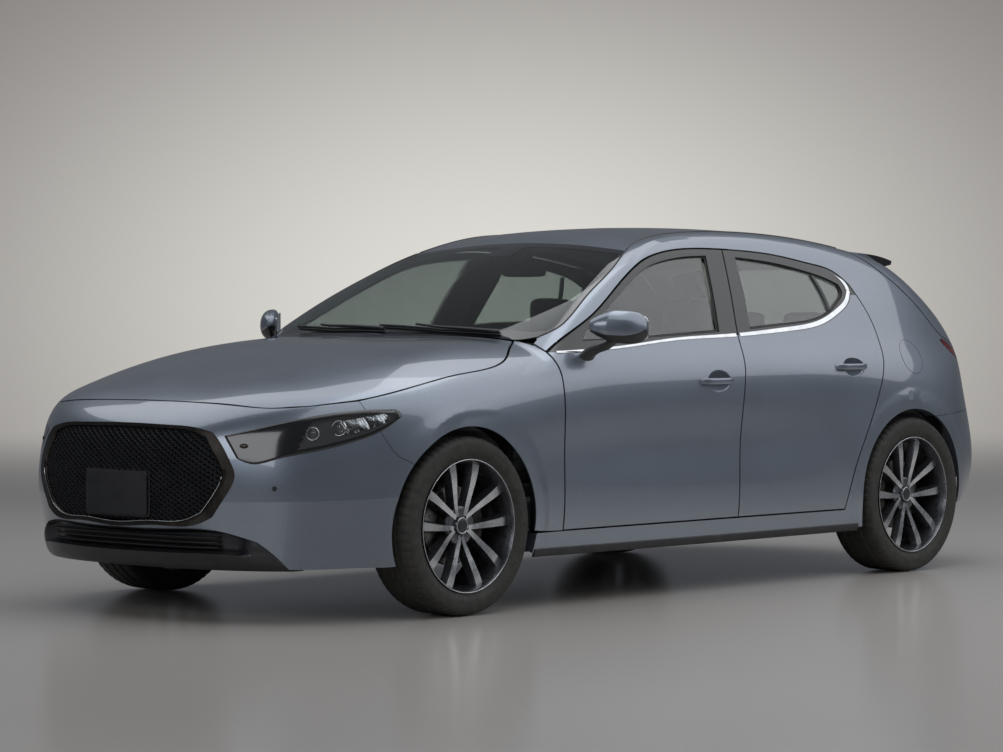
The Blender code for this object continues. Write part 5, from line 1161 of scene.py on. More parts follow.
def rear_body():
    """Tailgate with its window and lamp openings, its glass, its spoiler, and the rear bumper."""
    half_foot = [(0.0, R + 0.745, 0.700), (0.30, R + 0.735, 0.700), (0.52, R + 0.690, 0.695),
                 (0.720, R + 0.590, 0.690)]
    foot = resample(mirrored(half_foot), 73)
    head = on_top(resample([(-0.600, GATE_TOP_Y), (0.0, GATE_TOP_Y), (0.600, GATE_TOP_Y)], 73))
    right = gate_edge()
    for edge, corner in ((foot, right[0]), (head, right[-1])):
        edge[-1] = corner
        edge[0] = corner * (-1, 1, 1)
    gate = panel("tailgate_skin", coons(foot, right, head, right * (-1, 1, 1)), SHUT_GAP - 0.0004, 0.030)
    cut(gate, nose_prism(loop_of(*nose_sides(REAR_GLASS)), R - 0.20, R + 0.9))
    for side in (1, -1):
        cut(gate, nose_prism(loop_of(*edges(*GATE_LAMP, 24, 10)) * (side, 1), R + 0.2, R + 0.9))
    dress_normals(gate)
    index = (face_centres(gate)[1][:, 1] < -0.4) & (body(face_centres(gate)[0]) < -0.02)
    choose(gate, index)
    give(gate, [PAINT, VINYL], "tailgate", ["tailgate"])
    pane = on_tail(coons(*nose_sides(REAR_GLASS, 0.0006, 61, 24))) - (0, 0.008, 0)
    glass = slab("rear_window_pane", pane, pane - (0, 0.008, 0))
    give(glass, PRIVACY_GLASS, "tailgate", ["rear_window_glass"])
    x = np.linspace(-0.575, 0.575, 61)
    front = on_top(np.stack([x, np.full(61, R - 0.020)], axis=-1))
    tip = front + np.stack([0 * x, 0.365 - 0.22 * x ** 2, np.full(61, -0.034)], axis=-1)
    root = on_tail(np.stack([x, 1.310 - 0.06 * x ** 2], axis=-1))
    front -= normals(front) * 0.010
    root -= normals(root) * 0.010
    t = np.linspace(0, 1, 12)[None, :, None]
    crown = front[:, None] * (1 - t) + tip[:, None] * t + np.array([0, 0, 0.014]) * (4 * t * (1 - t))
    under = root[:, None] * (1 - t) + (tip - (0, 0.006, 0.016))[:, None] * t
    wing = sharpened(slab("roof_spoiler", crown, under), 40)
    centres = face_centres(wing)[0]
    choose(wing, centres[:, 1] > R + 0.16)
    give(wing, [PAINT, GLOSS_BLACK], "tailgate")
    half_low = [(0.0, R + 0.795, 0.400), (0.30, R + 0.782, 0.395), (0.56, R + 0.725, 0.370),
                (0.76, R + 0.580, 0.330), (0.850, R + 0.420, 0.285), (0.870, R + 0.200, 0.250)]
    top = bumper_top(121)
    low = resample(mirrored(half_low), 121)
    right = resample([half_low[-1], (0.893, R + 0.150, 0.450), top[-1]], 30)
    bumper = panel("rear_bumper_skin", snap(coons(low, right, top, right * (-1, 1, 1))), SEAM_GAP / 2, 0.012)
    cut(bumper, arch_prism(R), arch_prism(R, -1))
    dress_normals(bumper)
    give(bumper, PAINT, "car", ["rear_bumper"])


body_side()
door_leaf("front_door_leaf_left", front_door_sides(), glass_sides(GLASS_FRONT), "front_door_left")
door_leaf("rear_door_leaf_left", rear_door_sides(), glass_sides(GLASS_REAR), "rear_door_left")
pull_handle("front_pull_left", FRONT_HANDLE, "front_door_left")
pull_handle("rear_pull_left", REAR_HANDLE, "rear_door_left")
side_pane("front_pane_left", glass_sides(GLASS_FRONT, 0.0006), "front_door_left", ["front_window_left"],
          SIDE_GLASS)
side_pane("rear_pane_left", glass_sides(GLASS_REAR, 0.0006), "rear_door_left", ["rear_window_left"],
          SIDE_GLASS)
front_wing()
bonnet()
top_of_body()
front_bumper()
rear_body()


# Lamps, grille and plate


def ring_solid(name, rings):
    """Closed solid from a closed row of closed sections."""
    n, m = rings.shape[:2]
    return turned_out(mesh_object(name, rings.reshape(-1, 3), grid_faces(n, m, wrap_u=True, wrap_v=True)))


def tube(name, path, radius, sides=8, closed=False, squash=1.0):
    """Round bar along a path: each ring lies square to the path, turned from a fixed upright."""
    path = np.asarray(path, float)
    ahead = np.roll(path, -1, axis=0) - np.roll(path, 1, axis=0) if closed else np.gradient(path, axis=0)
    ahead /= np.linalg.norm(ahead, axis=1, keepdims=True)
    upright = np.where(np.abs(ahead[:, 2:]) > 0.95, [[1.0, 0, 0]], [[0, 0, 1.0]])
    across = np.cross(ahead, upright)
    across /= np.linalg.norm(across, axis=1, keepdims=True)
    rise = np.cross(across, ahead)
    turn = np.linspace(0, 2 * math.pi, sides, endpoint=False)
    size = np.broadcast_to(radius, len(path))[:, None, None]
    wide = across[:, None] * np.cos(turn)[:, None] * squash
    rows = path[:, None] + size * (wide + rise[:, None] * np.sin(turn)[:, None])
    return ring_solid(name, rows) if closed else loft(name, rows)


def revolved(name, profile, centre, side=1, steps=72, closed=True):
    """Profile of (offset along X, radius) points turned round a wheel's axle."""
    turn = np.linspace(0, 2 * math.pi, steps, endpoint=False)[:, None]
    profile = np.asarray(profile, float)
    x = profile[None, :, 0] * side + 0 * turn
    rings = np.stack([x, profile[None, :, 1] * np.sin(turn), profile[None, :, 1] * np.cos(turn)],
                     axis=-1) + centre
    if closed:
        return ring_solid(name, rings)
    n, m = rings.shape[:2]
    faces = [list(f) for f in grid_faces(n, m, wrap_u=True)]
    faces += [[i * m for i in range(n)], [i * m + m - 1 for i in range(n)]]
    return turned_out(mesh_object(name, rings.reshape(-1, 3), faces))


def headlamp():
    """Clear lens with a dark inner wing and rim, over a housing with a projector and a ribbed reflector."""
    n, m = 60, 17
    sides = [snap(resample(side, count)) for side, count in zip(lamp_sides(), (n, m, n, m))]
    outer = snap(coons(*sides))
    lens = slab("headlamp_lens_left", outer, outer - LAMP_AXIS * 0.003)
    i, j = np.meshgrid(np.arange(n - 1), np.arange(m - 1), indexing="ij")
    dark = ((i < 19 + 0.7 * j) | (j < 2) | (j > m - 4) | (i > n - 3)).reshape(-1)
    rim = 2 * (n - 1) + 2 * (m - 1)
    choose(lens, np.concatenate([dark, dark, np.ones(rim)]))
    both_sides(lens, [LENS, GLOSS_BLACK], "car", ["headlamp_left"])
    loop = loop_of(*sides)
    middle = loop.mean(axis=0)
    inward = middle - loop
    inward /= np.linalg.norm(inward, axis=1, keepdims=True)
    front_ring = loop - LAMP_AXIS * 0.0036 + inward * 0.001
    back_ring = loop - LAMP_AXIS * 0.033 + inward * 0.003
    wall = np.stack([front_ring, back_ring, back_ring + inward * 0.002, front_ring + inward * 0.002], axis=1)
    both_sides(ring_solid("headlamp_wall_left", wall), SATIN_BLACK, "car")
    back = outer - LAMP_AXIS * 0.030
    both_sides(slab("headlamp_bowl_left", back[1:-1, 1:-1], back[1:-1, 1:-1] - LAMP_AXIS * 0.003),
               SATIN_BLACK, "car")
    u = np.linspace(0.64, 0.93, 40)
    rows = []
    for v in (0.30, 0.74):
        rows.append([outer[int(a * (n - 1)), int(v * (m - 1))] for a in u])
    rows = np.array(rows)
    ribs = 0.0022 * np.cos(np.arange(40) * math.pi)[:, None]
    low = rows[0] - LAMP_AXIS * (0.024 + ribs)
    high = rows[1] - LAMP_AXIS * (0.008 + ribs)
    reflector = np.stack([low, low * 0.6 + high * 0.4 - LAMP_AXIS * 0.004, high], axis=1)
    both_sides(slab("headlamp_reflector_left", reflector, reflector - LAMP_AXIS * 0.002), REFLECTOR, "car")
    for label, a, radius in (("inner", 0.47, 0.020), ("outer", 0.62, 0.023)):
        centre = outer[int(a * (n - 1)), m // 2] - LAMP_AXIS * 0.030
        across = np.array([LAMP_AXIS[1], -LAMP_AXIS[0], 0.0])
        turn = np.linspace(0, 2 * math.pi, 40, endpoint=False)
        spread = np.cos(turn)[:, None] * across + np.sin(turn)[:, None] * np.array([0, 0, 1.0])
        bezel = np.stack([centre + spread * r + LAMP_AXIS * d for r,
                          d in ((radius * 1.25, 0.0), (radius * 1.22, 0.012),
                          (radius * 1.10, 0.014), (radius * 1.02, 0.004), (radius, 0.0))], axis=1)
        both_sides(ring_solid(f"{label}_projector_bezel_left", bezel), CHROME, "car")
        bow = [(radius * math.cos(e), 0.002 + radius * 0.75 * math.sin(e)) for e in np.linspace(0, 1.5, 9)]
        dome = np.stack([centre + spread * r + LAMP_AXIS * d for r, d in [(radius, -0.001)] + bow], axis=0)
        both_sides(loft(f"{label}_projector_lens_left", dome), LENS, "car")
    eye = outer[5, m // 2 + 1] + LAMP_AXIS * 0.0005
    turn = np.linspace(0, 2 * math.pi, 32, endpoint=False)
    up = normals(eye[None])[0]
    across = np.cross(up, [0, 0, 1.0])
    across /= np.linalg.norm(across)
    rise = np.cross(across, up)
    oval = across * np.cos(turn)[:, None] * 0.016 + rise * np.sin(turn)[:, None] * 0.009
    rows = np.stack([eye + up * h + oval * s
                     for s, h in ((1.0, -0.002), (0.97, 0.0006), (0.75, 0.0025), (0.40, 0.0035),
                                  (0.02, 0.0038))])
    both_sides(loft("wing_reflector_left", rows), GUNMETAL, "car")


def tail_lamps():
    """Red lens over a bright bowl, on the body and, past the shut line, on the tailgate."""
    outer = snap(coons(*tail_lamp_sides()))
    lens = slab("tail_lens_left", outer, outer - TAIL_LAMP_AXIS * 0.003)
    both_sides(lens, RED_LENS, "car", ["tail_lamp_left"])
    back = outer[1:-1, 1:-1] - TAIL_LAMP_AXIS * 0.014
    both_sides(slab("tail_bowl_left", back, back - TAIL_LAMP_AXIS * 0.004), REFLECTOR, "car")
    flat = shrink_sides(edges(*GATE_LAMP, 30, 10), SEAM_GAP / 2)
    outer = on_tail(coons(*flat))
    lens = slab("gate_lens_left", outer, outer - (0, 0.003, 0))
    both_sides(lens, RED_LENS, "tailgate", ["gate_lamp_left"])
    back = outer[1:-1, 1:-1] - (0, 0.012, 0)
    both_sides(slab("gate_bowl_left", back, back - (0, 0.004, 0)), REFLECTOR, "tailgate")


def grille():
    """Plated frame with a rolled bright edge, round a net of wavy ribs.

    A rib runs across at height z0 plus 4.6 mm times the sine of its length over 31 mm, and every other rib
    is half a wave on, so that the ribs touch and the holes between them are diamonds.
    """
    frame_loop = on_nose(loop_of(*nose_sides(GRILLE_FRAME, 0.0, 121, 40)))
    mesh_loop = on_nose(loop_of(*nose_sides(GRILLE_MESH, 0.0, 121, 40)))
    steps = ((0.0, 0.000, 0.045), (0.0, 0.000, 0.001), (0.06, 0.0015, 0.0), (0.5, 0.0035, 0.0),
             (0.86, 0.006, 0.0), (1.0, 0.013, 0.0),
             (1.0, 0.045, 0.0))
    ring = np.stack([frame_loop * (1 - t) + mesh_loop * t + (0, set_back + extra, 0) for t, set_back,
                     extra in steps], axis=1)
    give(sharpened(ring_solid("grille_surround", ring), 50), GUNMETAL, "car", ["grille_frame"])
    edge = frame_loop * 0.12 + mesh_loop * 0.88
    under = edge[:, 2] < 0.52
    start = np.flatnonzero(under & ~np.roll(under, 1))[0]
    low = np.roll(edge, -start, axis=0)[np.roll(under, -start)]
    give(tube("grille_bright_edge", low + (0, 0.0040, 0), 0.0014, 8), CHROME, "car")
    back = on_nose(coons(*nose_sides(GRILLE_MESH, 0.0008, 61, 24))) + (0, 0.041, 0)
    give(slab("grille_back", back, back + (0, 0.003, 0)), SATIN_BLACK, "car", ["grille"])
    outline = loop_of(*nose_sides(GRILLE_MESH, 0.001, 121, 40))
    heights = np.arange(0.362, 0.684, 0.0092)
    ribs = []
    for k, z in enumerate(heights):
        crossing = outline[:, 0][np.abs(outline[:, 1] - z) < 0.006]
        reach = np.max(np.abs(crossing)) - 0.004
        x = np.linspace(-reach, reach, 2 * int(reach / 0.0030) + 1)
        wave = 0.0046 * np.sin(2 * math.pi * x / 0.031 + math.pi * (k % 2))
        spine = on_nose(np.stack([x, z + wave], axis=-1))
        lean = 0.0016
        section = ((0.020, lean), (0.012, lean * 0.5), (0.020, -lean), (0.036, -lean), (0.036, lean))
        rows = np.stack([spine + (0, d, h) for d, h in section], axis=1)
        n, m = rows.shape[:2]
        faces = grid_faces(n, m, wrap_v=True).tolist() + [list(range(m)),
                                                          list(range(n * m - 1, n * m - m - 1, -1))]
        ribs.append((rows.reshape(-1, 3), faces))
    points = np.concatenate([p for p, _ in ribs])
    start = np.cumsum([0] + [len(p) for p, _ in ribs])
    faces = [[v + s for v in f] for s, (_, fs) in zip(start, ribs) for f in fs]
    give(turned_out(mesh_object("grille_net", points, faces, smooth=False)), NET_BLACK, "car")


def plate():
    """Blank pressed plate on its black carrier, standing on the middle of the grille."""
    turn = np.linspace(0, 2 * math.pi, 64, endpoint=False)
    super_x = np.sign(np.cos(turn)) * np.abs(np.cos(turn)) ** 0.12
    super_z = np.sign(np.sin(turn)) * np.abs(np.sin(turn)) ** 0.12
    for name, half_x, half_z, front, back, finish in (("plate_carrier", 0.172, 0.086, 0.004, 0.034,
                                                       TRIM_BLACK),
                                                      ("blank_plate", 0.165, 0.080, -0.004, 0.003,
                                                       SATIN_BLACK)):
        y0 = F - 0.900
        rows = np.stack([np.stack([half_x * s * super_x, np.full(64, y0 + y), 0.452 + half_z * s * super_z],
                                  axis=-1)
                         for y, s in ((back, 0.96), (front + 0.002, 1.0), (front, 0.99),
                                      (front + 0.0004, 0.97))])
        give(sharpened(loft(name, rows), 40), finish, "car")


def front_intake():
    """Lower intake: a dark slot with slats above a satin splitter that turns up at its two ends."""
    bottom, right, top = LIP
    grid = coons(*nose_sides(LIP, 0.0, 121, 34))
    outer = on_nose(grid)
    t = np.linspace(0, 1, 34)[None, :]
    along = np.abs(grid[..., 0]) / 0.62
    slot = ease(t, 0.40, 0.47) * (1 - ease(t, 0.93, 0.99)) * (1 - ease(along, 0.78, 0.92))
    roll = 0.004 * np.cos(np.clip(t / 0.40, 0, 1) * math.pi)
    shape = outer + np.stack([0 * slot, 0.050 * slot + 0.006 - roll * 0.8, 0 * slot], axis=-1)
    back = outer + (0, 0.060, 0)
    lip = sharpened(slab("front_splitter", shape, back), 55)
    centres = face_centres(lip)[0]
    give(lip, SATIN_BLACK, "car", ["front_lip"])
    for k, z in enumerate((0.268, 0.286, 0.304)):
        x = np.linspace(-0.44, 0.44, 61)
        spine = on_nose(np.stack([x, np.full(61, z)], axis=-1)) + (0, 0.030, 0)
        rows = np.stack([spine + (0, d, h) for d, h in ((-0.006, 0.0), (0.0, 0.0022), (0.020, 0.0022),
                                                        (0.020, -0.0022),
                                                        (0.0, -0.0022))], axis=1)
        give(loft(f"intake_slat_{k}", rows), TRIM_BLACK, "car")


headlamp()
tail_lamps()
grille()
plate()
front_intake()


# Wheels, tyres and brakes


def tread_height(turn, x):
    """How deep the tread is cut, in metres, at a turn round the tyre and an offset from its middle plane.

    Three ribbed grooves run round, 8 mm deep; on the shoulders a slot crosses every 1/64 of a turn.
    """
    groove = sum(np.exp(-((x - place) / 0.0045) ** 4) for place in (-0.045, 0.0, 0.045))
    slots = np.clip(1.6 * np.cos(64 * turn + 30 * x) - 0.85, 0, 1) * (np.abs(x) > 0.052)
    sipes = np.clip(1.5 * np.cos(64 * turn - 60 * x) - 1.05, 0, 1) * (np.abs(x) <= 0.052)
    return 0.007 * np.clip(groove, 0, 1) + 0.0045 * slots + 0.003 * sipes


def tyre(label, centre, side):
    """Radial tyre: a bead, a bowed sidewall with fine rings, a rounded shoulder and a cut tread."""
    outline = [(0.0955, 0.2430), (0.0990, 0.2520), (0.1045, 0.2640), (0.1070, 0.2780), (0.1075, 0.2900),
               (0.1060, 0.3010), (0.1020, 0.3110), (0.0960, 0.3175), (0.0880, 0.3215), (0.0780, 0.3235)]
    half = resample(outline, 34)
    flat = np.linspace(0.0770, -0.0770, 40)[1:-1]
    crown = np.stack([flat, 0.3250 - 0.0015 * (flat / 0.078) ** 2], axis=-1)
    inside = np.array([(-0.0955, 0.2430), (-0.080, 0.2435), (0.080, 0.2435)])
    profile = np.concatenate([half, crown, half[::-1] * (-1, 1), inside[1:]])
    steps = 64 * 6
    turn = np.linspace(0, 2 * math.pi, steps, endpoint=False)[:, None]
    x = profile[None, :, 0] + 0 * turn
    radius = profile[None, :, 1] + 0 * turn
    worn = (radius > 0.3135)
    radius = radius - tread_height(turn, x) * worn
    ring = 0.0006 * (np.exp(-((radius - 0.2740) / 0.0012) ** 2) + np.exp(-((radius - 0.3040) / 0.0010) ** 2))
    x = x + np.sign(x) * ring * (np.abs(x) > 0.09)
    rings = np.stack([x * side, radius * np.sin(turn), radius * np.cos(turn)], axis=-1) + centre
    obj = sharpened(ring_solid(f"road_tyre_{label}", rings), 32)
    give(obj, TYRE, label_body(label), [f"tyre_{label}"])


def label_body(label):
    place, side = label.split("_")
    return f"{place}_wheel_{side}"


def bar(rows):
    """Points and faces of one closed bar between square sections, to be gathered into a single mesh."""
    rows = np.asarray(rows, float)
    n, m = rows.shape[:2]
    faces = grid_faces(n, m, wrap_v=True).tolist() + [list(range(m)),
                                                      list(range(n * m - 1, n * m - m - 1, -1))]
    return rows.reshape(-1, 3), faces


def gathered(name, parts):
    """One mesh object from several closed parts, with the number of each face's part."""
    start = np.cumsum([0] + [len(points) for points, _ in parts])
    faces = [[v + s for v in face] for s, (_, fs) in zip(start, parts) for face in fs]
    obj = mesh_object(name, np.concatenate([points for points, _ in parts]), faces)
    return turned_out(obj)


def spoke_rows(centre, side, angle, twin):
    """One spoke of a pair: twice as wide at the rim as at the hub, with a flat face and sloping flanks.

    Along t from hub to rim the middle line moves from 19 to 64 mm off the pair's own line, and the face
    bows out.
    """
    t = np.linspace(0, 1, 16)[:, None]
    along = 0.034 + (0.2285 - 0.034) * t
    aside = twin * (0.0190 + (0.0640 - 0.0190) * t ** 0.9)
    half = 0.0085 + 0.0100 * t ** 1.2
    face = 0.0600 + 0.0170 * ease(t, 0.0, 0.9) - 0.0025 * t ** 4
    lean = -twin * 0.006 * (1 - t)
    back = face - 0.036 + 0.008 * t
    outward = np.array([0, math.sin(angle), math.cos(angle)])
    across = np.array([0, math.cos(angle), -math.sin(angle)])
    rows = []
    for width, depth in ((-1.55, back), (-1.12, face - 0.006), (-0.96, face + lean * 0.2),
                         (0.96, face - lean * 0.2), (1.12, face - 0.006),
                         (1.55, back)):
        point = centre + outward * along + across * (aside + half * width)
        point[:, 0] += side * depth[:, 0]
        rows.append(point)
    return np.stack(rows, axis=1)


def nut_spots(centre):
    """Middles of the wheel nuts, on their circle, half way between the pairs of spokes."""
    turns = [2 * math.pi * (k + 0.5) / SPOKE_PAIRS for k in range(SPOKE_PAIRS)]
    return [centre + np.array([0, NUT_CIRCLE * math.sin(turn), NUT_CIRCLE * math.cos(turn)]) for turn in turns]


def rim(label, centre, side):
    """Cast rim: barrel with two lips, ten spokes in pairs, a hub with nut wells, and a plain domed cap."""
    barrel = [(0.1000, 0.2421), (0.0960, 0.2400), (0.0860, 0.2350), (0.0700, 0.2330), (0.0350, 0.2240),
              (-0.0300, 0.2200), (-0.0850, 0.2330), (-0.1000, 0.2421), (-0.1000, 0.2395), (-0.0860, 0.2300),
              (-0.0300, 0.2160), (0.0350, 0.2195), (0.0640, 0.2265), (0.0790, 0.2290), (0.0900, 0.2335),
              (0.0965, 0.2350), (0.1000, 0.2375)]
    obj = sharpened(revolved(f"rim_barrel_{label}", barrel, centre, side, 120), 40)
    give(obj, SHADED_DARK_ALLOY, label_body(label), [f"wheel_{label}"])
    lip = [(0.1004, 0.2422), (0.1010, 0.2412), (0.1010, 0.2390), (0.1003, 0.2378), (0.0994, 0.2400)]
    give(revolved(f"rim_lip_{label}", lip, centre, side, 120), MACHINED_HIGHLIT_ALLOY, label_body(label))
    spokes = []
    for k in range(SPOKE_PAIRS):
        for twin in (-1, 1):
            spokes.append(bar(spoke_rows(centre, side, 2 * math.pi * k / SPOKE_PAIRS, twin)))
    obj = sharpened(gathered(f"rim_spokes_{label}", spokes), 28)
    # Faces turned straight out take the pale alloy and the flanks the dark one: partly machined faces, partly
    # a painted highlight on the faces and painted shade on the flanks
    facing = face_centres(obj)[1][:, 0] * side
    choose(obj, facing > 0.90)
    give(obj, [SHADED_DARK_ALLOY, MACHINED_HIGHLIT_ALLOY], label_body(label))
    hub = [(0.0150, 0.0), (0.0150, 0.0500), (0.0300, 0.0700), (0.0480, 0.0740), (0.0560, 0.0700),
           (0.0590, 0.0620), (0.0560, 0.0400), (0.0555, 0.0330), (0.0640, 0.0310), (0.0655, 0.0295),
           (0.0655, 0.0)]
    obj = sharpened(revolved(f"rim_hub_{label}", hub[1:-1], centre, side, 80, closed=False), 35)
    around = np.linspace(0, 2 * math.pi, 24, endpoint=False)
    for middle in nut_spots(centre):
        loop = np.stack([0 * around, middle[1] + NUT_WELL_RADIUS * np.cos(around),
                         middle[2] + NUT_WELL_RADIUS * np.sin(around)], axis=-1)
        cut(obj, prism(loop, np.array([centre[0] + side * 0.036, 0, 0]),
                       np.array([centre[0] + side * 0.090, 0, 0])))
    give(sharpened(obj, 35), SHADED_DARK_ALLOY, label_body(label))
    parts = []
    around = np.linspace(0, 2 * math.pi, 6, endpoint=False)
    for middle in nut_spots(centre):
        rows = [np.stack([0 * around + side * depth, radius * np.cos(around), radius * np.sin(around)],
                         axis=-1) + middle
                for depth, radius in ((0.034, 0.0095), (0.0500, 0.0095), (0.0530, 0.0080), (0.0540, 0.0040))]
        parts.append(bar(rows))
    give(gathered(f"wheel_nuts_{label}", parts), BRUSHED_STEEL, label_body(label))
    ring = [(0.0650, 0.0300), (0.0668, 0.0300), (0.0672, 0.0275), (0.0660, 0.0255), (0.0640, 0.0270)]
    give(revolved(f"cap_ring_{label}", ring, centre, side, 60), MACHINED_HIGHLIT_ALLOY, label_body(label))
    bow = [(0.0640 + 0.0035 * math.sin(e), CAP_RADIUS * math.cos(e)) for e in np.linspace(0.1, 1.5, 8)]
    dome = [(0.060, CAP_RADIUS)] + bow
    give(revolved(f"cap_{label}", dome, centre, side, 48, closed=False), SATIN_BLACK, label_body(label))


def brake(label, centre, side, rider):
    """Vented disc that turns with the wheel, and a cast caliper on the rider, towards the middle of the car.

    The caliper's section, as an offset and a radius, is swept from 55 to 125 degrees off the upright.
    """
    disc = [(0.012, 0.060), (0.012, 0.1430), (0.010, 0.1450), (0.0035, 0.1450), (0.0030, 0.1370),
            (-0.0030, 0.1370), (-0.0035, 0.1450), (-0.010, 0.1450), (-0.012, 0.1430), (-0.012, 0.060)]
    obj = sharpened(revolved(f"brake_disc_{label}", disc, centre, side, 96), 40)
    give(obj, DISC_IRON, label_body(label))
    bell = [(0.0125, 0.0655), (0.0340, 0.0640), (0.0375, 0.0600), (0.0375, 0.0500), (0.010, 0.0500),
            (0.010, 0.0655)]
    give(sharpened(revolved(f"disc_bell_{label}", bell, centre, side, 72), 40), BARE_CASTING,
         label_body(label))
    behind = 1 if centre[1] < 0 else -1
    section = np.array([(-0.026, 0.098), (0.020, 0.098), (0.026, 0.106), (0.026, 0.146), (0.018, 0.158),
                        (-0.026, 0.158)])
    rows = [np.stack([side * (section[:, 0] - 0.001), section[:, 1] * math.sin(turn),
                      section[:, 1] * math.cos(turn)],
                     axis=-1) + centre for turn in np.radians(np.linspace(55, 125, 14)) * behind]
    give(sharpened(loft(f"brake_caliper_{label}", rows), 30), BARE_CASTING, rider)


for LABEL, SIDE in (("left", 1), ("right", -1)):
    for PLACE, AXLE in (("front", F), ("rear", R)):
        CENTRE = np.array([SIDE * TRACK_HALF, AXLE, AXLE_Z])
        tyre(f"{PLACE}_{LABEL}", CENTRE, SIDE)
        rim(f"{PLACE}_{LABEL}", CENTRE, SIDE)
        brake(f"{PLACE}_{LABEL}", CENTRE, SIDE, f"knuckle_{LABEL}" if PLACE == "front" else "car")


# Trim and small parts


def strip(name, yz, half_height, thickness, proud):
    """Moulding on the side: a flat-oval section carried along a line in the side view, on the skin.

    The half height may change along the line; the section stands square on the body.
    """
    spine = on_side(yz)
    up = normals(spine)
    ahead = np.gradient(spine, axis=0)
    ahead /= np.linalg.norm(ahead, axis=1, keepdims=True)
    rise = np.cross(up, ahead)
    rise *= np.sign(rise[:, 2:])
    turn = np.linspace(0, 2 * math.pi, 12, endpoint=False)
    half = np.broadcast_to(half_height, len(spine))[:, None, None]
    tall = np.sign(np.sin(turn)) * np.abs(np.sin(turn)) ** 0.6
    rows = spine[:, None] + rise[:, None] * half * tall[:, None] + up[:, None] * (
        proud - thickness / 2 + thickness / 2 * np.cos(turn)[:, None])
    return sharpened(loft(name, rows), 50)


BELT_Y = [F + 0.556, F + 0.953, F + 1.232, F + 1.637, R - 0.746, R - 0.493, R - 0.354, R - 0.270, R - 0.243]
BELT_Z = [0.944, 0.963, 0.986, 1.001, 1.022, 1.054, 1.102, 1.148, 1.178]


def bright_strips():
    """Plated strip under the windows, thicker to the rear, split at the shut lines, its end curled up."""
    line = resample(np.stack([BELT_Y, BELT_Z], axis=-1), 160)
    tip = resample([line[-1], (R - 0.246, 1.200), (R - 0.262, 1.222), (R - 0.300, 1.243)], 24)
    line = np.concatenate([line, tip[1:]])
    half = 0.0060 + 0.0060 * ease(line[:, 0], F + 0.9, R - 0.3)
    half[160:] = 0.0120 * (1 - ease(np.arange(len(line) - 160) / 22.0, 0.25, 1.0)) + 0.0015
    shut_b = np.interp(line[:, 1], *np.array(resample(SHUT_B, 60))[:, ::-1].T)
    front = line[:, 0] < shut_b - 0.0045
    rear = line[:, 0] > shut_b + 0.0045
    shut_c = np.interp(line[:, 1], *np.array(resample(SHUT_C, 60))[:, ::-1].T)
    rear &= line[:, 0] < shut_c - 0.006
    for name, mask, rider in (("front_belt_strip_left", front, "front_door_left"),
                              ("rear_belt_strip_left", rear, "rear_door_left")):
        both_sides(strip(name, line[mask], half[mask], 0.0045, 0.0030), CHROME, rider)


def seals():
    """Rubber lip round each door glass, and the black divider of the rear door's small window."""
    for name, hole, rider in (("front_glass_seal_left", GLASS_FRONT, "front_door_left"),
                              ("rear_glass_seal_left", GLASS_REAR, "rear_door_left")):
        loop = loop_of(*glass_sides(hole, 0.0, 60, 40))
        rings = []
        for gap, depth in ((-0.001, 0.004), (0.0045, 0.007), (0.0055, 0.0118), (-0.001, 0.0118)):
            moved = shrink(loop, gap)
            rings.append(on_side(moved) - (depth, 0, 0))
        both_sides(ring_solid(name, np.stack(rings, axis=1)), RUBBER_SEAL, rider)
    line = resample([(R - 0.418, 1.100), (R - 0.425, 1.170), (R - 0.447, 1.243)], 16)
    spine = on_side(line)
    wide = 0.011
    rows = np.stack([spine + (-0.0118, -wide, 0), spine + (-0.004, -wide * 0.8, 0), spine + (-0.003, 0, 0),
                     spine + (-0.004, wide * 0.8, 0), spine + (-0.0118, wide, 0)], axis=1)
    both_sides(sharpened(loft("quarter_light_bar_left", rows), 50), SATIN_BLACK, "rear_door_left")


def roof_mouldings():
    edge = rail_edge(90)[1:-2]
    up = normals(edge)
    both_sides(tube("roof_moulding_left", edge + up * 0.0004, 0.0030, 8), SATIN_BLACK, "car")


def screen_pillar_seal():
    """Rubber between the windscreen and its pillar."""
    edge = screen_edge(60)
    both_sides(tube("screen_seal_left", edge + normals(edge) * 0.0002, 0.0028, 8), RUBBER_SEAL, "car")


def fuel_flap():
    """Round flap: a fine dark ring in the skin."""
    turn = np.linspace(0, 2 * math.pi, 96, endpoint=False)
    ring = on_side(np.stack([R + 0.039 + 0.076 * np.cos(turn), 0.903 + 0.071 * np.sin(turn)], axis=-1))
    give(tube("fuel_flap_gap", ring - normals(ring) * 0.0004, 0.0011, 6, closed=True), RUBBER_SEAL, "car")


def sills():
    """Black lower edge of the sill."""
    line = resample([(F + 0.372, 0.206), (0.0, 0.204), (R - 0.372, 0.206)], 90)
    both_sides(strip("sill_edge_left", line, 0.017, 0.010, 0.0035), TRIM_BLACK, "car")


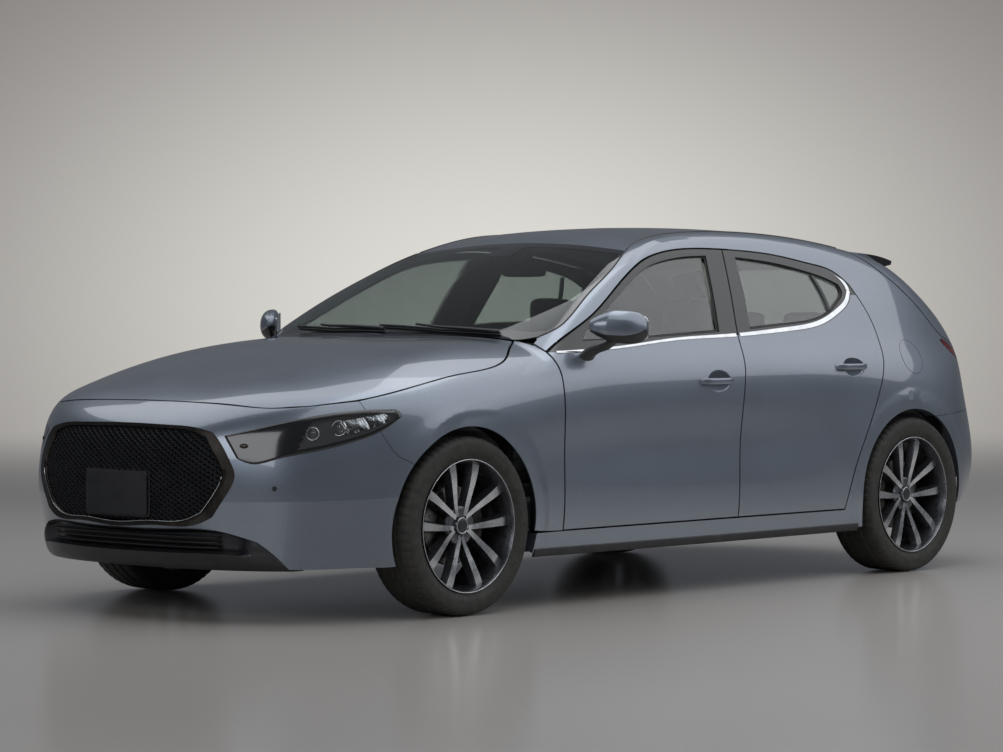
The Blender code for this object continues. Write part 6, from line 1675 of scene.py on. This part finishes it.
def mirror():
    """Mirror shell as a row of sections across the car: each section is a superellipse, deep at the front.

    The section's width and height follow sqrt(1 - s^4) towards both ends; the front half bulges 1.5 times
    as far as the flat back, where the glass sits.
    """
    s = np.linspace(-1, 1, 44)
    size = np.where(s > 0, np.sqrt(np.clip(1 - np.abs(s) ** 4.5, 0, 1)),
                    1 - 0.62 * np.abs(s) ** 1.5) * 0.98 + 0.02
    size[0] = 0.10
    size[1] = 0.26
    turn = np.linspace(0, 2 * math.pi, 44, endpoint=False)
    cosine = np.cos(turn)
    sine = np.sin(turn)
    x = 0.9440 + 0.0720 * s
    y_mid = F + 0.764 + 0.070 * s
    z_mid = 1.036 - 0.006 * s
    deep = np.where(cosine < 0, 0.074, 0.040)
    flat = np.sign(cosine) * np.abs(cosine) ** 0.85
    tall = np.sign(sine) * np.abs(sine) ** 0.9
    high = np.where(sine > 0, 0.066, 0.060)
    rows = np.stack([x[:, None] + 0 * turn, y_mid[:, None] + size[:, None] * deep * flat,
                     z_mid[:, None] + size[:, None] * high * tall], axis=-1)
    shell = sharpened(loft("mirror_shell_left", rows), 60)
    low = np.tile(np.sin(turn + turn[1] / 2) < -0.45, len(s) - 1)
    choose(shell, np.concatenate([low, [False, False]]))
    both_sides(shell, [PAINT, SATIN_BLACK], "front_door_left", ["mirror_left"])
    small = (size * 0.86)[:, None]
    glass_y = (y_mid + size * 0.040 + 0.0006)[:, None]
    ring = np.stack([x[2:-2, None] * 1.0 + 0 * turn, glass_y[2:-2] + 0 * turn,
                     z_mid[2:-2, None] + small[2:-2] * high * tall * 0.92],
                    axis=-1)
    upper = ring[:, 11]
    lower = ring[:, 33]
    pane = np.linspace(0, 1, 12)[None, :, None]
    face = lower[:, None] * (1 - pane) + upper[:, None] * pane
    both_sides(slab("mirror_glass_left", face + (0, 0.0012, 0), face - (0, 0.004, 0)), MIRROR,
               "front_door_left")
    seat = on_side([(F + 0.695, 0.925)])[0]
    out = normals(seat[None])[0]
    path = resample([seat - out * 0.004, seat + out * 0.020 + (0, 0.004, 0.010), (0.905, F + 0.735, 0.968),
                     (0.930, F + 0.765, 1.000)], 20)
    t = np.linspace(0, 1, 20)
    width = 0.040 - 0.016 * ease(t, 0.0, 0.5)
    height = 0.026 - 0.010 * ease(t, 0.0, 0.5)
    ring = np.linspace(0, 2 * math.pi, 24, endpoint=False)
    rows = path[:, None] + np.stack([0 * ring[None] + 0 * t[:, None], width[:, None] * np.cos(ring),
                                     height[:, None] * np.sin(ring)], axis=-1)
    both_sides(sharpened(loft("mirror_foot_left", rows), 60), SATIN_BLACK, "front_door_left")


def wipers():
    """Two wiper arms parked at the foot of the windscreen, each with a blade."""
    for k, (x0, x1) in enumerate(((0.56, -0.04), (0.02, -0.58))):
        x = np.linspace(x0, x1, 40)
        base = np.interp(np.abs(x), [0, 0.30, 0.55, 0.66], [F + 0.416, F + 0.433, F + 0.488, F + 0.520])
        lift = 0.030 + 0.035 * np.linspace(0, 1, 40)
        line = on_top(np.stack([x, base + lift], axis=-1))
        up = normals(line)
        give(tube(f"wiper_blade_{k}", line + up * 0.0065, 0.0050, 8, squash=0.7), RUBBER_SEAL, "car")
        arm = line[: 26] + up[: 26] * np.linspace(0.012, 0.022, 26)[:, None] + np.array([0, -0.010, 0])
        give(tube(f"wiper_arm_{k}", arm, np.linspace(0.0085, 0.0045, 26), 10), SATIN_BLACK, "car")


def rear_trim():
    """Plate recess, lower diffuser, reflectors, rear wiper and third brake lamp."""
    grid = np.stack(np.meshgrid(np.linspace(-0.27, 0.27, 40), np.linspace(0.760, 0.862, 12), indexing="ij"),
                    axis=-1)
    place = on_tail(grid)
    give(slab("rear_plate_base", place + (0, 0.004, 0), place - (0, 0.001, 0)), TRIM_BLACK, "tailgate")
    small = np.stack(np.meshgrid(np.linspace(-0.165, 0.165, 20), np.linspace(0.772, 0.850, 8), indexing="ij"),
                     axis=-1)
    flat = on_tail(small)
    give(slab("rear_blank_plate", flat + (0, 0.008, 0), flat + (0, 0.005, 0)), SATIN_BLACK, "tailgate")
    grid = np.stack(np.meshgrid(np.linspace(-0.50, 0.50, 61), np.linspace(0.392, 0.470, 10), indexing="ij"),
                    axis=-1)
    low = on_tail(grid)
    grow = 0.006 * np.sin(np.linspace(0, math.pi, 61))[:, None, None] ** 0.3 * np.array([0, 1, 0])
    give(slab("rear_diffuser", low + grow, low - (0, 0.004, 0)), TRIM_BLACK, "car")
    for side in (1, -1):
        label = "left" if side > 0 else "right"
        x = np.linspace(0.55, 0.68, 16)
        line = on_tail(np.stack([x, np.full(16, 0.440)], axis=-1)) * (side, 1, 1)
        give(tube(f"rear_reflector_{label}", line, 0.008, 10, squash=0.5), RED_LENS, "car")
    x = np.linspace(-0.16, 0.16, 24)
    line = on_tail(np.stack([x, np.full(24, 1.292)], axis=-1))
    give(tube("high_brake_lamp", line + (0, 0.012, -0.004), 0.0055, 8), RED_LENS, "tailgate")
    spine = on_tail(np.stack([np.linspace(0.02, 0.30, 24), np.linspace(1.022, 1.060, 24)], axis=-1))
    give(tube("rear_wiper", spine + (0, 0.012, 0), np.linspace(0.011, 0.005, 24), 10), SATIN_BLACK,
         "tailgate")


def tailgate_hinge():
    """Two steel pins on the tailgate's axis, each on a flat tongue that comes out from under the roof."""
    pivot = gate_pivot()
    section = np.array([(0, -0.020, -0.006), (0, -0.001, -0.006), (0, -0.001, 0.0010), (0, -0.020, 0.0010)])
    for k, x in enumerate((-GATE_PIN_X, GATE_PIN_X)):
        pin = resample([pivot + (x - 0.05, 0, 0), pivot + (x + 0.05, 0, 0)], 4)
        give(tube(f"tailgate_pin_{k}", pin, GATE_PIN_RADIUS, 20), BRUSHED_STEEL, "car")
        rows = [section + pivot + (x + step, 0, 0) for step in (-0.04, 0.04)]
        give(sharpened(loft(f"tailgate_tongue_{k}", rows), 30), PAINT, "car")


def sensors():
    """Parking sensors: flat discs 18 mm wide, flush in the bumper."""
    for side in (1, -1):
        label = "left" if side > 0 else "right"
        spot_xyz = on_nose(np.array([[0.640, 0.480]]))[0]
        up = normals(spot_xyz[None])[0]
        across = np.cross(up, [0, 0, 1.0])
        rise = np.cross(across, up)
        turn = np.linspace(0, 2 * math.pi, 28, endpoint=False)
        disc = np.cos(turn)[:, None] * across + np.sin(turn)[:, None] * rise
        rows = np.stack([spot_xyz + up * h + disc * r for h, r in ((-0.003, 0.0090), (0.0006, 0.0090),
                                                                   (0.0010, 0.0080),
                        (0.0004, 0.0074), (0.0007, 0.0006))]) * (side, 1, 1)
        give(sharpened(loft(f"parking_sensor_{label}", rows), 40), SATIN_BLACK, "car")


bright_strips()
seals()
roof_mouldings()
screen_pillar_seal()
fuel_flap()
sills()
mirror()
wipers()
rear_trim()
tailgate_hinge()
sensors()


# Cabin


def pillow(name, centre, half, lean=0.0, power=0.34, steps=(56, 40)):
    """Rounded block: a superellipsoid with the given half sizes, leaning back by an angle about X.

    Each axis is the half size times a cosine or sine raised to the power, signs kept, so that 1 is an
    ellipsoid and a small power is nearly a box.
    """
    u = np.linspace(-math.pi, math.pi, steps[0], endpoint=False)
    v = np.linspace(-math.pi / 2 + 0.02, math.pi / 2 - 0.02, steps[1])[:, None]
    bend = lambda value: np.sign(value) * np.abs(value) ** power
    x = half[0] * bend(np.cos(v)) * bend(np.cos(u))
    y = half[1] * bend(np.cos(v)) * bend(np.sin(u))
    z = half[2] * bend(np.sin(v)) + 0 * u
    turned_y = y * math.cos(lean) + z * math.sin(lean)
    turned_z = -y * math.sin(lean) + z * math.cos(lean)
    return loft(name, np.stack([x, turned_y, turned_z], axis=-1) + np.asarray(centre, float))


def padded_piece(name, centre, half, lean, cap, seams=()):
    """Upholstered pad: a rounded block blown up as cloth, its swelling capped, with sewn channels pressed in.

    The cap keeps any point within that distance of the block; a channel is a groove of 5 mm, shaped as a
    bell curve across 12 mm, along a line of constant distance from the pad's middle.
    """
    obj = pillow(name, centre, [h - cap * 0.45 for h in half], lean)
    remesh = obj.modifiers.new("even", "REMESH")
    remesh.mode = "VOXEL"
    remesh.voxel_size = 0.0085
    mesh = bpy.data.meshes.new_from_object(obj.evaluated_get(bpy.context.evaluated_depsgraph_get()))
    obj.modifiers.clear()
    obj.data = mesh
    mesh.name = name
    before = np.empty(len(mesh.vertices) * 3)
    mesh.vertices.foreach_get("co", before)
    before = before.reshape(-1, 3)
    after = before
    scene = bpy.context.scene
    cloth = obj.modifiers.new("cloth", "CLOTH")
    cloth.settings.use_pressure = True
    cloth.settings.uniform_pressure_force = 4
    cloth.settings.quality = 4
    cloth.settings.effector_weights.gravity = 0
    cloth.collision_settings.use_collision = False
    cloth.point_cache.frame_start = 1
    cloth.point_cache.frame_end = 20
    for number in range(1, 21):
        scene.frame_set(number)
    blown = obj.evaluated_get(bpy.context.evaluated_depsgraph_get()).data
    after = np.empty(len(blown.vertices) * 3)
    blown.vertices.foreach_get("co", after)
    after = after.reshape(-1, 3)
    obj.modifiers.clear()
    scene.frame_set(1)
    move = after - before
    far = np.linalg.norm(move, axis=1, keepdims=True)
    places = before + move * np.minimum(1, cap / np.maximum(far, 1e-6))
    offset = np.abs(places[:, 0] - centre[0])
    middle = np.asarray(centre, float)
    inward = middle - places
    inward[:, 0] = 0
    inward /= np.maximum(np.linalg.norm(inward, axis=1, keepdims=True), 1e-6)
    for line in seams:
        places = places + inward * (0.005 * np.exp(-((offset - line) / 0.007) ** 2))[:, None]
    mesh.vertices.foreach_set("co", places.reshape(-1))
    mesh.update()
    smooth = obj.modifiers.new("smooth", "SUBSURF")
    smooth.levels = 1
    smooth.render_levels = 1
    obj.data.shade_smooth()
    return obj


def copy_to(obj, name, shift_by):
    mesh = obj.data.copy()
    mesh.name = name
    mesh.transform(Matrix.Translation(shift_by))
    twin = bpy.data.objects.new(name, mesh)
    bpy.context.scene.collection.objects.link(twin)
    for modifier in obj.modifiers:
        made = twin.modifiers.new(modifier.name, modifier.type)
        made.levels = modifier.levels
        made.render_levels = modifier.render_levels
    return twin


def front_seats():
    """Both front seats from one set of pads: cushion, back, headrest, moulded base, posts and runners."""
    y = F + 1.22
    x = TRACK_SEAT
    pads = [padded_piece("seat_cushion_left", (x, y + 0.245, 0.425), (0.245, 0.240, 0.062), -0.05, 0.026,
                         (0.150,)),
            padded_piece("seat_back_left", (x, y + 0.545, 0.725), (0.240, 0.062, 0.270), 0.17, 0.026,
                         (0.145,)),
            padded_piece("headrest_left", (x, y + 0.635, 1.070), (0.128, 0.045, 0.088), 0.15, 0.022)]
    for pad in pads:
        twin = copy_to(pad, pad.name.replace("left", "right"), (-2 * x, 0, 0))
        for obj, label in ((pad, "left"), (twin, "right")):
            give(obj, LEATHER, "car", [f"front_seat_{label}"])
    for label, middle in (("left", x), ("right", -x)):
        base = pillow(f"seat_base_{label}", (middle, y + 0.27, 0.335), (0.225, 0.220, 0.050), 0.0, 0.2)
        give(base, VINYL, "car")
        for k, off in enumerate((-0.055, 0.055)):
            path = [(middle + off, y + 0.598, 0.950), (middle + off, y + 0.612, 1.020)]
            give(tube(f"headrest_post_{label}_{k}", resample(path, 6), 0.006, 10), CHROME, "car")
        for k, off in enumerate((-0.17, 0.17)):
            rail = pillow(f"seat_runner_{label}_{k}", (middle + off, y + 0.26, 0.258), (0.018, 0.205, 0.032),
                          0.0, 0.15)
            give(rail, BRUSHED_STEEL, "car")


def rear_seat():
    y = R - 0.620
    pads = [padded_piece("bench_cushion", (0, y + 0.255, 0.500), (0.540, 0.245, 0.062), -0.05, 0.026,
                         (0.180, 0.400)),
            padded_piece("bench_back", (0, y + 0.530, 0.755), (0.540, 0.050, 0.250), 0.14, 0.026,
                         (0.180, 0.400))]
    first = padded_piece("rear_headrest_0", (-0.330, y + 0.590, 1.035), (0.115, 0.036, 0.062), 0.14, 0.022)
    pads.append(first)
    for k, x in ((1, 0.0), (2, 0.330)):
        pads.append(copy_to(first, f"rear_headrest_{k}", (x + 0.330, 0, 0)))
    for obj in pads:
        give(obj, LEATHER, "car", ["rear_bench"])


def steering_wheel():
    """Leather rim, three spokes and a plain cushion, square to the column."""
    rake = math.radians(24)
    centre = np.array([-0.370, F + 0.98, 0.83])
    across = np.array([1.0, 0, 0])
    rise = np.array([0, -math.sin(rake), math.cos(rake)])
    ahead = np.array([0, math.cos(rake), math.sin(rake)])
    turn = np.linspace(0, 2 * math.pi, 96, endpoint=False)
    ring = centre + 0.185 * (np.cos(turn)[:, None] * across + np.sin(turn)[:, None] * rise)
    give(tube("steering_rim", ring, 0.0148, 16, closed=True), LEATHER, "steering_wheel", ["steering_wheel"])
    pad = pillow("steering_cushion", (0, 0, 0), (0.075, 0.062, 0.018), 0.0, 0.5)
    turned = Matrix(np.column_stack([across, rise, ahead]).tolist()).to_4x4()
    pad.data.transform(Matrix.Translation(centre - ahead * 0.006) @ turned)
    give(turned_out(pad), VINYL, "steering_wheel")
    for k, angle in enumerate((0.0, math.pi, -math.pi / 2)):
        out = math.cos(angle) * across + math.sin(angle) * rise
        path = resample([centre + out * 0.055 - ahead * 0.004, centre + out * 0.120, centre + out * 0.180],
                        16)
        give(tube(f"steering_spoke_{k}", path, np.linspace(0.021, 0.010, 16), 12, squash=0.8), SATIN_BLACK,
             "steering_wheel")
    path = [centre - ahead * 0.012, centre - ahead * 0.098]
    give(tube("steering_boss", resample(path, 6), 0.027, 20), VINYL, "steering_wheel")


def dash_details():
    """Instrument hood, centre display, vents and the sensor pod behind the windscreen."""
    hood = pillow("instrument_hood", (-0.370, F + 0.800, 0.915), (0.170, 0.070, 0.030), 0.2, 0.5)
    give(hood, VINYL, "car")
    display = pillow("centre_display", (0.0, F + 0.800, 0.925), (0.120, 0.008, 0.036), 0.1, 0.15)
    give(display, GLOSS_BLACK, "car")
    for k, x in enumerate((-0.60, 0.60)):
        vent = pillow(f"side_vent_{k}", (x, F + 0.868, 0.840), (0.055, 0.012, 0.024), 0.0, 0.3)
        give(vent, SATIN_BLACK, "car")
    pod_at = on_top([(0.0, F + 1.190)])[0]
    pod = pillow("sensor_pod", pod_at - (0, -0.020, 0.040), (0.070, 0.060, 0.026), -0.45, 0.5)
    give(pod, SATIN_BLACK, "car")
    inner_mirror = pillow("inner_mirror", pod_at + (0, 0.080, -0.085), (0.115, 0.014, 0.032), 0.1, 0.35)
    give(inner_mirror, SATIN_BLACK, "car")


front_seats()
rear_seat()
steering_wheel()
dash_details()


# Finishes of the model's own solids that stay in sight

CARRIED = {
    "body_shell": CARPET, "cowl": TRIM_BLACK, "dashboard": VINYL, "engine": BARE_CASTING,
    "front_subframe": TRIM_BLACK,
    "rear_axle": TRIM_BLACK, "front_strut_left": TRIM_BLACK, "front_strut_right": TRIM_BLACK,
    "knuckle_left": BARE_CASTING, "knuckle_right": BARE_CASTING, "steering_wheel": LEATHER,
    "front_seat_left": LEATHER, "front_seat_right": LEATHER, "rear_bench": LEATHER,
}
for NODE, FINISH in CARRIED.items():
    if NODE in frame["nodes"]:
        solid = frame["nodes"][NODE].data
        solid.materials.clear()
        solid.materials.append(FINISH)


# Camera, lamps and floor


def area_lamp(name, place, aim, size, watts, hexed="#ffffff"):
    data = bpy.data.lights.new(name, "AREA")
    data.shape = "RECTANGLE"
    data.size = size[0]
    data.size_y = size[1]
    data.energy = watts
    data.color = linear(hexed)[:3]
    lamp = bpy.data.objects.new(name, data)
    lamp.location = place
    lamp.rotation_euler = (Vector(aim) - Vector(place)).to_track_quat("-Z", "Y").to_euler()
    bpy.context.scene.collection.objects.link(lamp)


camera_data = bpy.data.cameras.new("camera")
camera_data.lens = 118.795
camera_data.sensor_width = 36
camera = bpy.data.objects.new("camera", camera_data)
camera.location = (9.03484, -9.98494, 1.12293)
camera.rotation_euler = (math.pi / 2 - 0.021639, 0, 0.744729)
bpy.context.scene.collection.objects.link(camera)
bpy.context.scene.camera = camera

area_lamp("ceiling_softbox", (9.4, 7.5, 5.2), (9.0, 7.1, 0), (13.0, 24.0), 1300, "#fbfcff")
area_lamp("front_wall", (3.0, -12.0, 5.0), (0, -2.0, 0.5), (12.0, 4.0), 420, "#fbfcff")
area_lamp("overhead_fill", (-1.5, -1.0, 6.0), (0, 0, 0), (6.0, 8.0), 200, "#fbfcff")

world = bpy.data.worlds.new("studio")
bpy.context.scene.world = world
world.use_nodes = True
tree = world.node_tree
# Backdrop seen by the camera and through glass: a painted pool of light, pale in the middle behind the car and
# greyer towards the edges
sight = node(tree, "ShaderNodeTexCoord").outputs["Generated"]
off_centre = node(tree, "ShaderNodeVectorMath", {"operation": "SUBTRACT"}, i0=sight, i1=(-0.678, 0.7351, 0.0))
squeezed = node(tree, "ShaderNodeVectorMath", {"operation": "MULTIPLY"}, i0=off_centre.outputs[0],
                i1=(0.85, 0.85, 1.4))
distance = node(tree, "ShaderNodeVectorMath", {"operation": "LENGTH"},
                i0=squeezed.outputs[0]).outputs["Value"]
spread = node(tree, "ShaderNodeMapRange", {"interpolation_type": "SMOOTHSTEP"}, i0=distance, i1=0.0, i2=0.21,
              i3=1.0, i4=0.0).outputs[0]
wall = tint(tree, spread, "#868280", "#dedcd6")
shown = node(tree, "ShaderNodeBackground", Color=wall, Strength=1.0)
ambient = node(tree, "ShaderNodeBackground", Color=linear("#dfe2e6"), Strength=0.18)
mirrored_room = node(tree, "ShaderNodeBackground", Color=linear("#5e6166"), Strength=1.0)
path = node(tree, "ShaderNodeLightPath")
clear = node(tree, "ShaderNodeMath", {"operation": "MAXIMUM"}, i0=path.outputs["Is Camera Ray"],
             i1=path.outputs["Is Transmission Ray"])
around = node(tree, "ShaderNodeMixShader", i0=path.outputs["Is Glossy Ray"], i1=ambient.outputs[0],
              i2=mirrored_room.outputs[0])
mixed = node(tree, "ShaderNodeMixShader", i0=clear.outputs[0], i1=around.outputs[0], i2=shown.outputs[0])
tree.links.new(mixed.outputs[0], tree.nodes["World Output"].inputs["Surface"])


def studio_floor():
    """Poured pale floor: warm grey with a soft sheen; far from the car it fades into the backdrop's tone."""
    made, tree, shader = material("poured_resin_floor", Roughness=0.20)
    tree.links.new(tint(tree, shift(tree, noise(tree, 2500, 1), 0, 1), "#a9a5a0", "#aca8a3"),
                   shader.inputs["Base Color"])
    place = node(tree, "ShaderNodeTexCoord").outputs["Object"]
    reach = node(tree, "ShaderNodeVectorMath", {"operation": "LENGTH"}, i0=place).outputs["Value"]
    fade = node(tree, "ShaderNodeMapRange", {"interpolation_type": "SMOOTHSTEP"}, i0=reach, i1=5.0, i2=17.0,
                i3=0.0, i4=1.0)
    open_floor = node(tree, "ShaderNodeBsdfTransparent")
    mixed = node(tree, "ShaderNodeMixShader", i0=fade.outputs[0], i1=shader.outputs[0],
                 i2=open_floor.outputs[0])
    tree.links.new(mixed.outputs[0], tree.nodes["Material Output"].inputs["Surface"])
    return made


turn = np.linspace(0, 2 * math.pi, 128, endpoint=False)
rings = np.stack([np.stack([r * np.cos(turn), r * np.sin(turn), 0 * turn - 0.0005],
                           axis=-1) for r in (0.0002, 8, 16, 60, 400)])
floor = mesh_object("floor", rings.reshape(-1, 3), grid_faces(5, 128, wrap_v=True), smooth=False)
if floor.data.polygons[0].normal.z < 0:
    floor.data.flip_normals()
floor.data.materials.append(studio_floor())

bpy.context.scene.view_settings.view_transform = "Standard"
